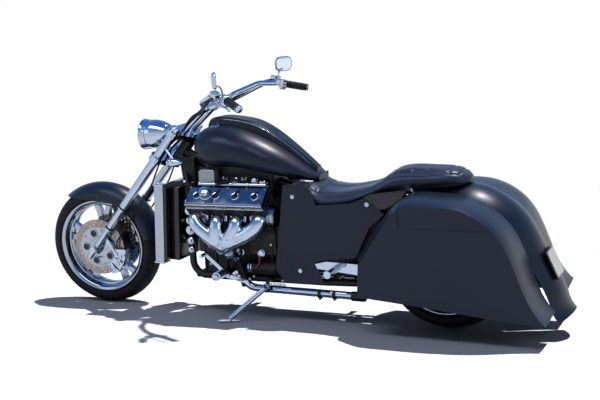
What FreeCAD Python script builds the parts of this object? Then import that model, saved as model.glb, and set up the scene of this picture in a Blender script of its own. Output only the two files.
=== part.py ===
"""Cruiser motorcycle with a V8 engine, leaning on its side stand.

Every piece is modelled upright in the machine's own frame: X forward from the rear axle,
Y to the left, Z up from the floor line under the upright tyres, in millimetres.
Each piece is then placed with its group: the chassis leans on the stand, and the fork
also turns on its steering axis. The origin ends at the bottom centre of the whole.
"""
import FreeCAD, Part
import math
import os

import Sketcher

V = FreeCAD.Vector
X_AXIS = V(1, 0, 0)
Y_AXIS = V(0, 1, 0)
Z_AXIS = V(0, 0, 1)
HERE = V(0, 0, 0)

os.makedirs("parts", exist_ok=True)
doc = FreeCAD.newDocument("cruiser_motorcycle")
sheet = doc.addObject("Spreadsheet::Sheet", "sizes")

# Driving sizes, in millimetres and degrees
SIZES = {
    # stance
    "wheelbase": 2030.0,
    "rake_angle": 40.8,
    "lean_angle": 7.25,
    "steer_angle": 2.5,
    "steer_offset": 60.0,
    "seat_clear": 0.3,
    "fit_clear": 0.5,
    # front wheel
    "front_tyre_radius": 343.0,
    "front_tyre_width": 150.0,
    "front_crown_radius": 92.0,
    "front_bead_radius": 254.0,
    "front_bead_width": 104.0,
    "front_flange_height": 14.0,
    # rear wheel
    "rear_tyre_radius": 332.0,
    "rear_tyre_width": 274.0,
    "rear_crown_radius": 190.0,
    "rear_bead_radius": 229.0,
    "rear_bead_width": 206.0,
    "rear_flange_height": 16.0,
    # rims and hubs
    "rim_lip": 7.0,
    "rim_wall": 9.0,
    "hub_radius": 46.0,
    "running_clear": 0.05,
    "front_hub_length": 164.0,
    "rear_hub_length": 236.0,
    "spoke_root_width": 62.0,
    "spoke_tip_width": 128.0,
    "spoke_slot_width": 58.0,
    "spoke_slot_start": 128.0,
    "front_spoke_thickness": 34.0,
    "rear_spoke_thickness": 44.0,
    "spoke_count": 5,
    # brakes
    "rotor_radius": 160.0,
    "rotor_band": 40.0,
    "rotor_thickness": 5.0,
    "rotor_hole_radius": 4.0,
    "rotor_hole_count": 30,
    "carrier_hole_radius": 20.0,
    "carrier_thickness": 8.0,
    "carrier_lobes": 5,
    "rotor_inset": 4.0,
    "caliper_width": 46.0,
    "caliper_depth": 84.0,
    "caliper_slot": 15.0,
    "pulley_radius": 112.0,
    "pulley_width": 27.0,
    # axles
    "axle_radius": 12.0,
    "axle_nut_radius": 19.0,
    "axle_nut_length": 12.0,
    # fork
    "leg_spacing": 260.0,
    "leg_low_radius": 15.5,
    "leg_mid_radius": 20.5,
    "leg_top_radius": 26.0,
    "leg_foot_drop": 66.0,
    "leg_mid_start": 158.0,
    "leg_top_start": 315.0,
    "leg_top_end": 905.0,
    "leg_collar": 10.0,
    "clamp_low_at": 690.0,
    "clamp_top_at": 868.0,
    "clamp_thickness": 34.0,
    "head_radius": 32.0,
    "stem_radius": 16.0,
    # handlebar
    "bar_radius": 15.9,
    "bar_drop_back": 147.0,
    "riser_height": 129.0,
    "riser_radius": 17.0,
    "riser_spacing": 116.0,
    "bar_rise": 88.0,
    "bar_reach": 373.0,
    "bar_half_width": 452.0,
    "grip_length": 118.0,
    "grip_radius": 18.5,
    "pod_length": 62.0,
    "pod_width": 46.0,
    "pod_height": 58.0,
    "lever_length": 168.0,
    "mirror_width": 118.0,
    "mirror_height": 84.0,
    "mirror_depth": 20.0,
    "mirror_angle": 30.0,
    "mirror_stem_radius": 5.0,
    "mirror_rise": 116.0,
    # lamps
    "headlight_radius": 82.0,
    "headlight_length": 204.0,
    "headlight_along": 825.0,
    "headlight_ahead": 16.0,
    "signal_radius": 23.0,
    "signal_length": 82.0,
    # front fender
    "fender_gap": 20.0,
    "fender_width": 174.0,
    "fender_wall": 3.5,
    "fender_skirt": 88.0,
    "fender_sweep_angle": 124.0,
    "fender_turn_angle": 19.0,
    # tank and console
    "tank_length": 700.0,
    "tank_front": 1358.0,
    "tank_half_width": 215.0,
    "tank_top": 1040.0,
    "tank_depth": 300.0,
    "console_length": 618.0,
    "console_front": 1296.0,
    "console_half_width": 74.0,
    "console_height": 40.0,
    # seat
    "seat_front": 690.0,
    "seat_length": 826.0,
    "seat_half_width": 205.0,
    "seat_top": 818.0,
    "seat_depth": 186.0,
    # side covers
    "cover_front": 864.0,
    "cover_length": 606.0,
    "cover_bottom": 231.0,
    "cover_height": 520.0,
    "cover_face": 214.0,
    "cover_wall": 14.0,
    "cover_step": 6.0,
    "cover_screw_radius": 7.0,
    # saddlebags
    "bag_front": 362.0,
    "bag_length": 921.0,
    "bag_bottom": 160.0,
    "bag_height": 568.0,
    "bag_inner": 174.0,
    "bag_outer": 420.0,
    "bag_wall": 5.0,
    "bag_inset": 36.0,
    "lid_seam": 590.0,
    "lid_front": 128.0,
    "lid_gap": 3.0,
    # rear fender
    "tail_half_width": 160.0,
    "tail_wall": 5.0,
    "tail_drop": 62.0,
    "tail_length": 613.0,
    "tail_height": 738.0,
    # engine
    "crank_height": 425.0,
    "engine_front": 1326.0,
    "engine_length": 450.0,
    "bank_angle": 45.0,
    "bank_height": 330.0,
    "head_width": 124.0,
    "head_height": 120.0,
    "block_half_width": 165.0,
    "pan_half_width": 120.0,
    "pan_bottom": 205.0,
    "cover_cap_length": 442.0,
    "cover_cap_width": 112.0,
    "cover_cap_height": 44.0,
    "cap_well_radius": 17.0,
    "cap_well_depth": 20.0,
    "cap_filler_radius": 27.0,
    "cap_filler_height": 26.0,
    "intake_length": 300.0,
    "intake_width": 170.0,
    "intake_top": 702.0,
    "rail_radius": 15.0,
    "rail_spread": 105.0,
    "header_reach": 62.0,
    "header_top": 606.0,
    "header_bottom": 470.0,
    "collector_radius": 50.0,
    "pipe_radius": 27.0,
    "pipe_wall": 3.0,
    "pulley_big_radius": 84.0,
    "pulley_small_radius": 42.0,
    "belt_thickness": 6.0,
    "belt_width": 24.0,
    "alternator_radius": 56.0,
    "alternator_length": 96.0,
    # radiator
    "radiator_height": 430.0,
    "radiator_depth": 56.0,
    "radiator_half_width": 205.0,
    "radiator_tank_width": 46.0,
    "radiator_bottom": 300.0,
    "radiator_front": 1588.0,
    "radiator_tilt_angle": 3.6,
    "shroud_depth": 70.0,
    "hose_radius": 16.0,
    "line_radius": 4.5,
    # frame
    "tube_radius": 19.0,
    "backbone_radius": 24.0,
    "rail_half_width": 118.0,
    "rail_height": 222.0,
    "seat_rail_height": 628.0,
    "gearbox_width": 300.0,
    "gearbox_height": 320.0,
    "gearbox_length": 350.0,
    "arm_height": 54.0,
    "arm_wall": 14.0,
    "arm_inner": 145.0,
    "arm_pivot": 470.0,
    "ear_wall": 20.0,
    "post_side": 95.0,
    # exhaust
    "exhaust_radius": 20.0,
    "exhaust_height": 182.0,
    "exhaust_side": 162.0,
    "exhaust_tip": 398.0,
    # pegs and levers
    "peg_radius": 17.0,
    "peg_length": 128.0,
    "peg_at": 1137.0,
    "peg_height": 283.0,
    "peg_side": 236.0,
    "lever_bar_width": 22.0,
    "lever_bar_thickness": 9.0,
    "rear_peg_at": 528.0,
    "rear_peg_height": 322.0,
    "rear_plate_length": 232.0,
    "rear_plate_height": 60.0,
    "rear_plate_wall": 12.0,
    # stand
    "stand_pivot_at": 925.0,
    "stand_pivot_side": 213.0,
    "stand_pivot_height": 200.0,
    "stand_foot_at": 1082.0,
    "stand_foot_side": 338.0,
    "stand_radius": 13.0,
    "stand_foot_length": 118.0,
    "stand_foot_width": 46.0,
    "stand_foot_thickness": 9.0,
    # plate
    "plate_width": 150.0,
    "plate_height": 126.0,
    "plate_thickness": 4.0,
}


def fill_sheet():
    """Write each size in its own cell, with its name as the alias."""
    for row, (name, value) in enumerate(SIZES.items(), 1):
        sheet.set(f"A{row}", name)
        sheet.set(f"B{row}", str(value))
        sheet.setAlias(f"B{row}", name)
    doc.recompute()


class SheetSizes:
    """Reads a size from the sheet by its name."""

    def __getattr__(self, name):
        return float(sheet.get(name))


fill_sheet()
d = SheetSizes()

LEAN = math.radians(d.lean_angle)
RAKE = math.radians(d.rake_angle)
STEER = math.radians(d.steer_angle)
UP_FORK = V(-math.sin(RAKE), 0, math.cos(RAKE))
AHEAD_FORK = V(math.cos(RAKE), 0, math.sin(RAKE))
LEAN_TURN = FreeCAD.Rotation(X_AXIS, -d.lean_angle)

# Document objects

nodes = {}


def keep(label, thing, group):
    """Name a finished sub-part and the group that it moves with."""
    thing.Label = label
    nodes[label] = (thing, group)
    return thing


def bind(thing, **expressions):
    """Tie properties of an object to sizes of the sheet."""
    for name, expression in expressions.items():
        thing.setExpression(name.replace("__", "."), expression)


def feature(label, shape, group):
    """A sub-part whose shape is worked out by Part functions."""
    thing = doc.addObject("Part::Feature", label)
    thing.Shape = shape
    return keep(label, thing, group)


def mirrored(label, source, group):
    """The right-hand twin of a left-hand piece."""
    twin = doc.addObject("Part::Mirroring", label)
    twin.Source = source
    twin.Normal = Y_AXIS
    twin.Base = HERE
    return keep(label, twin, group)


def compound(label, pieces, group):
    """Like pieces that share one node without touching."""
    thing = doc.addObject("Part::Compound", label)
    thing.Links = pieces
    return keep(label, thing, group)


def origin_plane(body, role):
    """One of a body's own origin planes."""
    return [part for part in body.Origin.OriginFeatures if part.Role == role][0]


def sketch_on(body, role, name):
    """An empty sketch on an origin plane of its body."""
    sketch = body.newObject("Sketcher::SketchObject", name)
    sketch.AttachmentSupport = [(origin_plane(body, role), "")]
    sketch.MapMode = "FlatFace"
    return sketch


def value_of(sketch, expression):
    """The number that an expression gives."""
    result = sketch.evalExpression(expression)
    return float(getattr(result, "Value", result))


def pin_point(sketch, geometry, corner, across, up):
    """Fix one point of a sketch by two expressions."""
    for kind, axis, expression in (("DistanceX", -2, across), ("DistanceY", -1, up)):
        if expression == "0":
            sketch.addConstraint(Sketcher.Constraint("PointOnObject", geometry, corner, axis))
        else:
            number = value_of(sketch, expression)
            index = sketch.addConstraint(Sketcher.Constraint(kind, -1, 1, geometry, corner, number))
            sketch.setExpression(f"Constraints[{index}]", expression)


def draw_outline(sketch, steps):
    """Close an outline of lines (x, y) and arcs (mid x, mid y, x, y), all as expressions."""
    drawn = []
    for index, step in enumerate(steps):
        start = V(*[value_of(sketch, part) for part in steps[index - 1][-2:]])
        end = V(*[value_of(sketch, part) for part in step[-2:]])
        if len(step) == 2:
            line = sketch.addGeometry(Part.LineSegment(start, end), False)
            drawn.append((line, False))
            continue
        middle = V(value_of(sketch, step[0]), value_of(sketch, step[1]))
        arc = sketch.addGeometry(Part.Arc(start, middle, end), False)
        first = sketch.getPoint(arc, 1)
        drawn.append((arc, (first - start).Length > (first - end).Length))
        point = sketch.addGeometry(Part.Point(middle), True)
        sketch.addConstraint(Sketcher.Constraint("PointOnObject", point, 1, arc))
        pin_point(sketch, point, 1, step[0], step[1])
    for index, step in enumerate(steps):
        this, this_flipped = drawn[index]
        after, after_flipped = drawn[(index + 1) % len(steps)]
        end_corner = 1 if this_flipped else 2
        start_corner = 2 if after_flipped else 1
        sketch.addConstraint(Sketcher.Constraint("Coincident", this, end_corner, after, start_corner))
        pin_point(sketch, this, end_corner, step[-2], step[-1])


def draw_circle(sketch, across, up, radius):
    """A circle whose centre and radius are expressions."""
    centre = V(value_of(sketch, across), value_of(sketch, up))
    circle = Part.Circle(centre, Z_AXIS, value_of(sketch, radius))
    geometry = sketch.addGeometry(circle, False)
    pin_point(sketch, geometry, 3, across, up)
    number = value_of(sketch, radius)
    index = sketch.addConstraint(Sketcher.Constraint("Radius", geometry, number))
    sketch.setExpression(f"Constraints[{index}]", radius)


def add_turn(body, name, steps):
    """Add a section in the YZ plane to a body, turned about the Y axis."""
    section = sketch_on(body, "YZ_Plane", name + "_section")
    draw_outline(section, steps)
    turn = body.newObject("PartDesign::Revolution", name)
    turn.Profile = section
    turn.ReferenceAxis = (section, ["H_Axis"])
    turn.Angle = 360
    return turn


def turned_body(name, steps):
    """A body turned about the Y axis from a section in the YZ plane."""
    body = doc.addObject("PartDesign::Body", name)
    add_turn(body, name + "_turn", steps)
    return body


def ring_pattern(body, feature_made, name, count):
    """Repeat a feature evenly around the Y axis of its body."""
    pattern = body.newObject("PartDesign::PolarPattern", name)
    pattern.Originals = [feature_made]
    pattern.Axis = (origin_plane(body, "Y_Axis"), [""])
    pattern.Angle = 360
    pattern.setExpression("Occurrences", count)
    body.Tip = pattern
    return pattern


def pad_across(body, name, steps, thickness):
    """A plate padded to both sides of the XZ plane."""
    outline = sketch_on(body, "XZ_Plane", name + "_outline")
    draw_outline(outline, steps)
    pad = body.newObject("PartDesign::Pad", name)
    pad.Profile = outline
    pad.Midplane = True
    pad.setExpression("Length", thickness)
    return pad


# Shapes from Part functions


def bike_point(share_pair, start, length, base, height):
    """A point in the XZ plane from shares of a length and a height."""
    return V(start + share_pair[0] * length, 0, base + share_pair[1] * height)


def rounded_path(points, bend):
    """Straight runs joined by tangent arcs of about the given radius."""
    edges = []
    start = points[0]
    for before, corner, after in zip(points, points[1:], points[2:]):
        back = before.sub(corner)
        on = after.sub(corner)
        half = back.getAngle(on) / 2
        reach = min(bend / math.tan(half), back.Length * BEND_SHARE, on.Length * BEND_SHARE)
        first = corner.add(V(back).normalize().multiply(reach))
        last = corner.add(V(on).normalize().multiply(reach))
        inward = V(back).normalize().add(V(on).normalize()).normalize()
        radius = reach * math.tan(half)
        depth = radius / math.sin(half) - radius
        middle = corner.add(V(inward).multiply(depth))
        edges.append(Part.LineSegment(start, first).toShape())
        edges.append(Part.Arc(first, middle, last).toShape())
        start = last
    edges.append(Part.LineSegment(start, points[-1]).toShape())
    return Part.Wire(edges)


BEND_SHARE = 0.46


def round_bar(points, radius, bend=None):
    """A round bar along a bent path."""
    if len(points) == 2:
        along = points[1].sub(points[0])
        return Part.makeCylinder(radius, along.Length, points[0], along)
    path = rounded_path(points, bend if bend else radius * BAR_BEND_SHARE)
    section = Part.Wire([Part.makeCircle(radius, points[0], points[1].sub(points[0]))])
    return path.makePipeShell([section], True, False)


BAR_BEND_SHARE = 4.0


def smooth_ring(points):
    """A closed smooth curve through points."""
    curve = Part.BSplineCurve()
    curve.interpolate(Points=points, PeriodicFlag=True)
    return Part.Wire([curve.toShape()])


def smooth_edge(points):
    """An open smooth curve through points."""
    curve = Part.BSplineCurve()
    curve.interpolate(Points=points)
    return curve.toShape()


def solid_of(shape):
    """The one solid of a shape, with its faces turned outward."""
    solid = shape.Solids[0]
    if solid.Volume < 0:
        solid.reverse()
    return solid


def largest(shape):
    """The biggest solid of a shape."""
    return max(shape.Solids, key=lambda solid: solid.Volume)


def joined(shapes):
    """One solid from overlapping solids."""
    result = shapes[0]
    if len(shapes) > 1:
        result = shapes[0].multiFuse(shapes[1:])
    return result


def seated(shape, other, along):
    """A shape cut back from the piece that carries it, with the seat clearance in one direction."""
    return shape.cut(other.translated(V(along).multiply(d.seat_clear))).cut(other)


def flip_y(shape):
    """The same shape on the other side of the middle plane."""
    return shape.mirror(HERE, Y_AXIS)


def plate_of(points, side, thickness):
    """A flat plate from points in the XZ plane, from one side value outward."""
    corners = [V(point.x, side, point.z) for point in points]
    face = Part.Face(Part.makePolygon(corners + [corners[0]]))
    return face.extrude(V(0, thickness, 0))


def eased(shape, radius, chosen):
    """Round those edges of a shape that a test picks."""
    edges = [edge for edge in shape.Edges if chosen(edge)]
    return shape.makeFillet(radius, edges)


def box_at(low, high):
    """A block between two corners."""
    size = high.sub(low)
    return Part.makeBox(size.x, size.y, size.z, low)


# Where the main points lie

REAR_AXLE = V(0, 0, d.rear_tyre_radius)
FORK_TURN = FreeCAD.Rotation(UP_FORK, d.steer_angle)


def wheel_drop(normal, radius, crown):
    """Height of a leaning wheel's centre above the floor."""
    return (radius - crown) * math.sqrt(1 - normal.z * normal.z) + crown


def front_axle_height():
    """Height of the front axle, fork straight, that puts the turned wheel on the floor."""
    rear = wheel_drop(LEAN_TURN.multVec(Y_AXIS), d.rear_tyre_radius, d.rear_crown_radius)
    rise = rear - LEAN_TURN.multVec(REAR_AXLE).z
    normal = LEAN_TURN.multVec(FORK_TURN.multVec(Y_AXIS))
    centre = wheel_drop(normal, d.front_tyre_radius, d.front_crown_radius)
    offset = V(AHEAD_FORK).multiply(d.steer_offset)
    moved = LEAN_TURN.multVec(FORK_TURN.multVec(offset).sub(offset))
    return (centre - rise - moved.z) / math.cos(LEAN)


FRONT_AXLE = V(d.wheelbase, 0, front_axle_height())
STEER_POINT = FRONT_AXLE.sub(V(AHEAD_FORK).multiply(d.steer_offset))
ENGINE_REAR = d.engine_front - d.engine_length


def on_fork(along, ahead=0.0, side=0.0):
    """A point given along the fork, ahead of its leg line and to the side."""
    point = FRONT_AXLE.add(V(UP_FORK).multiply(along))
    point = point.add(V(AHEAD_FORK).multiply(ahead))
    return point.add(V(0, side, 0))


# Wheels

TYRE_SHOULDER_SHARE = 0.93
TYRE_BULGE_SHARE = 0.55


def make_tyre(end, group):
    """A solid tyre from its crown, shoulders and side walls."""
    width = f"sizes.{end}_tyre_width"
    outer = f"sizes.{end}_tyre_radius"
    bead = f"sizes.{end}_bead_radius"
    bead_width = f"sizes.{end}_bead_width"
    flange = f"({bead} + sizes.{end}_flange_height + sizes.fit_clear)"
    crown = f"sizes.{end}_crown_radius"
    half = f"{width} / 2 * {TYRE_SHOULDER_SHARE}"
    drop = f"({crown} - sqrt({crown} * {crown} - ({half}) * ({half})))"
    bulge = f"({flange} + ({outer} - {drop} - {flange}) * {TYRE_BULGE_SHARE})"
    foot = f"({bead_width} / 2 + sizes.rim_lip)"
    steps = [
        (f"-{bead_width} / 2", flange),
        (f"-{foot}", flange),
        (f"-{width} / 2", bulge, f"-{half}", f"{outer} - {drop}"),
        ("0", outer, half, f"{outer} - {drop}"),
        (f"{width} / 2", bulge, foot, flange),
        (f"{bead_width} / 2", flange),
        (f"{bead_width} / 2", bead),
        (f"-{bead_width} / 2", bead),
    ]
    body = turned_body(f"{end}_tyre", steps)
    body.Placement.Base = REAR_AXLE if end == "rear" else FRONT_AXLE
    return keep(f"{end}_tyre", body, group)


RIM_STEP_SHARE = 0.55


def make_rim(end, group):
    """A rim with lips and a deep barrel, a hub and split blade spokes."""
    bead = f"sizes.{end}_bead_radius"
    half = f"sizes.{end}_bead_width / 2"
    flange = f"({bead} + sizes.{end}_flange_height)"
    inner = f"({bead} - sizes.rim_wall)"
    lip = "sizes.rim_lip"
    step = f"({half} * {RIM_STEP_SHARE})"
    steps = [
        (f"-({half})", bead),
        (f"-({half})", flange),
        (f"-({half} + {lip})", flange),
        (f"-({half} + {lip})", inner),
        (f"-({half})", f"{inner} - {lip} / 2"),
        (f"-{step}", f"{inner} - {lip}"),
        (f"{step}", f"{inner} - {lip}"),
        (f"{half}", f"{inner} - {lip} / 2"),
        (f"{half} + {lip}", inner),
        (f"{half} + {lip}", flange),
        (half, flange),
        (half, bead),
    ]
    hub_half = f"sizes.{end}_hub_length / 2"
    blade_half = f"sizes.{end}_spoke_thickness / 2"
    body = turned_body(f"{end}_rim", [
        (f"-{hub_half}", f"sizes.hub_radius * {HUB_END_SHARE}"),
        (f"-{blade_half}", "sizes.hub_radius"),
        (blade_half, "sizes.hub_radius"),
        (hub_half, f"sizes.hub_radius * {HUB_END_SHARE}"),
        (hub_half, "(sizes.axle_radius + sizes.running_clear)"),
        (f"-{hub_half}", "(sizes.axle_radius + sizes.running_clear)"),
    ])
    tip = f"({bead} - sizes.rim_wall - {lip} / 2)"
    root = f"sizes.hub_radius * {BLADE_ROOT_SHARE}"
    middle = f"({tip} + sizes.spoke_slot_start) * 0.5"
    blade = pad_across(body, f"{end}_blade", [
        ("sizes.spoke_root_width / 2", root),
        (f"sizes.spoke_root_width * {BLADE_WAIST_SHARE}", "sizes.spoke_slot_start",
         "sizes.spoke_tip_width / 2", tip),
        ("sizes.spoke_slot_width / 2", tip),
        (f"sizes.spoke_slot_width * {SLOT_WAIST_SHARE}", middle, "0", "sizes.spoke_slot_start"),
        (f"-sizes.spoke_slot_width * {SLOT_WAIST_SHARE}", middle, "-sizes.spoke_slot_width / 2", tip),
        ("-sizes.spoke_tip_width / 2", tip),
        (f"-sizes.spoke_root_width * {BLADE_WAIST_SHARE}", "sizes.spoke_slot_start",
         "-sizes.spoke_root_width / 2", root),
    ], f"sizes.{end}_spoke_thickness")
    ring_pattern(body, blade, f"{end}_blades", "sizes.spoke_count")
    body.Tip = add_turn(body, f"{end}_barrel", steps)
    body.Placement.Base = REAR_AXLE if end == "rear" else FRONT_AXLE
    return keep(f"{end}_rim", body, group)


HUB_END_SHARE = 0.8
BLADE_ROOT_SHARE = 0.86
BLADE_WAIST_SHARE = 0.46
SLOT_WAIST_SHARE = 0.16


def drill_ring(body, name, radius, distance, count, turn_share=0.0):
    """Holes through a disc, evenly around its axis."""
    sketch = sketch_on(body, "XZ_Plane", name + "_circle")
    angle = f"(360 * {turn_share} / {count})"
    draw_circle(sketch, f"{distance} * sin({angle})", f"{distance} * cos({angle})", radius)
    doc.recompute()
    pocket = body.newObject("PartDesign::Pocket", name)
    pocket.Profile = sketch
    pocket.Midplane = True
    pocket.setExpression("Length", "sizes.hub_radius")
    doc.recompute()
    ring_pattern(body, pocket, name + "_ring", count)
    doc.recompute()


def make_rotor(name, lobes):
    """A drilled brake ring on a carrier with round windows, in the XZ plane."""
    half = "sizes.rotor_thickness / 2"
    inner = "(sizes.rotor_radius - sizes.rotor_band)"
    carrier_half = "sizes.carrier_thickness / 2"
    body = turned_body(name, [
        (f"-{carrier_half}", "(sizes.axle_radius + sizes.running_clear)"),
        (f"-{carrier_half}", inner),
        (f"-{half}", inner),
        (f"-{half}", "sizes.rotor_radius"),
        (half, "sizes.rotor_radius"),
        (half, inner),
        (carrier_half, inner),
        (carrier_half, "(sizes.axle_radius + sizes.running_clear)"),
    ])
    doc.recompute()
    window = f"(({inner} + sizes.hub_radius) / 2)"
    drill_ring(body, name + "_window", "sizes.carrier_hole_radius", window, lobes)
    near = f"({inner} + sizes.rotor_band * {HOLE_ROW_SHARES[0]})"
    far = f"({inner} + sizes.rotor_band * {HOLE_ROW_SHARES[1]})"
    drill_ring(body, name + "_near", "sizes.rotor_hole_radius", near, "sizes.rotor_hole_count", 0.0)
    drill_ring(body, name + "_far", "sizes.rotor_hole_radius", far, "sizes.rotor_hole_count", 0.5)
    return body


HOLE_ROW_SHARES = (0.3, 0.7)


def make_front_rotors():
    """Two rotors bolted to the ends of the front hub."""
    rotor = make_rotor("front_rotor", "sizes.carrier_lobes")
    offset = "sizes.front_hub_length / 2 + sizes.carrier_thickness / 2"
    rotor.Placement.Base = FRONT_AXLE
    bind(rotor, Placement__Base__y=offset)
    doc.recompute()
    twin = doc.addObject("Part::Mirroring", "front_rotor_twin")
    twin.Source = rotor
    twin.Normal = Y_AXIS
    return compound("front_rotors", [rotor, twin], "front_wheel")


def make_rear_drive():
    """One rotor on the left of the rear hub and the toothed pulley on its right."""
    rotor = make_rotor("rear_rotor", "sizes.carrier_lobes")
    offset = "sizes.rear_hub_length / 2 + sizes.carrier_thickness / 2"
    bind(rotor, Placement__Base__y=offset, Placement__Base__z="sizes.rear_tyre_radius")
    keep("rear_rotor", rotor, "rear_wheel")
    inner = "sizes.rear_hub_length / 2"
    outer = "sizes.rear_hub_length / 2 + sizes.pulley_width"
    pulley = turned_body("rear_pulley", [
        (f"-({inner})", "(sizes.axle_radius + sizes.running_clear)"),
        (f"-({inner})", "sizes.pulley_radius * 1.05"),
        (f"-({inner} + sizes.rim_lip / 2)", "sizes.pulley_radius * 1.05"),
        (f"-({inner} + sizes.rim_lip / 2)", "sizes.pulley_radius"),
        (f"-({outer})", "sizes.pulley_radius"),
        (f"-({outer})", "sizes.pulley_radius * 0.85"),
        (f"-({inner} + sizes.rim_lip)", "sizes.pulley_radius * 0.85"),
        (f"-({inner} + sizes.rim_lip)", "sizes.hub_radius"),
        (f"-({outer} - sizes.rim_lip)", "sizes.hub_radius * 0.8"),
        (f"-({outer} - sizes.rim_lip)", "(sizes.axle_radius + sizes.running_clear)"),
    ])
    bind(pulley, Placement__Base__z="sizes.rear_tyre_radius")
    keep("rear_pulley", pulley, "rear_wheel")


def make_axle(label, base, half_length, group):
    """A through axle with a nut on each end."""
    start = base.sub(V(0, half_length, 0))
    rod = Part.makeCylinder(d.axle_radius, 2 * half_length, start, Y_AXIS)
    parts = [rod]
    for side in (-1, 1):
        seat = base.add(V(0, side * (half_length - d.axle_nut_length / 2), 0))
        low = seat.sub(V(0, d.axle_nut_length / 2, 0))
        ring = [V(low.x + d.axle_nut_radius * math.cos(step * math.pi / 3), low.y,
                  low.z + d.axle_nut_radius * math.sin(step * math.pi / 3)) for step in range(7)]
        parts.append(Part.Face(Part.makePolygon(ring)).extrude(V(0, d.axle_nut_length, 0)))
    return feature(label, joined(parts), group)


# Fork, clamps and bars

def fork_leg():
    """One chrome leg in three diameters, with its axle boss."""
    side = d.leg_spacing / 2
    runs = [
        (-d.leg_foot_drop, d.leg_mid_start, d.leg_low_radius),
        (d.leg_mid_start, d.leg_top_start, d.leg_mid_radius),
        (d.leg_top_start, d.leg_top_end, d.leg_top_radius),
        (d.leg_mid_start - d.leg_collar, d.leg_mid_start + d.leg_collar / 2,
         d.leg_mid_radius + d.leg_collar / 4),
        (d.leg_top_start - d.leg_collar / 2, d.leg_top_start + d.leg_collar / 2,
         d.leg_top_radius + d.leg_collar / 5),
    ]
    solids = []
    for start, end, radius in runs:
        solids.append(Part.makeCylinder(radius, end - start, on_fork(start, side=side), UP_FORK))
    boss_half = d.leg_mid_radius
    boss = Part.makeCylinder(d.leg_mid_radius, 2 * boss_half, FRONT_AXLE.add(V(0, side - boss_half, 0)), Y_AXIS)
    leg = joined(solids + [boss])
    bore = Part.makeCylinder(d.axle_radius, 4 * boss_half, FRONT_AXLE.add(V(0, side - 2 * boss_half, 0)), Y_AXIS)
    return leg.cut(bore)


def make_fork_legs():
    """Both fork legs in one node."""
    leg = fork_leg()
    return feature("fork_legs", Part.makeCompound([leg, flip_y(leg)]), "steer")


def clamp_shape(along):
    """A triple clamp that holds both legs and the stem."""
    half = d.clamp_thickness / 2
    side = d.leg_spacing / 2
    ring = d.leg_top_radius + d.clamp_thickness / 3
    start = along - half
    parts = []
    for edge in (-1, 1):
        parts.append(Part.makeCylinder(ring, 2 * half, on_fork(start, side=edge * side), UP_FORK))
    middle = on_fork(start, ahead=-d.steer_offset)
    parts.append(Part.makeCylinder(d.head_radius, 2 * half, middle, UP_FORK))
    corners = [
        on_fork(start, ahead=ring * 0.8, side=side),
        on_fork(start, ahead=ring * 0.8, side=-side),
        on_fork(start, ahead=-ring * 0.8, side=-side),
        on_fork(start, ahead=-d.steer_offset - d.head_radius * 0.9, side=-d.head_radius * 0.5),
        on_fork(start, ahead=-d.steer_offset - d.head_radius * 0.9, side=d.head_radius * 0.5),
        on_fork(start, ahead=-ring * 0.8, side=side),
    ]
    web = Part.Face(Part.makePolygon(corners + [corners[0]])).extrude(V(UP_FORK).multiply(2 * half))
    body = joined(parts + [web])
    for edge in (-1, 1):
        body = body.cut(Part.makeCylinder(d.leg_top_radius, 4 * half,
                                          on_fork(start - half, side=edge * side), UP_FORK))
    return body


def make_triple_clamps():
    """Lower and upper clamp with the stem that joins them through the head tube."""
    low = clamp_shape(d.clamp_low_at)
    high = clamp_shape(d.clamp_top_at)
    stem_start = d.clamp_low_at - d.clamp_thickness / 2
    stem_length = d.clamp_top_at - d.clamp_low_at + d.clamp_thickness
    stem = Part.makeCylinder(d.stem_radius, stem_length,
                             on_fork(stem_start, ahead=-d.steer_offset), UP_FORK)
    return feature("triple_clamps", joined([low, high, stem]), "steer")


def bar_centre():
    """The middle of the handlebar, above and behind the top clamp."""
    foot = on_fork(d.clamp_top_at + d.clamp_thickness / 2, ahead=-d.steer_offset * 0.35)
    return foot.add(V(-d.bar_drop_back, 0, d.riser_height))


BAR_SHARES = [
    (0.0, 0.0, 0.16),
    (-0.13, 0.45, 0.44),
    (-0.42, 0.96, 0.66),
    (-0.70, 0.86, 0.80),
    (-1.0, 0.45, 1.0),
]


def bar_point(reach_share, rise_share, side_share):
    """A point on the left half of the handlebar's centre line."""
    middle = bar_centre()
    return V(middle.x + reach_share * d.bar_reach, side_share * d.bar_half_width,
             middle.z + rise_share * d.bar_rise)


def bar_tube(radius):
    """The bent tube of the handlebar at a given radius."""
    left = [bar_point(*share) for share in BAR_SHARES]
    right = [V(point.x, -point.y, point.z) for point in reversed(left)]
    return round_bar(right + left, radius, d.bar_radius * BAR_SWEEP_SHARE)


BAR_SWEEP_SHARE = 6


def make_handlebar():
    """A wide pull-back bar on two risers."""
    bar = bar_tube(d.bar_radius)
    parts = [bar]
    foot = on_fork(d.clamp_top_at + d.clamp_thickness / 2, ahead=-d.steer_offset * 0.35)
    for edge in (-1, 1):
        low = V(foot.x, edge * d.riser_spacing / 2, foot.z)
        high = V(bar_centre().x, edge * d.riser_spacing / 2, bar_centre().z)
        parts.append(Part.makeCylinder(d.riser_radius, high.sub(low).Length, low, high.sub(low)))
        cap = Part.makeCylinder(d.bar_radius * 1.6, d.riser_radius * 2,
                                high.sub(V(0, d.riser_radius, 0)), Y_AXIS)
        parts.append(cap)
    return feature("handlebar", joined(parts).cut(nodes["triple_clamps"][0].Shape), "steer")


def bar_end_frame():
    """The end of the left handlebar half and the direction from it back inward."""
    end = bar_point(*BAR_SHARES[-1])
    inner = bar_point(*BAR_SHARES[-2])
    return end, inner.sub(end).normalize()


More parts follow.
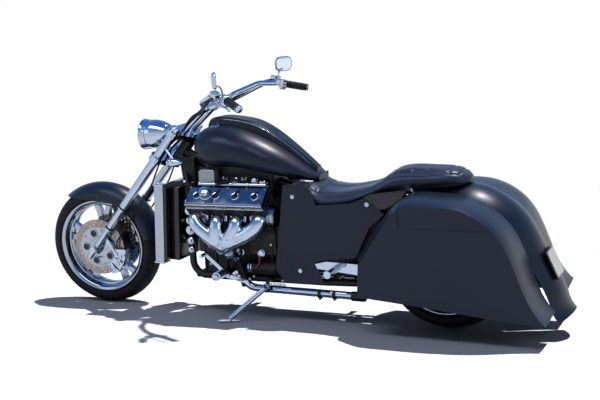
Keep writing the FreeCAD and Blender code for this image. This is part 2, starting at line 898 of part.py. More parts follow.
def make_grips():
    """Hollow grips over both bar ends, with a ring at the inner end and a domed cap."""
    end, inward = bar_end_frame()
    sleeve = Part.makeCylinder(d.grip_radius, d.grip_length, end, inward)
    collar = Part.makeCylinder(d.grip_radius * 1.14, d.grip_length * 0.06,
                               end.add(V(inward).multiply(d.grip_length * 0.94)), inward)
    cap = Part.makeCylinder(d.grip_radius * 1.08, d.grip_length * 0.08,
                            end.sub(V(inward).multiply(d.grip_length * 0.08)), inward)
    bore = Part.makeCylinder(d.bar_radius, d.grip_length * 1.2, end, inward)
    grip = joined([sleeve, collar, cap]).cut(bore)
    feature("grip_left", grip, "steer")
    feature("grip_right", flip_y(grip), "steer")


def turned_frame(at, along):
    """A placement whose X axis points along a direction and whose Z axis stays up."""
    forward = V(along).normalize()
    left = Z_AXIS.cross(forward).normalize()
    up = forward.cross(left)
    return FreeCAD.Placement(at, FreeCAD.Rotation(forward, left, up, "XZY"))


LEVER_SHARES = [(0.0, 0.0), (0.16, 0.55), (0.5, 0.62), (0.86, 0.42), (1.0, 0.44)]


def make_controls(bar):
    """Switch pod, reservoir and lever beside the grip, made for the left side."""
    end, inward = bar_end_frame()
    frame = turned_frame(end.add(V(inward).multiply(d.grip_length + d.fit_clear)), inward)
    low = V(0, -d.pod_width / 2, -d.pod_height * 0.6)
    pod = box_at(low, V(d.pod_length * 0.55, d.pod_width / 2, d.pod_height * 0.4))
    pod = eased(pod, d.pod_width * 0.2, lambda edge: True)
    clamp = box_at(V(d.pod_length * 0.45, -d.pod_width * 0.42, -d.pod_height * 0.26),
                   V(d.pod_length, d.pod_width * 0.95, d.pod_height * 0.3))
    clamp = eased(clamp, d.pod_width * 0.14, lambda edge: True)
    cup = box_at(V(d.pod_length * 0.42, d.pod_width * 0.46, d.pod_height * 0.12),
                 V(d.pod_length * 1.3, d.pod_width * 1.3, d.pod_height * 0.56))
    cup = eased(cup, d.pod_width * 0.14, lambda edge: True)
    start = V(d.pod_length * 0.7, d.pod_width * 0.7, 0)
    reach = d.lever_length
    side = d.pod_width
    points = [V(start.x - along * reach, start.y + out * side, 0) for along, out in LEVER_SHARES]
    lever = round_bar(points, d.bar_radius * 0.32, side)
    knob = Part.makeSphere(d.bar_radius * 0.5, points[-1])
    solids = joined([pod, clamp, cup, lever, knob])
    solids.Placement = frame
    solids = solids.cut(bar)
    return largest(solids)


def mirror_shape():
    """A rounded mirror housing on a stem, made for the left side."""
    end, inward = bar_end_frame()
    foot = end.add(V(inward).multiply(d.grip_length + d.pod_length * 0.75))
    foot = foot.add(V(0, 0, d.pod_height * 0.28))
    head = foot.add(V(0, d.mirror_width * 0.64, d.mirror_rise * 0.474))
    middle = foot.add(V(0, d.mirror_width * 0.16, d.mirror_rise * 0.36))
    stem = round_bar([foot, middle, head], d.mirror_stem_radius, d.mirror_rise * 0.3)
    half_width = d.mirror_width / 2
    half_height = d.mirror_height / 2
    ring = []
    for step in range(MIRROR_POINTS):
        turn = 2 * math.pi * step / MIRROR_POINTS
        power = MIRROR_POWER_SHARE
        across = math.copysign(abs(math.cos(turn)) ** power, math.cos(turn)) * half_width
        up = math.copysign(abs(math.sin(turn)) ** power, math.sin(turn)) * half_height
        ring.append((across, up))
    sections = []
    for depth_share, size_share in MIRROR_SHARES:
        sections.append(smooth_ring([V(depth_share * d.mirror_depth, across * size_share, up * size_share)
                                     for across, up in ring]))
    housing = Part.makeLoft(sections, True)
    turn = FreeCAD.Rotation(Z_AXIS, d.mirror_angle)
    centre = head.add(V(-d.mirror_depth * 0.3, d.mirror_width * 0.08, d.mirror_height * 0.3))
    housing.Placement = FreeCAD.Placement(centre, turn)
    return joined([stem, housing])


MIRROR_POINTS = 16
MIRROR_POWER_SHARE = 0.62
MIRROR_SHARES = [(0.0, 0.97), (0.2, 1.0), (0.7, 0.86), (1.0, 0.5)]


def make_cockpit():
    """Handlebar, grips, controls and mirrors."""
    make_handlebar()
    bar = bar_tube(d.bar_radius + d.seat_clear)
    make_grips()
    controls = make_controls(bar)
    mirror = mirror_shape().cut(controls).cut(bar)
    mirror = largest(mirror)
    feature("controls_left", controls, "steer")
    feature("controls_right", flip_y(controls), "steer")
    feature("mirror_left", mirror, "steer")
    feature("mirror_right", flip_y(mirror), "steer")


# Lamps

BULLET_MID_SHARES = (0.36, 0.8)
BULLET_RING_SHARE = 0.84
LENS_SHARE = 0.9


def bullet(name, length, radius):
    """A pointed round shell with an open front ring, along the Y axis."""
    return turned_body(name, [
        ("0", "0"),
        (f"{length} * {BULLET_MID_SHARES[0]}", f"{radius} * {BULLET_MID_SHARES[1]}",
         f"{length} * {BULLET_RING_SHARE}", f"{radius} * {LENS_SHARE + 0.06}"),
        (f"{length} * {BULLET_RING_SHARE}", radius),
        (length, radius),
        (length, f"{radius} * {LENS_SHARE}"),
        (f"{length} * {BULLET_RING_SHARE}", f"{radius} * {LENS_SHARE}"),
        (f"{length} * {BULLET_RING_SHARE}", "0"),
    ])


def make_headlight():
    """A chrome bullet headlight with a domed glass, on an arm from the lower clamp."""
    shell = bullet("headlight_shell", "sizes.headlight_length", "sizes.headlight_radius")
    seat = f"(sizes.headlight_length * {BULLET_RING_SHARE})"
    face = f"(sizes.headlight_radius * {LENS_SHARE})"
    edge = "(sizes.headlight_length * 0.97)"
    dome = "(sizes.headlight_radius * 0.16)"
    ball = f"(({face} * {face} + {dome} * {dome}) / (2 * {dome}))"
    lens = turned_body("headlight_lens", [
        (seat, "0"),
        (seat, face),
        (edge, face),
        (f"{edge} + {dome} - {ball} + sqrt({ball} * {ball} - {face} * {face} / 4)", f"{face} / 2",
         f"{edge} + {dome}", "0"),
    ])
    turn = FreeCAD.Placement(on_fork(d.headlight_along, ahead=d.headlight_ahead), FreeCAD.Rotation(Z_AXIS, -90))
    shell.Placement = turn
    lens.Placement = turn
    doc.recompute()
    foot = on_fork(d.clamp_low_at, ahead=d.leg_top_radius * 0.4)
    arm = Part.makeCylinder(d.riser_radius, d.headlight_radius, foot.sub(V(0, 0, d.riser_radius * 0.2)),
                            V(d.headlight_radius * 0.7, 0, d.headlight_radius * 0.66))
    clamps = nodes["triple_clamps"][0].Shape
    whole = joined([shell.Shape.copy(), arm]).cut(clamps)
    whole = largest(whole)
    feature("headlight", whole, "steer")
    keep("headlight_lens", lens, "steer")


def make_front_signals():
    """Two small bullet lamps on stalks behind the fork legs."""
    lamp = bullet("signal", "sizes.signal_length", "sizes.signal_radius")
    at = on_fork(d.leg_top_start + d.signal_length * 5.6, ahead=-d.signal_length * 1.45, side=d.leg_spacing * 0.69)
    lamp.Placement = FreeCAD.Placement(at.sub(V(d.signal_length / 2, 0, 0)), FreeCAD.Rotation(Z_AXIS, -90))
    doc.recompute()
    legs = nodes["fork_legs"][0].Shape
    root = on_fork(d.leg_top_start + d.signal_length * 5.6, side=d.leg_spacing / 2)
    stalk = Part.makeCylinder(d.signal_radius * 0.35, at.sub(root).Length, root, at.sub(root))
    whole = joined([lamp.Shape.copy(), stalk]).cut(legs)
    whole = largest(whole)
    feature("front_signals", Part.makeCompound([whole, flip_y(whole)]), "steer")


# Front fender and brakes

FENDER_TRIM_SHARES = [(0.78, 0.84), (0.56, 0.835), (-0.32, 0.74), (-0.36, 0.53), (-0.70, 0.56),
                      (-0.88, 0.05), (-0.70, -0.4), (1.3, -0.4), (1.3, 0.84)]


def make_front_fender():
    """A deep arched shell round the tyre, with its skirts trimmed along the side."""
    outer = "(sizes.front_tyre_radius + sizes.fender_gap)"
    half = "sizes.fender_width / 2"
    wall = "sizes.fender_wall"
    low = f"({outer} - sizes.fender_skirt * 1.7)"
    shoulder = f"({outer} - {half} * 0.55)"
    body = doc.addObject("PartDesign::Body", "fender_shell")
    turn = add_turn(body, "fender_arch", [
        (f"-({half})", low),
        (f"-({half})", shoulder),
        ("0", outer, half, shoulder),
        (half, low),
        (f"{half} - {wall}", low),
        (f"{half} - {wall}", shoulder),
        ("0", f"{outer} - {wall}", f"-({half} - {wall})", shoulder),
        (f"-({half} - {wall})", low),
    ])
    turn.setExpression("Angle", "sizes.fender_sweep_angle")
    turn.Midplane = True
    doc.recompute()
    shell = body.Shape.copy()
    shell.Placement = FreeCAD.Placement(FRONT_AXLE, FreeCAD.Rotation(Y_AXIS, -d.fender_turn_angle))
    reach = d.front_tyre_radius
    corners = [bike_point(share, FRONT_AXLE.x, reach, FRONT_AXLE.z, reach) for share in FENDER_TRIM_SHARES]
    cut = plate_of(corners, -d.fender_width, 2 * d.fender_width)
    shell = shell.cut(cut)
    shell = largest(shell)
    tabs = []
    for edge in (-1, 1):
        low_at = on_fork(d.leg_top_start - d.leg_collar, side=edge * (d.leg_spacing / 2 - d.leg_mid_radius * 0.7))
        inner = on_fork(d.leg_top_start - d.leg_collar, side=edge * (d.fender_width / 2 - d.fender_wall * 0.5))
        tabs.append(Part.makeCylinder(d.axle_radius * 0.7, low_at.sub(inner).Length, inner, low_at.sub(inner)))
    legs = nodes["fork_legs"][0].Shape
    whole = joined([shell] + tabs).cut(legs)
    feature("front_fender", largest(whole), "steer")


CALIPER_SWEEP = 54
CALIPER_TURN = 214


def caliper_shape(side, axle, width, turn_angle):
    """A caliper block round the rim of a rotor, open toward the axle."""
    inner = d.rotor_radius - d.caliper_depth / 2
    outer = d.rotor_radius + d.caliper_depth * 0.26
    start = axle.add(V(0, side - width / 2, 0))
    ring = Part.makeCylinder(outer, width, start, Y_AXIS, CALIPER_SWEEP)
    ring = ring.cut(Part.makeCylinder(inner, width * 1.2, start.sub(V(0, width * 0.1, 0)), Y_AXIS))
    slot_start = axle.add(V(0, side - d.caliper_slot / 2, 0))
    ring = ring.cut(Part.makeCylinder(d.rotor_radius + d.caliper_slot / 2, d.caliper_slot, slot_start, Y_AXIS))
    ring = largest(ring)
    ring.rotate(axle, Y_AXIS, turn_angle)
    return ring


def make_front_calipers():
    """Calipers behind the legs, held by plates to the lower leg."""
    side = d.front_hub_length / 2 + d.carrier_thickness / 2
    block = caliper_shape(side, FRONT_AXLE, d.caliper_width, CALIPER_TURN)
    legs = nodes["fork_legs"][0].Shape
    centre = block.CenterOfMass
    root = on_fork(d.leg_mid_start * 0.55, side=d.leg_spacing / 2)
    face = side + d.caliper_width / 2
    corners = [V(root.x, 0, root.z - d.leg_mid_radius), V(root.x, 0, root.z + d.leg_mid_radius),
               V(centre.x, 0, centre.z + d.caliper_depth * 0.4),
               V(centre.x - d.leg_mid_radius, 0, centre.z - d.caliper_depth * 0.2)]
    plate = plate_of(corners, face - d.carrier_thickness, d.carrier_thickness * 1.6)
    whole = joined([block, plate]).cut(legs)
    whole = largest(whole)
    feature("front_calipers", Part.makeCompound([whole, flip_y(whole)]), "steer")


LINE_SHARES = ((0.55, -2.2), (0.12, -2.4))


def make_brake_lines():
    """A flexible line behind each leg from the lower clamp to its caliper."""
    caliper = nodes["front_calipers"][0].Shape.Solids[0]
    centre = caliper.CenterOfMass
    side = math.copysign(d.leg_spacing * 0.4, centre.y)
    start = on_fork(d.clamp_low_at - d.clamp_thickness * 0.3, ahead=-d.leg_top_radius * 0.7, side=side)
    points = [start]
    for along, ahead in LINE_SHARES:
        points.append(on_fork(d.leg_top_start + (d.clamp_low_at - d.leg_top_start) * along,
                              ahead=ahead * d.leg_top_radius, side=side))
    outer = centre.y + math.copysign(d.caliper_width * 0.34, centre.y)
    points.append(V(centre.x, outer, centre.z + d.caliper_depth * 1.2))
    points.append(V(centre.x, outer, centre.z))
    line = round_bar(points, d.line_radius, d.leg_top_radius * 2)
    for label in ("front_calipers", "triple_clamps", "fork_legs"):
        line = line.cut(nodes[label][0].Shape)
    line = largest(line)
    feature("brake_lines", Part.makeCompound([line, flip_y(line)]), "steer")


# Tank, console and seat

TANK_SHARES = [
    (1.0, 0.26, 0.70, 0.53),
    (0.965, 0.62, 0.82, 0.45),
    (0.92, 0.83, 0.917, 0.35),
    (0.82, 0.97, 0.977, 0.267),
    (0.66, 1.0, 0.967, 0.257),
    (0.48, 0.97, 0.833, 0.20),
    (0.30, 0.84, 0.617, 0.117),
    (0.14, 0.62, 0.35, 0.04),
    (0.03, 0.40, 0.15, 0.007),
    (0.0, 0.28, 0.10, 0.007),
]
TANK_RING_SHARES = [(0.0, 1.0), (0.42, 0.97), (0.78, 0.82), (1.0, 0.47), (0.9, 0.14), (0.55, 0.0),
                    (0.0, 0.0)]


def ring_section(x, half_width, low, high, ring_shares):
    """A closed smooth section across the machine from shares of its half width and height."""
    left = [V(x, share * half_width, low + up * (high - low)) for share, up in ring_shares]
    right = [V(x, -point.y, point.z) for point in reversed(left[1:-1])]
    return smooth_ring(left + right)


def tank_section(share):
    """One section of the tank from its row of shares."""
    along, wide, top, low = share
    base = d.tank_top - d.tank_depth
    height = d.tank_depth
    x = d.tank_front - d.tank_length * (1 - along)
    return ring_section(x, d.tank_half_width * wide, base + height * low, base + height * top,
                        TANK_RING_SHARES)


def make_tank():
    """A long teardrop tank over the backbone."""
    shape = Part.makeLoft([tank_section(share) for share in TANK_SHARES], True)
    return solid_of(shape)


CONSOLE_BASE_SHARE = 0.773
CONSOLE_RISE_SHARE = 0.83
CONSOLE_SHARES = [
    (1.0, 0.50, 0.86),
    (0.95, 0.80, 1.03),
    (0.80, 1.0, 1.06),
    (0.58, 1.0, 0.975),
    (0.38, 0.84, 0.74),
    (0.18, 0.60, 0.38),
    (0.0, 0.40, 0.0),
]


def make_console():
    """A raised spine along the top of the tank, with a flat crown and steep sides."""
    sections = []
    base = d.tank_top - d.tank_depth * CONSOLE_BASE_SHARE
    height = d.tank_depth * CONSOLE_RISE_SHARE
    for along, wide, top in CONSOLE_SHARES:
        x = d.console_front - d.console_length * (1 - along)
        crown = base + height * top
        half = d.console_half_width * wide
        low = crown - d.console_height * 2.2
        corners = [V(x, half, low), V(x, half * 0.94, crown - d.console_height * 0.28),
                   V(x, half * 0.72, crown), V(x, -half * 0.72, crown),
                   V(x, -half * 0.94, crown - d.console_height * 0.28), V(x, -half, low)]
        sections.append(Part.makePolygon(corners + [corners[0]]))
    return solid_of(Part.makeLoft(sections, True))


SEAT_SHARES = [
    (0.0, 0.78, 0.665, 0.36),
    (0.03, 0.93, 0.60, 0.13),
    (0.07, 0.98, 0.475, 0.03),
    (0.15, 1.0, 0.39, 0.0),
    (0.24, 1.0, 0.40, 0.03),
    (0.33, 0.98, 0.47, 0.12),
    (0.44, 0.88, 0.62, 0.32),
    (0.52, 0.78, 0.87, 0.42),
    (0.60, 0.72, 0.98, 0.49),
    (0.75, 0.68, 0.985, 0.53),
    (0.88, 0.61, 0.96, 0.55),
    (0.95, 0.48, 0.88, 0.56),
    (0.985, 0.32, 0.76, 0.57),
    (1.0, 0.18, 0.68, 0.59),
]
SEAT_RING_SHARES = [(0.0, 1.0), (0.5, 0.94), (0.86, 0.72), (1.0, 0.37), (0.93, 0.0), (0.5, 0.06),
                    (0.0, 0.08)]


def make_seat():
    """A one-piece seat with a dished front and a raised rear pad."""
    sections = []
    base = d.seat_top - d.seat_depth
    for along, wide, top, low in SEAT_SHARES:
        x = d.seat_front - d.seat_length * along
        sections.append(ring_section(x, d.seat_half_width * wide, base + d.seat_depth * low,
                                     base + d.seat_depth * top, SEAT_RING_SHARES))
    return solid_of(Part.makeLoft(sections, True))


# Body panels

COVER_SHARES = [
    (0.888, 0.985), (0.914, 0.763), (0.957, 0.413), (1.0, 0.152), (0.921, 0.0),
    (0.561, 0.006), (0.634, 0.227), (0.55, 0.25), (0.269, 0.288), (0.221, 0.40),
    (0.144, 0.583), (0.01, 0.725), (0.076, 0.80), (0.18, 0.87), (0.30, 0.82), (0.60, 0.79),
    (0.64, 0.93), (0.70, 1.0),
]


def make_side_cover():
    """A large panel beside the engine, with a stepped lower edge and two screws."""
    rear = d.cover_front - d.cover_length
    corners = [bike_point(share, rear, d.cover_length, d.cover_bottom, d.cover_height)
               for share in COVER_SHARES]
    panel = plate_of(corners, d.cover_face - d.cover_wall, d.cover_wall)
    step_low = d.cover_bottom + d.cover_height * 0.3
    below = box_at(V(rear, d.cover_face - d.cover_step, 0),
                   V(d.cover_front, d.cover_face + d.cover_step, step_low))
    panel = panel.cut(below)
    return panel


# Saddlebags

BAG_SHARES = [
    (0.0, 0.15, 0.5), (0.0, 0.455, 0.9), (0.053, 0.60, 1.1), (0.150, 0.83, 1.1), (0.235, 0.96, 1.0),
    (0.379, 0.981, 0.9), (0.530, 0.958, 0.5), (0.632, 0.897, 0.4), (0.742, 0.765, 0.4),
    (0.864, 0.387, 0.4), (0.940, 0.095, 0.2), (0.982, 0.01, 0.1), (0.693, 0.042, 0.1), (0.353, 0.10, 0.1),
]
BAG_PINCH_SHARES = [(0.0, 0.0), (0.4, 0.06), (0.7, 0.25), (0.9, 0.65), (1.0, 1.0)]


def bag_outline(inset, wall, side):
    """The side outline of a bag at one depth, drawn in toward its middle by an inset and a wall."""
    middle = V(d.bag_front - d.bag_length * 0.42, 0, d.bag_bottom + d.bag_height * 0.2)
    drawn = []
    for along, up, share in BAG_SHARES:
        point = bike_point((-along, up), d.bag_front, d.bag_length, d.bag_bottom, d.bag_height)
        inward = middle.sub(point).normalize()
        moved = point.add(inward.multiply(inset * share + wall * 1.5))
        drawn.append(V(moved.x, side, moved.z))
    return drawn


def bag_wire(points):
    """A bag outline: straight bottom and front, and one smooth curve over the top and rear."""
    front_low, front_high = points[0], points[1]
    top = smooth_edge(points[1:12])
    under = [Part.LineSegment(points[11], points[12]).toShape(),
             Part.LineSegment(points[12], points[13]).toShape(),
             Part.LineSegment(points[13], points[0]).toShape()]
    return Part.Wire([Part.LineSegment(front_low, front_high).toShape(), top] + under)


def bag_solid(wall):
    """The whole bag, lofted outward from its inner face; a wall draws it in on every side."""
    wires = []
    depth = d.bag_outer - d.bag_inner - 2 * wall
    for out, pinch in BAG_PINCH_SHARES:
        side = d.bag_inner + wall + depth * out
        wires.append(bag_wire(bag_outline(d.bag_inset * pinch, wall, side)))
    return solid_of(Part.makeLoft(wires, True))


def make_bag_and_lid():
    """A hollow bag split at the lid seam, with the lid hinged along its outer edge."""
    outer = bag_solid(0)
    inner = bag_solid(d.bag_wall)
    far = d.bag_length * 2
    half_gap = d.lid_gap / 2
    above = box_at(V(-far, 0, d.lid_seam + half_gap), V(d.lid_front - half_gap, far, far))
    below = box_at(V(-far, 0, -far), V(far, far, d.lid_seam + half_gap - d.seat_clear))
    front = box_at(V(d.lid_front + half_gap, 0, 0), V(far, far, far))
    shell = outer.cut(inner)
    lid = shell.common(above)
    tub = shell.common(joined([below, front]))
    closing = outer.common(box_at(V(d.lid_front + half_gap, 0, d.lid_seam - d.bag_wall),
                                  V(d.lid_front + half_gap + d.bag_wall, far, far)))
    tub = joined([tub, closing])
    lid_end = outer.common(box_at(V(d.lid_front - half_gap - d.bag_wall, 0, d.lid_seam + half_gap),
                                  V(d.lid_front - half_gap, far, far)))
    lid = joined([lid, lid_end])
    tub = largest(tub)
    lid = largest(lid)
    return tub, lid


POD_SHARES = [
    (-0.003, 0.93), (0.047, 0.864), (0.080, 0.831), (0.131, 0.842), (0.206, 0.935), (0.236, 0.996),
    (0.197, 0.991), (0.025, 0.958),
]


def make_pod():
    """A small wedge panel that closes the space between seat and bag."""
    corners = [bike_point((-along, up), d.bag_front, d.bag_length, d.bag_bottom, d.bag_height)
               for along, up in POD_SHARES]
    return plate_of(corners, d.bag_inner + d.lid_gap, d.cover_wall * 2.6)


# Rear fender

TAIL_SHARES = [
    (-0.34, 0.975, 92),
    (-0.15, 0.99, 90),
    (0.08, 0.99, 93),
    (0.22, 0.995, 100),
    (0.38, 0.953, 122),
    (0.52, 0.882, 140),
    (0.645, 0.775, 148),
    (0.76, 0.60, 157),
    (0.85, 0.445, 160),
    (0.93, 0.30, 158),
    (1.0, 0.18, 150),
]


def tail_section(share):
    """An arched strip across the fender: outer arch, inner arch and two thin edges."""
    along, up, turn = share
    crown = V(-d.tail_length * along, 0, d.tail_height * up)
    outward = V(math.cos(math.radians(turn)), 0, math.sin(math.radians(turn)))
    half = d.tail_half_width
    low = crown.sub(V(outward).multiply(d.tail_drop))
    inner_crown = crown.sub(V(outward).multiply(d.tail_wall))
    outer_arc = Part.Arc(low.add(V(0, -half, 0)), crown, low.add(V(0, half, 0))).toShape()
    inner_half = half - d.tail_wall
    inner_arc = Part.Arc(low.add(V(0, inner_half, 0)), inner_crown, low.add(V(0, -inner_half, 0))).toShape()
    edges = [outer_arc, Part.LineSegment(low.add(V(0, half, 0)), low.add(V(0, inner_half, 0))).toShape(),
             inner_arc, Part.LineSegment(low.add(V(0, -inner_half, 0)), low.add(V(0, -half, 0))).toShape()]
    return Part.Wire(edges)


def make_rear_fender():
    """A long arched fender that runs down between the bags to a flared tail."""
    return solid_of(Part.makeLoft([tail_section(share) for share in TAIL_SHARES], True))


def make_plate():
    """A blank plate on the slope of the fender, with a short stay into the shell."""
    at = V(-d.tail_length * 0.833, 0, d.tail_height * 0.484)
    block = box_at(V(-2 * d.plate_thickness, -d.plate_width / 2, -d.plate_height / 2),
                   V(-d.plate_thickness, d.plate_width / 2, d.plate_height / 2))
    stay = box_at(V(-d.plate_thickness, -d.plate_width / 6, -d.plate_height / 6),
                  V(d.tail_wall, d.plate_width / 6, d.plate_height / 6))
    whole = joined([block, stay])
    whole.Placement = FreeCAD.Placement(at, FreeCAD.Rotation(Y_AXIS, PLATE_ANGLE))
    whole = whole.cut(nodes["rear_fender"][0].Shape)
    return max(whole.Solids, key=lambda solid: -solid.CenterOfMass.x)


PLATE_ANGLE = 24


# Engine


def bank_point(up, out, x=0.0):
    """A point on the left bank: up along the cylinders, out across the head face."""
    angle = math.radians(d.bank_angle)
    rise = V(0, math.sin(angle), math.cos(angle)).multiply(up)
    across = V(0, math.cos(angle), -math.sin(angle)).multiply(out)
    return V(x, 0, d.crank_height).add(rise).add(across)


def make_engine_block():
    """The V block with both heads and the oil pan, as one heavy piece."""
    half_head = d.head_width / 2
    left = [
        bank_point(d.bank_height - d.head_height, -half_head),
        bank_point(d.bank_height, -half_head),
        bank_point(d.bank_height, half_head),
        bank_point(d.bank_height - d.head_height, half_head),
        V(0, d.block_half_width, d.crank_height + d.head_height * 0.45),
        V(0, d.block_half_width, d.crank_height - d.head_height * 0.5),
        V(0, d.pan_half_width, d.crank_height - d.head_height * 0.62),
        V(0, d.pan_half_width * 0.92, d.pan_bottom),
    ]
    valley = bank_point(d.bank_height - d.head_height * 1.5, -half_head)
    ring = left + [V(0, -point.y, point.z) for point in reversed(left)] + [V(0, 0, valley.z)]
    corners = [V(ENGINE_REAR, point.y, point.z) for point in ring]
    face = Part.Face(Part.makePolygon(corners + [corners[0]]))
    return face.extrude(V(d.engine_length, 0, 0))


WELL_SHARES = (0.13, 0.38, 0.63, 0.88)


def make_valve_cover():
    """A chrome cover with four bolt wells and an oil filler cap, on the left bank."""
    length = d.cover_cap_length
    width = d.cover_cap_width
    block = box_at(V(-length / 2, -width / 2, 0), V(length / 2, width / 2, d.cover_cap_height))
    block = eased(block, d.cap_well_radius * 0.5,
                  lambda edge: edge.CenterOfMass.z > d.cover_cap_height * 0.9)
    flange = box_at(V(-length / 2 - d.cover_wall / 3, -width / 2 - d.cover_wall / 3, 0),
                    V(length / 2 + d.cover_wall / 3, width / 2 + d.cover_wall / 3, d.cover_wall * 0.6))
    cover = joined([block, flange])
    for share in WELL_SHARES:
        at = V(-length / 2 + length * share, 0, d.cover_cap_height - d.cap_well_depth)
        cover = cover.cut(Part.makeCylinder(d.cap_well_radius, d.cap_well_depth * 2, at))
        bolt = Part.makeCylinder(d.cap_well_radius * 0.4, d.cap_well_depth * 0.8, at)
        cover = joined([cover, bolt])
    at = V(length * 0.24, 0, d.cover_cap_height)
    neck = Part.makeCylinder(d.cap_filler_radius * 0.8, d.cap_filler_height * 0.5, at)
    cap = Part.makeCylinder(d.cap_filler_radius, d.cap_filler_height * 0.6,
                            at.add(V(0, 0, d.cap_filler_height * 0.4)))
    cover = joined([cover, neck, cap])
    seat = bank_point(d.bank_height, 0, ENGINE_REAR + d.engine_length / 2)
    cover.Placement = FreeCAD.Placement(seat, FreeCAD.Rotation(X_AXIS, -d.bank_angle))
    return cover


def make_intake():
    """Plenum in the valley with chrome fuel rails along both sides and a throttle body."""
    middle = ENGINE_REAR + d.engine_length * 0.55
    low = bank_point(d.bank_height - d.head_height * 1.5, -d.head_width / 2).z
    block = box_at(V(middle - d.intake_length / 2, -d.intake_width / 2, low),
                   V(middle + d.intake_length / 2, d.intake_width / 2, d.intake_top))
    block = eased(block, d.rail_radius, lambda edge: edge.CenterOfMass.z > d.intake_top - d.fit_clear)
    parts = [block]
    for side in (-1, 1):
        rail = Part.makeCylinder(d.rail_radius, d.intake_length,
                                 V(middle - d.intake_length / 2, side * d.rail_spread,
                                   d.intake_top + d.rail_radius * 0.6), X_AXIS)
        parts.append(rail)
        for share in WELL_SHARES:
            foot = V(middle - d.intake_length / 2 + d.intake_length * share, side * d.intake_width * 0.4,
                     d.intake_top - d.rail_radius)
            top = V(foot.x, side * d.rail_spread, d.intake_top + d.rail_radius * 0.6)
            parts.append(Part.makeCylinder(d.rail_radius * 0.4, top.sub(foot).Length, foot, top.sub(foot)))
    throat = Part.makeCylinder(d.intake_width * 0.26, d.intake_width * 0.6,
                               V(middle + d.intake_length / 2 - d.fit_clear, 0, d.intake_top - d.intake_width * 0.3),
                               X_AXIS)
    parts.append(throat)
    whole = joined(parts)
    return whole.cut(nodes["engine_block"][0].Shape)


def make_air_box(frame, tank):
    """A black box that fills the space between the intake and the tank."""
    middle = ENGINE_REAR + d.engine_length * 0.5
    half = d.intake_width * 0.6
    block = box_at(V(middle - d.intake_length * 0.66, -half, d.intake_top),
                   V(middle + d.intake_length * 0.66, half, d.tank_top - d.tank_depth * 0.72))
    block = eased(block, d.rail_radius, lambda edge: abs(edge.tangentAt(edge.FirstParameter).z) > 0.9)
    return largest(block.cut(nodes["intake_manifold"][0].Shape).cut(frame).cut(tank))


def lobe_section(x, low, high, middle_side, half_depth):
    """A tall closed section across the machine for a header wing."""
    centre = (low + high) / 2
    half = (high - low) / 2
    points = []
    for step in range(HEADER_POINTS):
        turn = 2 * math.pi * step / HEADER_POINTS
        points.append(V(x, middle_side + math.cos(turn) * half_depth, centre + math.sin(turn) * half))
    return smooth_ring(points)


HEADER_POINTS = 12
WING_SHARES = [
    (0.0, 0.02, 0.10, 0.30),
    (0.10, 0.0, 0.42, 0.75),
    (0.25, 0.0, 0.78, 0.95),
    (0.38, 0.02, 1.0, 1.0),
    (0.48, 0.06, 1.04, 1.0),
]


def make_header():
    """Four short pipes that sweep like wings into one collector, on the left side."""
    root = bank_point(d.bank_height - d.head_height * 0.55, d.head_width / 2)
    side = root.y + d.header_reach * 0.62
    height = d.header_top - d.header_bottom
    parts = []
    for sign, start in ((-1, d.engine_front), (1, ENGINE_REAR)):
        sections = []
        for along, top, low, deep in WING_SHARES:
            x = start + sign * along * d.engine_length
            sections.append(lobe_section(x, d.header_top - height * low, d.header_top - height * top * 0.5,
                                         side, d.header_reach * 0.42 * deep))
        parts.append(Part.makeLoft(sections, True))
    middle = ENGINE_REAR + d.engine_length * 0.5
    for share in (-0.09, 0.09):
        top = V(middle + d.engine_length * share, side, d.header_top)
        low = V(middle + d.engine_length * share * 0.35, side + d.header_reach * 0.1,
                d.header_bottom - height * 0.1)
        along = low.sub(top)
        parts.append(Part.makeCone(d.collector_radius * 0.7, d.collector_radius * 0.72, along.Length, top, along))
    for share in WELL_SHARES:
        port = V(ENGINE_REAR + d.engine_length * share, root.y - d.header_reach * 0.1, root.z)
        out = V(port.x + (middle - port.x) * 0.12, side, d.header_top - height * 0.2)
        parts.append(Part.makeCylinder(d.pipe_radius * 0.8, out.sub(port).Length, port, out.sub(port)))
    neck_top = V(middle, side + d.header_reach * 0.1, d.header_bottom + height * 0.2)
    neck_low = V(middle - d.pipe_radius * 0.2, side - d.header_reach * 0.1, d.header_bottom - height * 0.55)
    along = neck_low.sub(neck_top)
    parts.append(Part.makeCone(d.collector_radius * 1.05, d.pipe_radius * 1.15, along.Length, neck_top, along))
    whole = joined(parts)
    for label in ("engine_block", "valve_cover_left"):
        whole = whole.cut(nodes[label][0].Shape)
    return largest(whole), neck_low


def make_exhaust_pipe(start):
    """The pipe from the collector down and back along the left side to its slashed tip."""
    low = V(start.x - d.pipe_radius * 0.4, d.exhaust_side + d.pipe_radius, start.z - d.header_reach)
    turn = V(start.x - d.pipe_radius, d.exhaust_side, d.exhaust_height)
    tip = V(d.exhaust_tip, d.exhaust_side, d.exhaust_height - d.exhaust_radius * 0.6)
    first = start.add(V(0, 0, -d.fit_clear))
    pipe = round_bar([first, low, turn, tip], d.exhaust_radius)
    sleeve = Part.makeCylinder(d.pipe_radius, d.header_reach, first, low.sub(first))
    pipe = joined([pipe, sleeve])
    slash = box_at(V(-d.pipe_radius * 8, -d.pipe_radius * 2, 0), V(d.pipe_radius * 2, d.pipe_radius * 2, d.pipe_radius * 4))
    slash.Placement = FreeCAD.Placement(V(d.exhaust_tip + d.pipe_radius * 2, d.exhaust_side, d.exhaust_height),
                                        FreeCAD.Rotation(Y_AXIS, -28))
    return pipe.cut(slash)


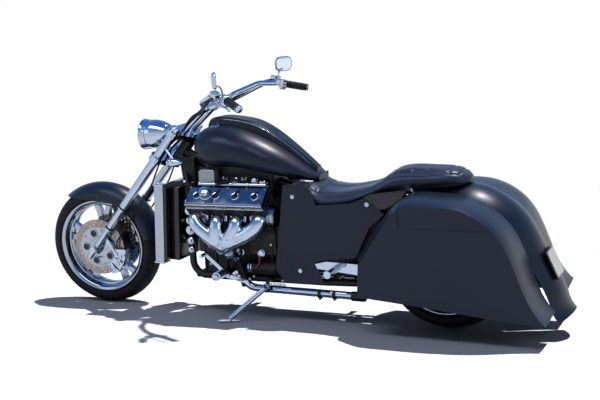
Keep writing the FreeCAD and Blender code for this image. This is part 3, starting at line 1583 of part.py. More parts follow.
def make_front_drive():
    """Crank, pump and idler pulleys on the front of the block with the belt round them."""
    places = [
        (0.0, d.crank_height, d.pulley_big_radius),
        (-d.block_half_width * 0.62, d.crank_height + d.bank_height * 0.52, d.pulley_small_radius),
        (d.block_half_width * 0.55, d.crank_height + d.bank_height * 0.5, d.pulley_small_radius),
    ]
    parts = [box_at(V(d.engine_front, -d.pan_half_width, d.crank_height - d.head_height * 0.5),
                    V(d.engine_front + d.belt_width * 0.4, d.pan_half_width, d.crank_height + d.bank_height * 0.52))]
    for side, up, radius in places:
        at = V(d.engine_front, side, up)
        parts.append(Part.makeCylinder(radius * 0.4, d.belt_width * 1.3, at, X_AXIS))
        parts.append(Part.makeCylinder(radius, d.belt_width * 0.8, at.add(V(d.belt_width * 0.6, 0, 0)), X_AXIS))
    return joined(parts)


def make_alternator():
    """A finned round unit behind the left bank."""
    at = V(ENGINE_REAR + d.alternator_length * 0.3, d.block_half_width + d.alternator_radius * 0.55,
           d.crank_height + d.bank_height * 0.46)
    start = at.sub(V(d.alternator_length * 0.62, 0, 0))
    parts = [Part.makeCylinder(d.alternator_radius * 0.86, d.alternator_length, start, X_AXIS)]
    for share in (0.05, 0.25, 0.45, 0.65, 0.85):
        parts.append(Part.makeCylinder(d.alternator_radius, d.alternator_length * 0.1,
                                       start.add(V(d.alternator_length * share, 0, 0)), X_AXIS))
    foot = box_at(V(start.x, d.pan_half_width, at.z - d.alternator_radius * 0.3),
                  V(start.x + d.alternator_length * 0.4, at.y, at.z + d.alternator_radius * 0.3))
    whole = joined(parts + [foot])
    for label in ("engine_block", "header_left", "gearbox"):
        whole = whole.cut(nodes[label][0].Shape)
    return largest(whole)


# Cooling


def make_radiator():
    """A finned core between two polished end tanks, tilted a little."""
    half = d.radiator_half_width
    wide = d.radiator_tank_width
    core = box_at(V(-d.radiator_depth * 0.8, -half + wide, d.radiator_tank_width * 0.2),
                  V(-d.radiator_depth * 0.2, half - wide, d.radiator_height - d.radiator_tank_width * 0.2))
    tanks = []
    for side in (-1, 1):
        low = V(-d.radiator_depth, min(side * half, side * (half - wide)), 0)
        tank = box_at(low, low.add(V(d.radiator_depth, wide, d.radiator_height)))
        tanks.append(eased(tank, d.radiator_depth * 0.12, lambda edge: abs(edge.tangentAt(edge.FirstParameter).z) > 0.9))
    whole = joined([core] + tanks)
    whole.Placement = FreeCAD.Placement(V(d.radiator_front, 0, d.radiator_bottom),
                                        FreeCAD.Rotation(Y_AXIS, -d.radiator_tilt_angle))
    return whole


def make_shroud():
    """A black fan shroud behind the core, open round the fan."""
    half = d.radiator_half_width - d.radiator_tank_width
    block = box_at(V(-d.radiator_depth - d.shroud_depth, -half, d.radiator_tank_width * 0.3),
                   V(-d.radiator_depth, half, d.radiator_height - d.radiator_tank_width * 0.3))
    hole = Part.makeCylinder(half * 0.82, d.shroud_depth * 2,
                             V(-d.radiator_depth - d.shroud_depth * 1.5, 0, d.radiator_height * 0.5), X_AXIS)
    block = block.cut(hole)
    hub = Part.makeCylinder(half * 0.24, d.shroud_depth * 0.5,
                            V(-d.radiator_depth - d.shroud_depth * 0.7, 0, d.radiator_height * 0.5), X_AXIS)
    parts = [block, hub]
    for turn in (0, 60, 120):
        angle = math.radians(turn)
        bar = box_at(V(-d.radiator_depth - d.shroud_depth * 0.6, -half * 0.9, -d.rim_lip),
                     V(-d.radiator_depth - d.shroud_depth * 0.45, half * 0.9, d.rim_lip))
        bar.Placement = FreeCAD.Placement(V(0, 0, d.radiator_height * 0.5), FreeCAD.Rotation(X_AXIS, math.degrees(angle)))
        parts.append(bar)
    rear = -d.radiator_depth - d.shroud_depth
    for side in (-1, 1):
        for share in LUG_SHARES:
            low = V(rear - d.tube_radius * 2, side * d.rail_half_width * 0.95 - d.tube_radius * 0.6,
                    d.radiator_height * share)
            parts.append(box_at(low, low.add(V(d.tube_radius * 3, d.tube_radius * 1.2, d.tube_radius))))
    whole = joined(parts)
    whole.Placement = FreeCAD.Placement(V(d.radiator_front, 0, d.radiator_bottom),
                                        FreeCAD.Rotation(Y_AXIS, -d.radiator_tilt_angle))
    return largest(seated(whole, nodes["main_frame"][0].Shape, X_AXIS))


LUG_SHARES = (0.24, 0.76)


def make_hoses():
    """The upper coolant hose on the left and the lower one on the right."""
    side = d.radiator_half_width - d.radiator_tank_width / 2
    rear = d.radiator_front - d.radiator_depth
    top = d.radiator_bottom + d.radiator_height
    upper = round_bar([
        V(rear - d.hose_radius * 0.2, side, top - d.hose_radius * 1.9),
        V(rear - d.shroud_depth, side, top - d.hose_radius * 0.1),
        V(d.engine_front + d.hose_radius * 2.4, side - d.hose_radius * 1.2, top + d.hose_radius * 0.3),
        V(d.engine_front + d.hose_radius * 0.7, side - d.hose_radius * 2, d.header_top + d.hose_radius * 4),
        V(d.engine_front - d.hose_radius, side - d.hose_radius * 2, d.header_top + d.hose_radius * 2),
    ], d.hose_radius, d.hose_radius * 2.6)
    lower = round_bar([
        V(rear + d.hose_radius * 0.8, -side, d.radiator_bottom + d.hose_radius * 2.8),
        V(rear - d.shroud_depth, -side, d.radiator_bottom + d.hose_radius * 2.6),
        V(d.engine_front + d.hose_radius * 3.6, -side + d.hose_radius, d.radiator_bottom + d.hose_radius * 4),
        V(d.engine_front - d.hose_radius, -side + d.hose_radius * 2.2, d.crank_height - d.hose_radius * 1.5),
    ], d.hose_radius, d.hose_radius * 2.6)
    hoses = []
    for hose in (upper, lower):
        for label in ("radiator", "engine_block"):
            hose = hose.cut(nodes[label][0].Shape)
        hoses.append(largest(hose))
    return Part.makeCompound(hoses)


# Frame


def make_frame():
    """Backbone, head tube, front posts, lower rails and seat rails."""
    head_low = on_fork(d.clamp_low_at + d.clamp_thickness / 2 + d.fit_clear, ahead=-d.steer_offset)
    head_length = d.clamp_top_at - d.clamp_low_at - d.clamp_thickness - 2 * d.fit_clear
    head = Part.makeCylinder(d.head_radius, head_length, head_low, UP_FORK)
    middle = head_low.add(V(UP_FORK).multiply(head_length * 0.5))
    back_end = V(d.seat_front - d.seat_length * 0.12, 0, d.seat_rail_height)
    spine = round_bar([
        middle,
        V(d.tank_front - d.tank_length * 0.12, 0, d.tank_top - d.tank_depth * 0.9),
        V(d.tank_front - d.tank_length * 0.56, 0, d.tank_top - d.tank_depth * 1.0),
        V(d.tank_front - d.tank_length * 0.84, 0, d.tank_top - d.tank_depth * 1.2),
        back_end,
    ], d.backbone_radius, d.head_radius * 6)
    low = d.rail_height
    tilt = d.radiator_height * math.sin(math.radians(d.radiator_tilt_angle))
    front_x = d.radiator_front - d.radiator_depth - d.shroud_depth - d.tube_radius * 1.4 - tilt
    parts = [head, spine]
    for side in (-1, 1):
        y = side * d.rail_half_width
        parts.append(round_bar([
            head_low.add(V(UP_FORK).multiply(head_length * 0.34)),
            V(front_x, y * 0.9, d.radiator_bottom + d.radiator_height * 0.96),
            V(front_x - d.tube_radius * 0.5, y, low),
            V(d.arm_pivot + d.tube_radius * 8, y, low),
            V(d.arm_pivot - d.tube_radius * 4, side * d.post_side, low),
            V(d.arm_pivot - d.tube_radius * 6, side * d.post_side, d.seat_rail_height),
            V(back_end.x + d.tube_radius * 3, side * d.post_side, d.seat_rail_height),
            V(back_end.x + d.tube_radius * 12, 0, d.seat_rail_height + d.tube_radius * 2),
        ], d.tube_radius, d.tube_radius * 4.2))
        parts.append(round_bar([
            V(d.arm_pivot - d.tube_radius * 5.4, side * d.post_side, d.seat_rail_height - d.tube_radius * 3),
            V(d.arm_pivot - d.tube_radius * 14, y, d.tail_height * 0.99 - d.tail_drop * 1.4),
            V(-d.tail_length * 0.14, y, d.tail_height - d.tail_drop * 1.25),
        ], d.tube_radius * 0.8, d.tube_radius * 5))
        pivot = V(d.arm_pivot, side * d.post_side, d.rail_height + d.arm_height * 1.6)
        reach = d.arm_height * 0.9
        ear = box_at(V(d.arm_pivot - d.tube_radius * 5.4, pivot.y - d.ear_wall / 2, pivot.z - reach),
                     V(d.arm_pivot, pivot.y + d.ear_wall / 2, pivot.z + reach))
        tip = Part.makeCylinder(reach, d.ear_wall, pivot.sub(V(0, d.ear_wall / 2, 0)), Y_AXIS)
        eye = Part.makeCylinder(d.arm_height * 0.42 + d.seat_clear, d.ear_wall * 3,
                                pivot.sub(V(0, d.ear_wall * 1.5, 0)), Y_AXIS)
        parts.append(joined([ear, tip]).cut(eye))
        for at in (V(d.arm_pivot - d.tube_radius * 14, 0, d.tail_height * 0.99 - d.tail_drop * 1.4),
                   V(-d.tail_length * 0.14, 0, d.tail_height - d.tail_drop * 1.25)):
            stub = d.bag_inner - d.seat_clear - d.rail_half_width
            start = d.rail_half_width if side > 0 else -d.bag_inner + d.seat_clear
            parts.append(Part.makeCylinder(d.tube_radius * 0.6, stub, V(at.x, start, at.z), Y_AXIS))
    for x in (front_x - d.tube_radius, d.engine_front - d.engine_length * 1.05, d.arm_pivot + d.tube_radius * 8):
        parts.append(Part.makeCylinder(d.tube_radius * 0.8, 2 * d.rail_half_width,
                                       V(x - d.tube_radius, -d.rail_half_width, low), Y_AXIS))
    frame = joined(parts)
    bore = Part.makeCylinder(d.stem_radius + d.running_clear, head_length * 3,
                             head_low.sub(V(UP_FORK).multiply(head_length)), UP_FORK)
    return frame.cut(bore)


def make_gearbox():
    """Bell housing and gearbox behind the engine, as one heavy piece."""
    front = ENGINE_REAR - d.fit_clear
    half = d.gearbox_width / 2
    bell = Part.makeLoft([
        Part.makePolygon([V(x, side * half * wide, d.crank_height + up * d.gearbox_height * wide)
                          for side, up in ((1, -0.5), (1, 0.3), (0.5, 0.5), (-0.5, 0.5), (-1, 0.3), (-1, -0.5),
                                           (1, -0.5))])
        for x, wide in ((front, 1.0), (front - d.gearbox_length * 0.35, 0.74), (front - d.gearbox_length, 0.66))
    ], True, True)
    return bell


def make_swingarm():
    """Two side arms from the pivot to the rear axle with a cross tube."""
    parts = []
    for side in (-1, 1):
        low = min(side * d.arm_inner, side * (d.arm_inner + d.arm_wall))
        corners = [V(-d.arm_height * 0.7, 0, REAR_AXLE.z - d.arm_height / 2),
                   V(-d.arm_height * 0.7, 0, REAR_AXLE.z + d.arm_height / 2),
                   V(d.arm_pivot + d.arm_height / 2, 0, d.rail_height + d.arm_height * 2.2),
                   V(d.arm_pivot + d.arm_height / 2, 0, d.rail_height + d.arm_height * 1.0)]
        arm = plate_of(corners, low, d.arm_wall)
        parts.append(arm)
    cross = Part.makeCylinder(d.arm_height * 0.42, 2 * d.arm_inner + d.arm_wall,
                              V(d.arm_pivot, -d.arm_inner - d.arm_wall / 2, d.rail_height + d.arm_height * 1.6), Y_AXIS)
    arm = joined(parts + [cross])
    return arm.cut(Part.makeCylinder(d.axle_radius, 4 * d.arm_inner,
                                     REAR_AXLE.sub(V(0, 2 * d.arm_inner, 0)), Y_AXIS))


CALIPER_REAR_TURN = 82


def make_rear_caliper():
    """A caliper over the rear rotor, held by a plate on the left arm."""
    side = d.rear_hub_length / 2 + d.carrier_thickness / 2
    width = 2 * (d.arm_inner - side) - 2 * d.rim_lip
    block = caliper_shape(side, REAR_AXLE, width, CALIPER_REAR_TURN)
    centre = block.CenterOfMass
    corners = [V(centre.x - d.leg_mid_radius, 0, centre.z), V(centre.x + d.leg_mid_radius, 0, centre.z),
               V(centre.x + d.leg_mid_radius, 0, REAR_AXLE.z - d.arm_height * 0.1),
               V(centre.x - d.leg_mid_radius, 0, REAR_AXLE.z - d.arm_height * 0.1)]
    start = side + width / 2 - d.fit_clear
    plate = plate_of(corners, start, d.arm_inner + d.arm_wall / 2 - start)
    return largest(joined([block, plate]).cut(nodes["swingarm"][0].Shape))


# Pegs, levers and stand


def make_rider_controls():
    """A peg on its bracket with a flat shift lever and its link."""
    at = V(d.peg_at, d.peg_side, d.peg_height)
    wall = d.lever_bar_thickness
    peg = Part.makeCylinder(d.peg_radius, d.peg_length, at, Y_AXIS)
    collar = Part.makeCylinder(d.peg_radius * 1.15, wall * 3, at, Y_AXIS)
    arm = box_at(V(at.x - d.peg_radius, d.rail_half_width, at.z - d.peg_radius),
                 V(at.x + d.peg_radius, at.y + wall, at.z + d.peg_radius * 0.6))
    foot = box_at(V(at.x - d.peg_radius, d.rail_half_width - d.tube_radius * 0.6, d.rail_height),
                  V(at.x + d.peg_radius, d.rail_half_width + d.tube_radius, at.z))
    lever = plate_of([V(at.x - wall * 2, 0, at.z - wall * 3.4), V(at.x + wall * 13, 0, at.z + wall * 9.6),
                      V(at.x + wall * 12, 0, at.z + wall * 11.4), V(at.x - wall * 3, 0, at.z - wall * 1.2)],
                     at.y + wall * 1.5, wall)
    toe = Part.makeCylinder(d.peg_radius * 0.55, wall * 6, V(at.x + wall * 12.2, at.y + wall * 1.5, at.z + wall * 10), Y_AXIS)
    link = plate_of([V(at.x - wall * 15, 0, at.z - wall * 7), V(at.x, 0, at.z - wall * 3.6),
                     V(at.x, 0, at.z - wall * 1.2), V(at.x - wall * 14, 0, at.z - wall * 4.6)],
                    at.y - wall * 0.2, wall)
    pin = Part.makeCylinder(wall * 0.7, wall * 3, V(at.x - wall, at.y - wall, at.z - wall * 2.4), Y_AXIS)
    whole = seated(joined([peg, collar, arm, foot, lever, toe, link, pin]), nodes["main_frame"][0].Shape, Z_AXIS)
    for label in ("exhaust_left", "engine_block"):
        whole = whole.cut(nodes[label][0].Shape)
    return largest(whole)


def make_rear_peg():
    """A plain plate behind the side cover with a round folding peg."""
    side = d.cover_face - d.cover_step + d.fit_clear
    half = d.rear_plate_height / 2
    at = V(d.rear_peg_at, side, d.rear_peg_height)
    corners = [V(at.x + d.rear_plate_length * 0.47, 0, at.z + half * 0.7),
               V(at.x + d.rear_plate_length * 0.2, 0, at.z + half * 1.2),
               V(at.x - d.rear_plate_length * 0.53, 0, at.z + half),
               V(at.x - d.rear_plate_length * 0.50, 0, at.z - half * 0.8),
               V(at.x - d.rear_plate_length * 0.1, 0, at.z - half * 0.5),
               V(at.x + d.rear_plate_length * 0.42, 0, at.z - half * 0.1)]
    plate = plate_of(corners, side, d.rear_plate_wall)
    peg = Part.makeCylinder(d.peg_radius, d.peg_length * 0.9, at, Y_AXIS)
    cap = Part.makeCylinder(d.peg_radius * 1.12, d.peg_radius * 0.6, at.add(V(0, d.peg_length * 0.9, 0)), Y_AXIS)
    stay = Part.makeCylinder(d.peg_radius * 0.8, side - d.arm_inner - d.arm_wall - d.seat_clear,
                             V(at.x - d.rear_plate_length * 0.3, d.arm_inner + d.arm_wall + d.seat_clear, at.z), Y_AXIS)
    return joined([plate, peg, cap, stay])


STAND_FOLD_SHARES = (-0.97, 0.12, -0.21)


def stand_axis():
    """The stand's pivot, its foot on the floor, and the hinge direction."""
    pivot = V(d.stand_pivot_at, d.stand_pivot_side, d.stand_pivot_height)
    foot = V(d.stand_foot_at, d.stand_foot_side, floor_height(d.stand_foot_side))
    down = foot.sub(pivot).normalize()
    folded = V(*STAND_FOLD_SHARES).normalize()
    return pivot, foot, down.cross(folded).normalize()


def floor_height(side):
    """Height of the floor in the upright frame below a point to the side, when leaning."""
    drop = d.rear_crown_radius * (1 - math.cos(LEAN))
    return (side * math.sin(LEAN) - drop) / math.cos(LEAN)


def make_side_stand():
    """A round chrome leg from its pivot to a flat foot that lies on the floor."""
    pivot, foot, hinge = stand_axis()
    up = V(0, -math.sin(LEAN), math.cos(LEAN))
    top = foot.add(V(up).multiply(d.stand_foot_thickness + d.stand_radius * 0.6))
    leg = Part.makeCylinder(d.stand_radius, top.sub(pivot).Length, pivot, top.sub(pivot))
    ahead = top.sub(pivot)
    ahead = ahead.sub(V(up).multiply(ahead.dot(up))).normalize()
    across = up.cross(ahead)
    half_length = d.stand_foot_length / 2
    half_width = d.stand_foot_width / 2
    corners = [foot.add(V(ahead).multiply(half_length * along)).add(V(across).multiply(half_width * wide))
               for along, wide in FOOT_SHARES]
    plate = Part.Face(Part.makePolygon(corners + [corners[0]])).extrude(V(up).multiply(d.stand_foot_thickness))
    half = d.stand_radius * KNUCKLE_SHARE
    knuckle = Part.makeCylinder(d.stand_radius * 1.5, 2 * half, pivot.sub(V(hinge).multiply(half)), hinge)
    whole = joined([leg, plate, knuckle])
    reach = d.stand_foot_at
    floor = box_at(V(-reach, -reach, -reach), V(reach, reach, 0))
    floor.Placement = FreeCAD.Placement(foot, FreeCAD.Rotation(Z_AXIS, up))
    whole = whole.cut(floor)
    inner = box_at(V(-reach, -reach, -reach), V(reach, reach, 0))
    inner.Placement = FreeCAD.Placement(pivot.sub(V(hinge).multiply(half)), FreeCAD.Rotation(Z_AXIS, hinge))
    whole = whole.cut(inner)
    bore = Part.makeCylinder(d.stand_radius * BOLT_SHARE, d.stand_radius * 6,
                             pivot.sub(V(hinge).multiply(d.stand_radius * 3)), hinge)
    return largest(whole.cut(bore))


FOOT_SHARES = ((-1, -0.7), (0.7, -1), (1, -0.6), (1, 0.6), (0.7, 1), (-1, 0.7))
KNUCKLE_SHARE = 0.8
BOLT_SHARE = 0.7


def make_stand_bracket():
    """An ear with the stand's pivot bolt, held by an arm from the lower rail."""
    pivot, foot, hinge = stand_axis()
    half = d.stand_radius * KNUCKLE_SHARE
    seat = pivot.sub(V(hinge).multiply(half + d.fit_clear))
    ear = Part.makeCylinder(d.stand_radius * 1.6, d.stand_radius * 0.7,
                            seat.sub(V(hinge).multiply(d.stand_radius * 0.7)), hinge)
    root = V(pivot.x, d.rail_half_width, d.rail_height + d.tube_radius * 0.3)
    over = V(pivot.x, d.exhaust_side + d.exhaust_radius, d.exhaust_height + d.exhaust_radius * 2 + d.stand_radius)
    end = seat.sub(V(hinge).multiply(d.stand_radius * 0.4))
    arm = round_bar([root, over, end], d.stand_radius * 0.9, d.stand_radius)
    bolt = Part.makeCylinder(d.stand_radius * BOLT_SHARE - d.running_clear, 2 * half + d.stand_radius,
                             seat.sub(V(hinge).multiply(d.stand_radius * 0.4)), hinge)
    outer = box_at(V(-d.stand_foot_at, -d.stand_foot_at, 0), V(d.stand_foot_at, d.stand_foot_at, d.stand_foot_at))
    outer.Placement = FreeCAD.Placement(seat, FreeCAD.Rotation(Z_AXIS, hinge))
    arm = arm.cut(outer)
    return largest(joined([ear, arm, bolt]).cut(nodes["main_frame"][0].Shape))


# Assembly


def build_all():
    """Make every sub-part in its group."""
    for end in ("front", "rear"):
        make_tyre(end, f"{end}_wheel")
        make_rim(end, f"{end}_wheel")
    make_front_rotors()
    make_rear_drive()
    make_axle("front_axle", FRONT_AXLE, d.leg_spacing / 2 + d.leg_mid_radius + d.axle_nut_length, "steer")
    make_axle("rear_axle", REAR_AXLE, d.arm_inner + d.arm_wall + d.axle_nut_length, "chassis")
    make_fork_legs()
    make_triple_clamps()
    make_cockpit()
    make_headlight()
    make_front_signals()
    make_front_fender()
    make_front_calipers()
    make_brake_lines()
    feature("main_frame", make_frame(), "chassis")
    feature("engine_block", make_engine_block().cut(nodes["main_frame"][0].Shape), "chassis")
    cover = make_valve_cover()
    feature("valve_cover_left", cover, "chassis")
    feature("valve_cover_right", flip_y(cover), "chassis")
    feature("intake_manifold", make_intake(), "chassis")
    header, outlet = make_header()
    feature("header_left", header, "chassis")
    feature("header_right", flip_y(header), "chassis")
    exhaust = make_exhaust_pipe(outlet).cut(header)
    feature("exhaust_left", exhaust, "chassis")
    feature("exhaust_right", flip_y(exhaust), "chassis")
    feature("front_drive", make_front_drive(), "chassis")
    feature("gearbox", make_gearbox().cut(nodes["main_frame"][0].Shape), "chassis")
    feature("alternator", make_alternator(), "chassis")
    feature("radiator", make_radiator(), "chassis")
    feature("radiator_shroud", make_shroud(), "chassis")
    feature("radiator_hoses", make_hoses(), "chassis")
    tank = make_tank()
    frame_shape = nodes["main_frame"][0].Shape
    feature("fuel_tank", solid_of(tank.cut(frame_shape)), "chassis")
    feature("air_box", make_air_box(frame_shape, tank), "chassis")
    console = make_console().cut(tank)
    feature("tank_console", max(console.Solids, key=lambda solid: solid.CenterOfMass.z), "chassis")
    fender = make_rear_fender().cut(frame_shape)
    feature("rear_fender", largest(fender), "chassis")
    feature("license_plate", make_plate(), "chassis")
    seat = make_seat().cut(frame_shape).cut(fender).cut(tank).cut(console)
    feature("seat", largest(seat), "chassis")
    cover = make_side_cover().cut(seat).cut(tank)
    cover = largest(cover)
    feature("side_cover_left", cover, "chassis")
    feature("side_cover_right", flip_y(cover), "chassis")
    tub, lid = make_bag_and_lid()
    feature("saddlebag_left", tub.cut(cover), "chassis")
    feature("saddlebag_right", flip_y(tub.cut(cover)), "chassis")
    feature("lid_left", lid, "lid_left")
    feature("lid_right", flip_y(lid), "lid_right")
    pod = make_pod().cut(tub).cut(lid).cut(seat).cut(cover)
    pod = largest(pod)
    feature("seat_pods", Part.makeCompound([pod, flip_y(pod)]), "chassis")
    feature("swingarm", make_swingarm(), "chassis")
    feature("rear_caliper", make_rear_caliper(), "chassis")
    rider = make_rider_controls()
    feature("rider_controls_left", rider, "chassis")
    feature("rider_controls_right", flip_y(rider), "chassis")
    peg = make_rear_peg()
    feature("rear_pegs", Part.makeCompound([peg, flip_y(peg)]), "chassis")
    feature("stand_bracket", make_stand_bracket(), "chassis")
    feature("side_stand", make_side_stand(), "stand")


def group_places():
    """The placement of each group: lean, then the fork's turn, then the shift to the floor."""
    lean = FreeCAD.Placement(HERE, LEAN_TURN)
    centre = lean.multVec(REAR_AXLE)
    normal = LEAN_TURN.multVec(Y_AXIS)
    rise = wheel_drop(normal, d.rear_tyre_radius, d.rear_crown_radius) - centre.z
    chassis = FreeCAD.Placement(V(0, 0, rise), LEAN_TURN)
    about = FreeCAD.Placement(STEER_POINT.sub(FORK_TURN.multVec(STEER_POINT)), FORK_TURN)
    steer = chassis.multiply(about)
    return {"chassis": chassis, "steer": steer}


def place_and_check():
    """Recompute, check every object, put each node in its place and write its file."""
    doc.recompute()
    for thing in doc.Objects:
        if "Invalid" in thing.State or "Error" in thing.State:
            raise RuntimeError(f"{thing.Label} failed: {thing.State}")
    places = group_places()
    steered = ("steer", "front_wheel")
    shapes = {}
    low = V(math.inf, math.inf, math.inf)
    high = V(-math.inf, -math.inf, -math.inf)
    for label, (thing, group) in nodes.items():
        place = places["steer" if group in steered else "chassis"]
        thing.Placement = place.multiply(thing.Placement)
        shape = thing.Shape
        if shape.isNull() or not shape.isValid() or not shape.Solids:
            raise RuntimeError(f"{label} is not a valid solid")
        box = shape.optimalBoundingBox(False)
        low = V(min(low.x, box.XMin), min(low.y, box.YMin), min(low.z, box.ZMin))
        high = V(max(high.x, box.XMax), max(high.y, box.YMax), max(high.z, box.ZMax))
    shift = FreeCAD.Placement(V(-(low.x + high.x) / 2, -(low.y + high.y) / 2, -low.z), FreeCAD.Rotation())
    for label, (thing, group) in nodes.items():
        thing.Placement = shift.multiply(thing.Placement)
        thing.Shape.exportStep(f"parts/{label}.step")
    print("size", tuple(high.sub(low)))
    print("shift", tuple(shift.Base))
    chassis = shift.multiply(places["chassis"])
    steer = shift.multiply(places["steer"])
    pivot, foot, hinge = stand_axis()
    seam = V(0, d.bag_outer, d.lid_seam + d.lid_gap / 2)
    for name, place, point, along in (
            ("steering", chassis, STEER_POINT, UP_FORK),
            ("front_wheel", steer, FRONT_AXLE, Y_AXIS),
            ("rear_wheel", chassis, REAR_AXLE, Y_AXIS),
            ("stand", chassis, pivot, hinge),
            ("lid_left", chassis, seam, X_AXIS),
            ("lid_right", chassis, V(seam.x, -seam.y, seam.z), X_AXIS)):
        print("joint", name, tuple(place.multVec(point)), tuple(place.Rotation.multVec(along)))


build_all()
place_and_check()
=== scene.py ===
"""Dressed model of a long, low V8 cruiser motorcycle leaning on its side stand.

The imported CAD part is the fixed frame. Every new piece is modelled upright, with x forward from the rear
axle, y to the machine's left and z up, and is then laid over with the machine. Sizes are in millimetres,
and mm() turns a place given in them to a vector in metres.
"""

from __future__ import annotations

import logging
import math
from collections.abc import Callable, Sequence
from dataclasses import dataclass
from enum import Enum

import bmesh
import bpy
from mathutils import Matrix, Vector


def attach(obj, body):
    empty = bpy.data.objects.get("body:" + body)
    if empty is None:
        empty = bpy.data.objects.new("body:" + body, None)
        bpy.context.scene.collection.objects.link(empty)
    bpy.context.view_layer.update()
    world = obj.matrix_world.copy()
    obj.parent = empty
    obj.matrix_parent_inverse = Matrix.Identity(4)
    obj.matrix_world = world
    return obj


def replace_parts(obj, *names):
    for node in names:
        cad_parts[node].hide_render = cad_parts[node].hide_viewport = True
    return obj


LOG = logging.getLogger("cruiser")
MM = 0.001
Point = tuple[float, float, float]
Piece = bpy.types.Object
Tree = bpy.types.NodeTree
Node = bpy.types.Node
Socket = bpy.types.NodeSocket
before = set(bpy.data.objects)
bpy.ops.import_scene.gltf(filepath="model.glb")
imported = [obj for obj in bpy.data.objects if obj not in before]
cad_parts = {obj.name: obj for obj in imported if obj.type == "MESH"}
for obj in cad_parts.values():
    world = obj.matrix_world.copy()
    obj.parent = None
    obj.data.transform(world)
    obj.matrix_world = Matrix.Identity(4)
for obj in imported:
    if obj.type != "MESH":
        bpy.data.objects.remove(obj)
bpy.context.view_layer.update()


# How far a pressed face is drawn in, the gap that is welded, and what counts as smooth
DRAFT = 0.1
WELD = 0.02
SMOOTH_DEG = 35.0


# How the machine stands


class Body(Enum):
    """The moving bodies that new pieces ride on."""

    CHASSIS = "chassis"
    STEER = "steer"
    FRONT_WHEEL = "front_wheel"
    REAR_WHEEL = "rear_wheel"

    @property
    def on_fork(self) -> bool:
        """Whether the body turns with the steering."""
        return self in (Body.STEER, Body.FRONT_WHEEL)


@dataclass(frozen=True)
class Stance:
    """How the upright machine leans on its stand and where its fork points."""

    lean_deg: float = 7.25
    steer_deg: float = 2.5
    rake_deg: float = 40.8
    wheelbase: float = 2030.0 * MM
    front_axle_z: float = 341.571 * MM
    rear_axle_z: float = 332.0 * MM
    steer_offset: float = 60.0 * MM
    rise: float = 1.519 * MM
    shift: Point = (-879.90995 * MM, -126.11471 * MM, 0.0)

    @property
    def front_axle(self) -> Vector:
        """The front axle's middle with the fork straight."""
        return Vector((self.wheelbase, 0.0, self.front_axle_z))

    @property
    def rear_axle(self) -> Vector:
        """The rear axle's middle."""
        return Vector((0.0, 0.0, self.rear_axle_z))

    @property
    def up_fork(self) -> Vector:
        """The direction up the steering head."""
        rake = math.radians(self.rake_deg)
        return Vector((-math.sin(rake), 0.0, math.cos(rake)))

    @property
    def ahead_fork(self) -> Vector:
        """The direction square to the head, forward."""
        rake = math.radians(self.rake_deg)
        return Vector((math.cos(rake), 0.0, math.sin(rake)))

    def matrix(self, body: Body = Body.CHASSIS) -> Matrix:
        """The move from the upright machine to the row frame.

        Args:
            body: The body that the piece rides on.

        Returns:
            The matrix for that body's pieces.
        """
        lean = Matrix.Rotation(-math.radians(self.lean_deg), 4, "X")
        chassis = Matrix.Translation(Vector(self.shift) + Vector((0.0, 0.0, self.rise))) @ lean
        if not body.on_fork:
            return chassis
        pivot = self.front_axle - self.ahead_fork * self.steer_offset
        turn = Matrix.Rotation(math.radians(self.steer_deg), 4, self.up_fork)
        return chassis @ Matrix.Translation(pivot) @ turn @ Matrix.Translation(-pivot)

    def on_fork(self, along: float, ahead: float = 0.0, side: float = 0.0) -> Vector:
        """A point along the fork from the front axle.

        Args:
            along: Millimetres up the leg line.
            ahead: Millimetres forward, square to it.
            side: Millimetres to the left.

        Returns:
            The point on the upright machine.
        """
        reach = self.up_fork * along + self.ahead_fork * ahead + Vector((0.0, side, 0.0))
        return self.front_axle + reach * MM


STANCE = Stance()


# Material helpers

WAVES_PER_UNIT = 20.0


def linear(code: str) -> tuple[float, float, float, float]:
    """Turn an sRGB hex colour to the linear value that a shader socket takes.

    Args:
        code: Six hex digits with a leading hash.

    Returns:
        Linear red, green, blue and an alpha of 1.
    """
    parts = [int(code[i:i + 2], 16) / 255.0 for i in (1, 3, 5)]
    curve = [c / 12.92 if c <= 0.04045 else ((c + 0.055) / 1.055) ** 2.4 for c in parts]
    return curve[0], curve[1], curve[2], 1.0


def add_node(tree: Tree, kind: str, links: dict | None = None, sockets: dict | None = None,
             **settings) -> Node:
    """Add one shader node with its settings, socket values and incoming links.

    Args:
        tree: The node tree that gets it.
        kind: Blender's name of the node type.
        links: Input name or index to the output socket that feeds it.
        sockets: Input name or index to a fixed value.
        settings: Properties set on the node itself.

    Returns:
        The new node.
    """
    node = tree.nodes.new(kind)
    for name, value in settings.items():
        setattr(node, name, value)
    for name, value in (sockets or {}).items():
        node.inputs[name].default_value = value
    for name, source in (links or {}).items():
        tree.links.new(source, node.inputs[name])
    return node


def ramp(tree: Tree, source: Socket, stops: Sequence[tuple[float, str | float]]) -> Socket:
    """Add a colour ramp over a value.

    Args:
        tree: The node tree that gets it.
        source: The value that drives it.
        stops: Positions with a hex colour or a grey level.

    Returns:
        The ramp's colour output.
    """
    node = add_node(tree, "ShaderNodeValToRGB", {"Fac": source})
    elements = node.color_ramp.elements
    while len(elements) < len(stops):
        elements.new(0.5)
    for element, (place, tone) in zip(elements, stops):
        element.position = place
        element.color = linear(tone) if isinstance(tone, str) else (tone, tone, tone, 1.0)
    return node.outputs["Color"]


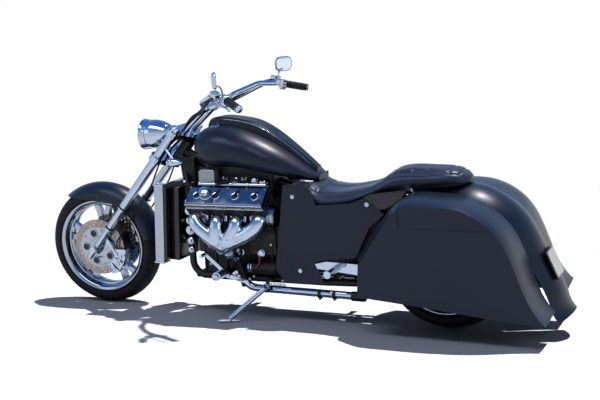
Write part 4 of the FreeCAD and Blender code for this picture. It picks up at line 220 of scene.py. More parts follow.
@dataclass(frozen=True)
class Finish:
    """What every finish starts from: a name, a colour and how it shines."""

    name: str
    colour: str
    metallic: float = 0.0
    roughness: float = 0.4
    grain_mm: float = 0.0
    grain_depth: float = 0.0
    mottle_mm: float = 60.0
    mottle: float = 0.0
    gloss: float = 0.5
    tint: str = "#ffffff"
    slot: str = "chrome"

    def build(self) -> bpy.types.Material:
        """Make the material once and hand it out again afterwards.

        Returns:
            The node-based material.
        """
        known = bpy.data.materials.get(self.name)
        if known is not None:
            return known
        material = bpy.data.materials.new(self.name)
        material.use_nodes = True
        tree = material.node_tree
        shader = tree.nodes["Principled BSDF"]
        shader.inputs["Base Color"].default_value = linear(self.colour)
        shader.inputs["Metallic"].default_value = self.metallic
        shader.inputs["Roughness"].default_value = self.roughness
        if self.metallic < 0.5:
            shader.inputs["Specular IOR Level"].default_value = self.gloss
            # A tint other than white colours every reflection: a painted reflection.
            shader.inputs["Specular Tint"].default_value = linear(self.tint)
        place = add_node(tree, "ShaderNodeTexCoord").outputs["Object"]
        self.surface(tree, shader, place)
        material.diffuse_color = linear(self.colour)
        return material

    def noise(self, tree: Tree, place: Socket, size_mm: float, detail: float = 3.0) -> Socket:
        """Noise whose blobs have a real size.

        Args:
            tree: The node tree.
            place: Object coordinates in metres.
            size_mm: Width of a blob.
            detail: Octaves.

        Returns:
            The noise value.
        """
        node = add_node(tree, "ShaderNodeTexNoise", {"Vector": place},
                        {"Scale": 1.0 / (size_mm * MM), "Detail": detail})
        return node.outputs["Fac"]

    def bump(self, tree: Tree, shader: Node, height: Socket, depth_mm: float) -> None:
        """Feed a height to the shader's normal.

        Args:
            tree: The node tree.
            shader: The shader that gets it.
            height: Height from 0 to 1.
            depth_mm: What 1 stands for.
        """
        node = add_node(tree, "ShaderNodeBump", {"Height": height},
                        {"Strength": 1.0, "Distance": depth_mm * MM})
        tree.links.new(node.outputs["Normal"], shader.inputs["Normal"])

    def vary_roughness(self, tree: Tree, shader: Node, place: Socket) -> None:
        """Let the gloss drift a little from place to place, as handled metal and paint do.

        Args:
            tree: The node tree.
            shader: The shader that gets it.
            place: Object coordinates.
        """
        drift = self.noise(tree, place, self.mottle_mm, 4.0)
        low, high = self.roughness * (1 - self.mottle), self.roughness * (1 + self.mottle)
        span = add_node(tree, "ShaderNodeMapRange", {"Value": drift},
                        {"From Min": 0.3, "From Max": 0.7, "To Min": low, "To Max": high})
        tree.links.new(span.outputs["Result"], shader.inputs["Roughness"])

    def surface(self, tree: Tree, shader: Node, place: Socket) -> None:
        """Add what this finish has beyond a colour.

        Args:
            tree: The node tree.
            shader: The principled shader.
            place: Object coordinates.
        """
        if self.mottle > 0.0:
            self.vary_roughness(tree, shader, place)
        if self.grain_depth > 0.0:
            self.bump(tree, shader, self.noise(tree, place, self.grain_mm), self.grain_depth)


@dataclass(frozen=True)
class SatinPaint(Finish):
    """Sprayed satin paint: dark, even, with a soft clear coat and faint orange peel."""

    coat: float = 0.25
    coat_roughness: float = 0.3
    drift_mm: float = 240.0
    drift_shares: tuple[float, float] = (0.82, 1.2)

    def surface(self, tree: Tree, shader: Node, place: Socket) -> None:
        """Add the clear coat, the peel and a faint dusty drift of tone.

        Args:
            tree: The node tree.
            shader: The principled shader.
            place: Object coordinates.
        """
        shader.inputs["Coat Weight"].default_value = self.coat
        shader.inputs["Coat Roughness"].default_value = self.coat_roughness
        self.vary_roughness(tree, shader, place)
        self.bump(tree, shader, self.noise(tree, place, self.grain_mm, 2.0), self.grain_depth)
        base = Vector(linear(self.colour)[:3])
        node = add_node(tree, "ShaderNodeValToRGB", {"Fac": self.noise(tree, place, self.drift_mm, 4.0)})
        for element, at, share in zip(node.color_ramp.elements, (0.3, 0.7), self.drift_shares):
            element.position = at
            element.color = (*(base * share), 1.0)
        tree.links.new(node.outputs["Color"], shader.inputs["Base Color"])


@dataclass(frozen=True)
class PlatedMetal(Finish):
    """Bright plate or polished metal, with faint handling haze."""

    ripple_mm: float = 90.0
    ripple_depth: float = 0.12

    def surface(self, tree: Tree, shader: Node, place: Socket) -> None:
        """Add the haze and the slow ripple that hand polishing leaves."""
        self.vary_roughness(tree, shader, place)
        self.bump(tree, shader, self.noise(tree, place, self.ripple_mm, 1.0), self.ripple_depth)


@dataclass(frozen=True)
class RingedFinish(Finish):
    """A finish with fine rings round a wheel's own axle."""

    centre: Point = (0.0, 0.0, 0.0)
    turn: Point = (0.0, 0.0, 0.0)
    pitch_mm: float = 2.2
    waver: float = 0.4
    octaves: float = 1.0

    def rings(self, tree: Tree, shader: Node, place: Socket) -> None:
        """Press rings about the axle into the surface.

        Args:
            tree: The node tree.
            shader: The principled shader.
            place: Object coordinates.
        """
        local = add_node(tree, "ShaderNodeMapping", {"Vector": place},
                         {"Location": self.centre, "Rotation": self.turn}, vector_type="TEXTURE")
        wave = add_node(tree, "ShaderNodeTexWave", {"Vector": local.outputs["Vector"]},
                        {"Scale": 1.0 / (self.pitch_mm * MM) / WAVES_PER_UNIT, "Distortion": self.waver,
                         "Detail": self.octaves}, wave_type="RINGS", rings_direction="Y")
        self.bump(tree, shader, wave.outputs["Fac"], self.grain_depth)


@dataclass(frozen=True)
class TurnedMetal(RingedFinish):
    """Metal turned or ground on a wheel, with the tool's rings round the axle."""

    def surface(self, tree: Tree, shader: Node, place: Socket) -> None:
        """Add the tool's rings and the handling haze."""
        self.rings(tree, shader, place)
        self.vary_roughness(tree, shader, place)


@dataclass(frozen=True)
class TyreRubber(RingedFinish):
    """Moulded tyre rubber: matt, with fine moulding rings on the wall."""

    pitch_mm: float = 9.0
    waver: float = 0.0
    octaves: float = 2.0

    def surface(self, tree: Tree, shader: Node, place: Socket) -> None:
        """Add moulding rings on the wall and a dusty tread."""
        self.rings(tree, shader, place)
        dust = self.noise(tree, place, 45.0, 5.0)
        tree.links.new(ramp(tree, dust, ((0.35, self.colour), (0.8, "#1a1a1d"))), shader.inputs["Base Color"])


@dataclass(frozen=True)
class Leather(Finish):
    """Dyed seat leather: fine pebble grain, soft shine, slightly lighter where it is rubbed."""

    def surface(self, tree: Tree, shader: Node, place: Socket) -> None:
        """Add the pebble grain, the creases and the rubbed tone.

        Args:
            tree: The node tree.
            shader: The principled shader.
            place: Object coordinates.
        """
        cells = add_node(tree, "ShaderNodeTexVoronoi", {"Vector": place},
                         {"Scale": 1.0 / (self.grain_mm * MM)}, feature="SMOOTH_F1")
        self.bump(tree, shader, cells.outputs["Distance"], self.grain_depth)
        self.vary_roughness(tree, shader, place)
        rub = self.noise(tree, place, 120.0, 4.0)
        tree.links.new(ramp(tree, rub, ((0.35, self.colour), (0.8, "#232734"))), shader.inputs["Base Color"])
        shader.inputs["Sheen Weight"].default_value = 0.12
        shader.inputs["Sheen Roughness"].default_value = 0.4


@dataclass(frozen=True)
class ClearLens(Finish):
    """Clear moulded lens."""

    def surface(self, tree: Tree, shader: Node, place: Socket) -> None:
        """Let light through."""
        shader.inputs["Transmission Weight"].default_value = 1.0
        shader.inputs["IOR"].default_value = 1.49
        self.bump(tree, shader, self.noise(tree, place, 14.0, 1.0), 0.05)


FRONT_HUB = (1.15005, -0.08042, 0.33999)
FRONT_TURN = (-0.1556, 0.0, 0.0334)
REAR_HUB = (-0.87991, -0.08422, 0.33086)
REAR_TURN = (-0.12654, 0.0, 0.0)
# The satin paint's blue specular tint is a painted sky reflection on its shine.
SATIN_BLACK = SatinPaint("satin black paint", "#0a0f19", roughness=0.38, grain_mm=1.6, grain_depth=0.006,
                         mottle=0.12, gloss=0.2, tint="#b8ceff", slot="black_paint")
CHROME = PlatedMetal("chrome plate", "#a9b3c2", 1.0, 0.05, mottle=0.5)
ALLOY = PlatedMetal("polished aluminium", "#989fa9", 1.0, 0.14, mottle=0.35, ripple_depth=0.05, slot="alloy")
FRONT_ROTOR = TurnedMetal("ground front rotor steel", "#8d837a", 1.0, 0.3, grain_depth=0.03, mottle=0.2,
                          centre=FRONT_HUB, turn=FRONT_TURN)
REAR_ROTOR = TurnedMetal("ground rear rotor steel", "#8d837a", 1.0, 0.3, grain_depth=0.03, mottle=0.2,
                         centre=REAR_HUB, turn=REAR_TURN)
BLACK_STEEL = Finish("powder coated steel", "#0c0c0e", 0.0, 0.42, 0.9, 0.03, 60.0, 0.2, gloss=0.3,
                     slot="black_steel")
CASTING = Finish("black painted casting", "#0b0b0d", 0.0, 0.5, 2.2, 0.12, 40.0, 0.25, gloss=0.3, slot="cast")
FRONT_TYRE = TyreRubber("front tyre rubber", "#0d0d0f", roughness=0.72, grain_depth=0.15, centre=FRONT_HUB,
                        turn=FRONT_TURN, gloss=0.22, slot="tyre")
REAR_TYRE = TyreRubber("rear tyre rubber", "#0d0d0f", roughness=0.72, grain_depth=0.15, centre=REAR_HUB,
                       turn=REAR_TURN, gloss=0.22, slot="tyre")
RUBBER = Finish("moulded rubber", "#0c0c0d", 0.0, 0.55, 1.2, 0.03, 30.0, 0.2, gloss=0.25, slot="rubber")
# The leather's blue specular tint is a painted sky reflection on its shine.
LEATHER = Leather("dyed seat leather", "#111724", roughness=0.4, grain_mm=2.0, grain_depth=0.05, mottle=0.2,
                  gloss=0.42, tint="#c6d8ff", slot="leather")
GLOSS = PlatedMetal("gloss black moulding", "#07080b", 0.0, 0.12, mottle=0.3, ripple_depth=0.05, gloss=0.4,
                    slot="gloss")
LENS = ClearLens("headlight lens", "#f4f7fa", roughness=0.02, slot="glass")
PLATE = PlatedMetal("blank plate enamel", "#a9acb0", 0.0, 0.35, mottle=0.2, ripple_depth=0.03, slot="plate")
# A darker copy of the chrome for the valve covers: painted shade from the tank above them.
SHADED_CHROME = PlatedMetal("smoked chrome plate", "#626b7a", 1.0, 0.07, mottle=0.5)
SAND = Finish("warm cast alloy", "#b3a58c", 0.75, 0.5, 1.4, 0.10, 25.0, 0.25, slot="cast")
CASTGREY = Finish("grey cast alloy", "#8b8d90", 0.7, 0.42, 1.4, 0.08, 25.0, 0.2, slot="cast")
COPPER = Finish("enamelled copper line", "#8a3a22", 0.6, 0.35, 2.0, 0.03, 20.0, 0.2, slot="cast")
RED = PlatedMetal("red moulded switch", "#6e1614", 0.0, 0.3, mottle=0.2, ripple_depth=0.02, slot="gloss")
MIRROR = PlatedMetal("silvered glass", "#dfe9f6", 1.0, 0.02, mottle=0.1, ripple_depth=0.0, slot="glass")
AMBER = PlatedMetal("amber lens", "#c8431a", 0.0, 0.12, mottle=0.2, ripple_depth=0.02, slot="gloss")

NODE_FINISH: dict[str, Finish] = {name: used for used, names in (
    (FRONT_TYRE, "front_tyre"),
    (REAR_TYRE, "rear_tyre"),
    (ALLOY, "front_rim rear_rim intake_manifold alternator radiator"),
    (FRONT_ROTOR, "front_rotors"),
    (REAR_ROTOR, "rear_rotor"),
    (BLACK_STEEL, "rear_pulley main_frame front_drive swingarm stand_bracket air_box"),
    (CHROME, "front_axle rear_axle fork_legs triple_clamps handlebar controls_left controls_right "
             "mirror_left mirror_right headlight front_signals front_calipers header_left header_right "
             "exhaust_left exhaust_right rider_controls_left rider_controls_right rear_pegs side_stand "
             "rear_caliper"),
    (RUBBER, "grip_left grip_right brake_lines radiator_hoses"),
    (LENS, "headlight_lens"),
    (SATIN_BLACK, "front_fender fuel_tank tank_console rear_fender side_cover_left side_cover_right "
                  "saddlebag_left saddlebag_right lid_left lid_right"),
    (CASTING, "engine_block gearbox"),
    (SHADED_CHROME, "valve_cover_left valve_cover_right"),
    (GLOSS, "radiator_shroud seat_pods"),
    (PLATE, "license_plate"),
    (LEATHER, "seat"),
) for name in names.split()}


def dress_frame() -> None:
    """Give every CAD node its finish."""
    for name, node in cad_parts.items():
        material = NODE_FINISH[name].build()
        node.data.materials.clear()
        node.data.materials.append(material)
        LOG.info("%s: %s", name, material.name)


# Camera, floor and light


@dataclass
class Studio:
    """A plain pale floor, soft daylight and a camera where the photographer stood."""

    camera_at: Point = (-2.15641, 4.703085, 0.9796)
    target: Point = (-0.04691, -0.126115, 0.6161)
    roll_deg: float = -0.166
    lens: float = 59.34
    floor_radius: float = 60.0
    shadow_reach: float = 2.6
    fade: float = 1.6
    sky: tuple[tuple[float, str], ...] = ((0.0, "#ffffff"), (0.14, "#ffffff"), (0.26, "#bdd8fa"),
                                          (0.5, "#86b6f6"), (1.0, "#4a80d6"))
    sun_at: Point = (-0.55, -0.75, 3.0)
    sun_angle: float = 0.02

    def camera(self) -> None:
        """Make the camera where the photographer stood."""
        data = bpy.data.cameras.new("photo_camera")
        data.lens = self.lens
        data.sensor_width = 36.0
        data.clip_start = 0.05
        data.clip_end = 400.0
        camera = bpy.data.objects.new("photo_camera", data)
        bpy.context.scene.collection.objects.link(camera)
        look = Vector(self.target) - Vector(self.camera_at)
        turn = look.to_track_quat("-Z", "Y").to_matrix().to_4x4()
        camera.matrix_world = (Matrix.Translation(Vector(self.camera_at)) @ turn
                               @ Matrix.Rotation(math.radians(self.roll_deg), 4, "Z"))
        bpy.context.scene.camera = camera

    def world(self) -> None:
        """Soft sky light; the backdrop is white at the horizon and turns to a blue sky overhead."""
        world = bpy.data.worlds.new("daylight")
        bpy.context.scene.world = world
        world.use_nodes = True
        tree = world.node_tree
        tree.nodes.clear()
        way = add_node(tree, "ShaderNodeTexCoord").outputs["Generated"]
        height = add_node(tree, "ShaderNodeSeparateXYZ", {"Vector": way}).outputs["Z"]
        path = add_node(tree, "ShaderNodeLightPath")
        seen = ramp(tree, height, self.sky)
        bright = add_node(tree, "ShaderNodeBackground", {"Color": seen}, {"Strength": 1.0})
        soft = add_node(tree, "ShaderNodeBackground", None, {"Color": linear("#cfdcf4"), "Strength": 0.16})
        shown = add_node(tree, "ShaderNodeMath", {0: path.outputs["Is Camera Ray"],
                                                  1: path.outputs["Is Glossy Ray"]}, operation="MAXIMUM")
        both = add_node(tree, "ShaderNodeMath", {0: shown.outputs[0], 1: path.outputs["Is Transmission Ray"]},
                        operation="MAXIMUM")
        mix = add_node(tree, "ShaderNodeMixShader", {0: both.outputs[0], 1: soft.outputs[0],
                                                     2: bright.outputs[0]})
        add_node(tree, "ShaderNodeOutputWorld", {"Surface": mix.outputs[0]})

    def floor(self) -> Piece:
        """Make the floor: it holds the shadow near the machine and fades to the white backdrop.

        Returns:
            The floor object.
        """
        deselect()
        bpy.ops.mesh.primitive_circle_add(vertices=96, radius=self.floor_radius, fill_type="NGON",
                                          location=(0.0, 0.0, -0.0005))
        floor = bpy.context.object
        floor.name = "studio_floor"
        material = bpy.data.materials.new("pale floor")
        material.use_nodes = True
        tree = material.node_tree
        shader = tree.nodes["Principled BSDF"]
        shader.inputs["Base Color"].default_value = linear("#8b909c")
        shader.inputs["Roughness"].default_value = 0.9
        shader.inputs["Specular IOR Level"].default_value = 0.1
        place = add_node(tree, "ShaderNodeTexCoord").outputs["Object"]
        grit = add_node(tree, "ShaderNodeTexNoise", {"Vector": place}, {"Scale": 140.0, "Detail": 4.0})
        tones = ramp(tree, grit.outputs["Fac"], ((0.3, "#7c818d"), (0.7, "#9a9faa")))
        tree.links.new(tones, shader.inputs["Base Color"])
        far = add_node(tree, "ShaderNodeVectorMath", {0: place}, operation="LENGTH").outputs["Value"]
        edge = add_node(tree, "ShaderNodeMapRange", {"Value": far},
                        {"From Min": self.shadow_reach, "From Max": self.shadow_reach + self.fade})
        path = add_node(tree, "ShaderNodeLightPath")
        shown = add_node(tree, "ShaderNodeMath", {0: path.outputs["Is Camera Ray"],
                                                  1: path.outputs["Is Glossy Ray"]}, operation="MAXIMUM")
        share = add_node(tree, "ShaderNodeMath", {0: edge.outputs["Result"], 1: shown.outputs[0]},
                         operation="MULTIPLY")
        glow = add_node(tree, "ShaderNodeEmission", None, {"Color": (1.0, 1.0, 1.0, 1.0), "Strength": 1.0})
        mix = add_node(tree, "ShaderNodeMixShader", {0: share.outputs[0], 1: shader.outputs[0],
                                                     2: glow.outputs[0]})
        tree.links.new(mix.outputs[0], tree.nodes["Material Output"].inputs["Surface"])
        floor.data.materials.append(material)
        return floor

    def lamp(self, name: str, kind: str, at: Point, power: float, colour: str,
             size: tuple[float, float] = (1.0, 1.0), aim: Point = (0.0, 0.0, 0.6)) -> Piece:
        """Add one lamp.

        Args:
            name: Its name.
            kind: Blender's lamp type.
            at: Where it hangs.
            power: Watts, or strength for a sun.
            colour: Its tint.
            size: Width and height of an area lamp; the first value is a sun's angle.
            aim: The point it looks at.

        Returns:
            The lamp object.
        """
        data = bpy.data.lights.new(name, kind)
        data.energy = power
        data.color = linear(colour)[:3]
        if kind == "AREA":
            data.shape = "RECTANGLE"
            data.size, data.size_y = size
        else:
            data.angle = size[0]
        lamp = bpy.data.objects.new(name, data)
        bpy.context.scene.collection.objects.link(lamp)
        look = Vector(aim) - Vector(at)
        lamp.matrix_world = Matrix.Translation(Vector(at)) @ look.to_track_quat("-Z",
                                                                                "Y").to_matrix().to_4x4()
        return lamp

    def build(self) -> None:
        """Set up the whole studio."""
        self.camera()
        self.world()
        floor = self.floor()
        middle = (0.0, 0.0, 0.0)
        self.lamp("high_sun", "SUN", self.sun_at, 3.4, "#fff6ea", (self.sun_angle, 0.0), middle)
        self.lamp("sky_panel", "AREA", (0.6, 2.6, 4.2), 95.0, "#f2f6ff", (4.5, 1.2))
        self.lamp("front_panel", "AREA", (3.6, 3.0, 2.2), 10.0, "#ffffff", (2.0, 1.6))
        self.lamp("rear_panel", "AREA", (-4.2, 1.8, 2.4), 18.0, "#ffffff", (2.0, 1.6))
        ground = self.lamp("ground_sun", "SUN", self.sun_at, 9.5, "#fffaf2", (self.sun_angle, 0.0), middle)
        lit = bpy.data.collections.new("ground_only")
        lit.objects.link(floor)
        ground.light_linking.receiver_collection = lit
        bpy.context.scene.view_settings.view_transform = "Standard"


# Workbench: modelling steps that every class uses, with sizes in millimetres and points as vectors


class Part(Enum):
    """The parts of a mesh that can be picked."""

    FACE = "FACE"
    VERT = "VERT"


def deselect() -> None:
    """Leave edit mode and deselect everything."""
    if bpy.context.object is not None and bpy.context.object.mode != "OBJECT":
        bpy.ops.object.mode_set(mode="OBJECT")
    bpy.ops.object.select_all(action="DESELECT")


def named(name: str) -> Piece:
    """Name the object that was just added.

    Args:
        name: Its name.

    Returns:
        The object.
    """
    piece = bpy.context.object
    piece.name = name
    piece.data.name = name
    return piece


def fix_place(piece: Piece) -> Piece:
    """Put an object's place, turn and size into its mesh."""
    deselect()
    piece.select_set(True)
    bpy.context.view_layer.objects.active = piece
    bpy.ops.object.transform_apply(location=True, rotation=True, scale=True)
    return piece


def block(name: str, low: Sequence[float], high: Sequence[float]) -> Piece:
    """A box between two corners, to be shaped further.

    Args:
        name: Its name.
        low: One corner, in millimetres.
        high: The opposite corner.

    Returns:
        The new object.
    """
    deselect()
    bpy.ops.mesh.primitive_cube_add(size=1.0, location=[(a + b) / 2 * MM for a, b in zip(low, high)])
    piece = named(name)
    piece.scale = [abs(b - a) * MM for a, b in zip(low, high)]
    return fix_place(piece)


def rod(name: str, start: Vector, end: Vector, radius: float, sides: int) -> Piece:
    """A straight rod between two points.

    Args:
        name: Its name.
        start: Middle of one end.
        end: Middle of the other.
        radius: Its radius.
        sides: Faces round it.

    Returns:
        The new object.
    """
    deselect()
    along = end - start
    bpy.ops.mesh.primitive_cone_add(vertices=sides, radius1=radius * MM, radius2=radius * MM,
                                    depth=along.length, location=(start + end) / 2,
                                    rotation=along.to_track_quat("Z", "Y").to_euler())
    return fix_place(named(name))


def pick(piece: Piece, test: Callable[[Vector], bool], kind: Part = Part.FACE) -> None:
    """Enter edit mode with only the parts whose middle passes a test selected.

    Args:
        piece: The object to edit.
        test: Told a middle, says whether it is wanted.
        kind: Faces or vertices.
    """
    deselect()
    piece.select_set(True)
    bpy.context.view_layer.objects.active = piece
    bpy.ops.object.mode_set(mode="EDIT")
    bpy.ops.mesh.select_mode(type=kind.value)
    bpy.ops.mesh.select_all(action="DESELECT")
    mesh = bmesh.from_edit_mesh(piece.data)
    if kind is Part.FACE:
        for face in mesh.faces:
            face.select_set(test(face.calc_center_median()))
    else:
        for vert in mesh.verts:
            vert.select_set(test(vert.co))
    mesh.select_flush_mode()
    bmesh.update_edit_mesh(piece.data)


def anywhere(_: Vector) -> bool:
    """A test that every place passes."""
    return True


def outward(piece: Piece) -> Piece:
    """Turn every face of a piece outwards."""
    pick(piece, anywhere)
    bpy.ops.mesh.normals_make_consistent(inside=False)
    bpy.ops.object.mode_set(mode="OBJECT")
    return piece


def placed(piece: Piece, place: Matrix) -> Piece:
    """Move a piece by a matrix, with its place in its mesh."""
    piece.matrix_world = place
    return fix_place(piece)


def push(piece: Piece, test: Callable[[Vector], bool], move: Vector, scale: float) -> None:
    """Extrude the chosen faces and move and scale the new ones.

    Args:
        piece: The object to edit.
        test: Chooses faces by their middle.
        move: How far the new faces go.
        scale: Their size against the old ones.
    """
    pick(piece, test)
    bpy.ops.mesh.extrude_region_move(TRANSFORM_OT_translate={"value": move})
    bpy.ops.transform.resize(value=(scale, scale, scale))
    bpy.ops.object.mode_set(mode="OBJECT")


def sink(piece: Piece, test: Callable[[Vector], bool], rim: float, depth: float, each: bool = False) -> None:
    """Inset the chosen faces and press them in.

    Args:
        piece: The object to edit.
        test: Chooses faces by their middle.
        rim: Width of the border that stays.
        depth: How far the inner faces go in.
        each: Whether every face is inset by itself.
    """
    pick(piece, test)
    bpy.ops.mesh.inset(thickness=rim * MM, depth=0.0, use_individual=each)
    bpy.ops.mesh.inset(thickness=DRAFT * MM, depth=-depth * MM, use_individual=each)
    bpy.ops.object.mode_set(mode="OBJECT")


def apply_all(piece: Piece) -> None:
    """Apply every modifier of a piece."""
    deselect()
    piece.select_set(True)
    bpy.context.view_layer.objects.active = piece
    for modifier in list(piece.modifiers):
        bpy.ops.object.modifier_apply(modifier=modifier.name)


def ease(piece: Piece, width: float, segments: int = 2, angle: float = 35.0) -> Piece:
    """Round the sharp edges with a bevel.

    Args:
        piece: The object.
        width: Width of the rounding.
        segments: Faces across it.
        angle: Edges sharper than this are rounded.

    Returns:
        The same object.
    """
    modifier = piece.modifiers.new("ease", "BEVEL")
    modifier.width = width * MM
    modifier.segments = segments
    modifier.limit_method = "ANGLE"
    modifier.angle_limit = math.radians(angle)
    apply_all(piece)
    return piece


def turned(name: str, profile: Sequence[tuple[float, float]], steps: int, closed: bool = False) -> Piece:
    """A body turned about its local Z axis from a chain of radius and height.

    Args:
        name: Its name.
        profile: The chain, in millimetres.
        steps: Faces round it.
        closed: Whether the chain is joined end to end, as for a ring.

    Returns:
        The new object, on the local axis.
    """
    deselect()
    bpy.ops.mesh.primitive_plane_add(size=0.001)
    piece = named(name)
    pick(piece, anywhere, Part.VERT)
    bpy.ops.mesh.merge(type="CENTER")
    chain = [(r * MM, z * MM) for r, z in (*profile, *(profile[:1] if closed else ()))]
    bpy.ops.transform.translate(value=(chain[0][0], 0.0, chain[0][1]))
    for (r0, z0), (r1, z1) in zip(chain, chain[1:]):
        bpy.ops.mesh.extrude_region_move(TRANSFORM_OT_translate={"value": (r1 - r0, 0.0, z1 - z0)})
    bpy.ops.mesh.select_all(action="SELECT")
    bpy.ops.mesh.spin(steps=steps, angle=2.0 * math.pi, center=(0.0, 0.0, 0.0), axis=(0.0, 0.0, 1.0))
    bpy.ops.mesh.select_all(action="SELECT")
    bpy.ops.mesh.remove_doubles(threshold=WELD * MM)
    bpy.ops.mesh.normals_make_consistent(inside=False)
    bpy.ops.object.mode_set(mode="OBJECT")
    return piece


def lay(piece: Piece, at: Sequence[float], along: Sequence[float],
        up: Sequence[float] = (0.0, 0.0, 1.0)) -> Piece:
    """Lay a piece so that its local Z runs along a direction and its local X leans to another.

    Args:
        piece: The object, modelled round the origin.
        at: Where its origin goes.
        along: Where its Z axis points.
        up: Where its X axis leans.

    Returns:
        The same object, with its place in its mesh.
    """
    axis = Vector(along).normalized()
    side = axis.cross(Vector(up)).normalized()
    lean = side.cross(axis)
    turn = Matrix((lean, side, axis)).transposed()
    if turn.determinant() < 0:
        turn = Matrix((lean, -side, axis)).transposed()
    piece.matrix_world = Matrix.Translation(Vector(at)) @ turn.to_4x4()
    return fix_place(piece)


def hose(name: str, points: Sequence[Vector], radius: float, smooth: int = 5, sides: int = 3) -> Piece:
    """A round tube along a smooth line, made a mesh.

    Args:
        name: Its name.
        points: Control points of the line.
        radius: Radius of the tube.
        smooth: Steps between points.
        sides: Roundness of the tube.

    Returns:
        The tube.
    """
    deselect()
    bpy.ops.curve.primitive_nurbs_path_add()
    line = bpy.context.object
    line.data.splines.clear()
    spline = line.data.splines.new("NURBS")
    spline.points.add(len(points) - 1)
    for knot, place in zip(spline.points, points):
        knot.co = (*place, 1.0)
    spline.order_u = 3
    spline.use_endpoint_u = True
    line.data.resolution_u = smooth
    line.data.bevel_depth = radius * MM
    line.data.bevel_resolution = sides
    line.data.use_fill_caps = True
    line.location = (0.0, 0.0, 0.0)
    bpy.ops.object.convert(target="MESH")
    return fix_place(named(name))


def twin(piece: Piece, name: str) -> Piece:
    """A copy with its own mesh."""
    other = piece.copy()
    other.data = piece.data.copy()
    other.name = name
    bpy.context.scene.collection.objects.link(other)
    return other


def mirrored(piece: Piece, name: str) -> Piece:
    """A copy on the machine's other side, with its faces turned outward again.

    Args:
        piece: The object on one side.
        name: Name of the copy.

    Returns:
        The copy.
    """
    other = twin(piece, name)
    other.scale = (1.0, -1.0, 1.0)
    return outward(fix_place(other))


def ring_of(piece: Piece, count: int, start: float = 0.0) -> Piece:
    """Repeat a piece evenly round its local Z axis and join the copies.

    Args:
        piece: The object.
        count: How many there are.
        start: Turn of the first, in degrees.

    Returns:
        The joined object.
    """
    made = []
    for step in range(count):
        copy = piece if step == count - 1 else twin(piece, piece.name)
        copy.matrix_world = Matrix.Rotation(math.radians(start + 360.0 * (step + 1) / count), 4,
                                            "Z") @ copy.matrix_world
        made.append(fix_place(copy))
    return joined(piece.name, made)


def joined(name: str, pieces: Sequence[Piece]) -> Piece:
    """Join pieces into one object.

    Args:
        name: Its name.
        pieces: What goes into it.

    Returns:
        The object.
    """
    deselect()
    for piece in pieces:
        piece.select_set(True)
    bpy.context.view_layer.objects.active = pieces[0]
    if len(pieces) > 1:
        bpy.ops.object.join()
    return named(name)


def carved(piece: Piece, tool: Piece) -> Piece:
    """Cut one closed piece away from another and remove the tool.

    Args:
        piece: The piece that is cut.
        tool: What is cut away.

    Returns:
        The same object.
    """
    change = piece.modifiers.new("cut", "BOOLEAN")
    change.operation = "DIFFERENCE"
    change.solver = "EXACT"
    change.object = tool
    apply_all(piece)
    bpy.data.objects.remove(tool)
    return piece


def bolt(name: str, at: Vector, along: Sequence[float], radius: float, height: float,
         sides: int = 6) -> Piece:
    """A bolt head with an eased rim and a sunk socket.

    Args:
        name: Its name.
        at: Middle of its seat.
        along: Where it points.
        radius: Its radius.
        height: How far it stands out.
        sides: 6 for a hexagon, more for a round head.

    Returns:
        The bolt head.
    """
    deselect()
    bpy.ops.mesh.primitive_cylinder_add(vertices=sides, radius=radius * MM, depth=height * MM,
                                        location=(0.0, 0.0, height / 2 * MM))
    head = fix_place(named(name))
    sink(head, lambda c: c.z > height * MM * 0.99, radius * 0.45, height * 0.35)
    ease(head, radius * 0.12, 1, 50.0)
    return lay(head, at, along, (0.31, 0.52, 0.8))


def mm(x: float, y: float, z: float) -> Vector:
    """A point given in millimetres, in metres."""
    return Vector((x, y, z)) * MM


def dress(piece: Piece, name: str, used: Finish, body: Body = Body.CHASSIS,
          smooth: float = SMOOTH_DEG) -> Piece:
    """Name, shade and colour a piece that already lies in its place, and hang it on its body.

    Args:
        piece: The object.
        name: Its final name.
        used: Its finish.
        body: The body it rides on.
        smooth: Edges flatter than this are shaded smooth.

    Returns:
        The same object.
    """
    deselect()
    piece.name = name
    piece.data.name = name
    piece.select_set(True)
    bpy.context.view_layer.objects.active = piece
    bpy.ops.object.shade_smooth_by_angle(angle=math.radians(smooth))
    piece.data.materials.clear()
    piece.data.materials.append(used.build())
    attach(piece, body.value)
    LOG.info("%s on %s: %d faces", name, body.value, len(piece.data.polygons))
    return piece


def finish(made: Piece | list[Piece], name: str, used: Finish, body: Body = Body.CHASSIS,
           smooth: float = SMOOTH_DEG) -> Piece:
    """Lay a finished piece over with the machine, dress it and hang it on its body.

    Args:
        made: The object on the upright machine, or the parts that are joined into it.
        name: Its final name.
        used: Its finish.
        body: The body it rides on.
        smooth: Edges flatter than this are shaded smooth.

    Returns:
        The finished object.
    """
    piece = made if isinstance(made, Piece) else joined(name, made)
    return dress(placed(piece, STANCE.matrix(body)), name, used, body, smooth)


# Wheels


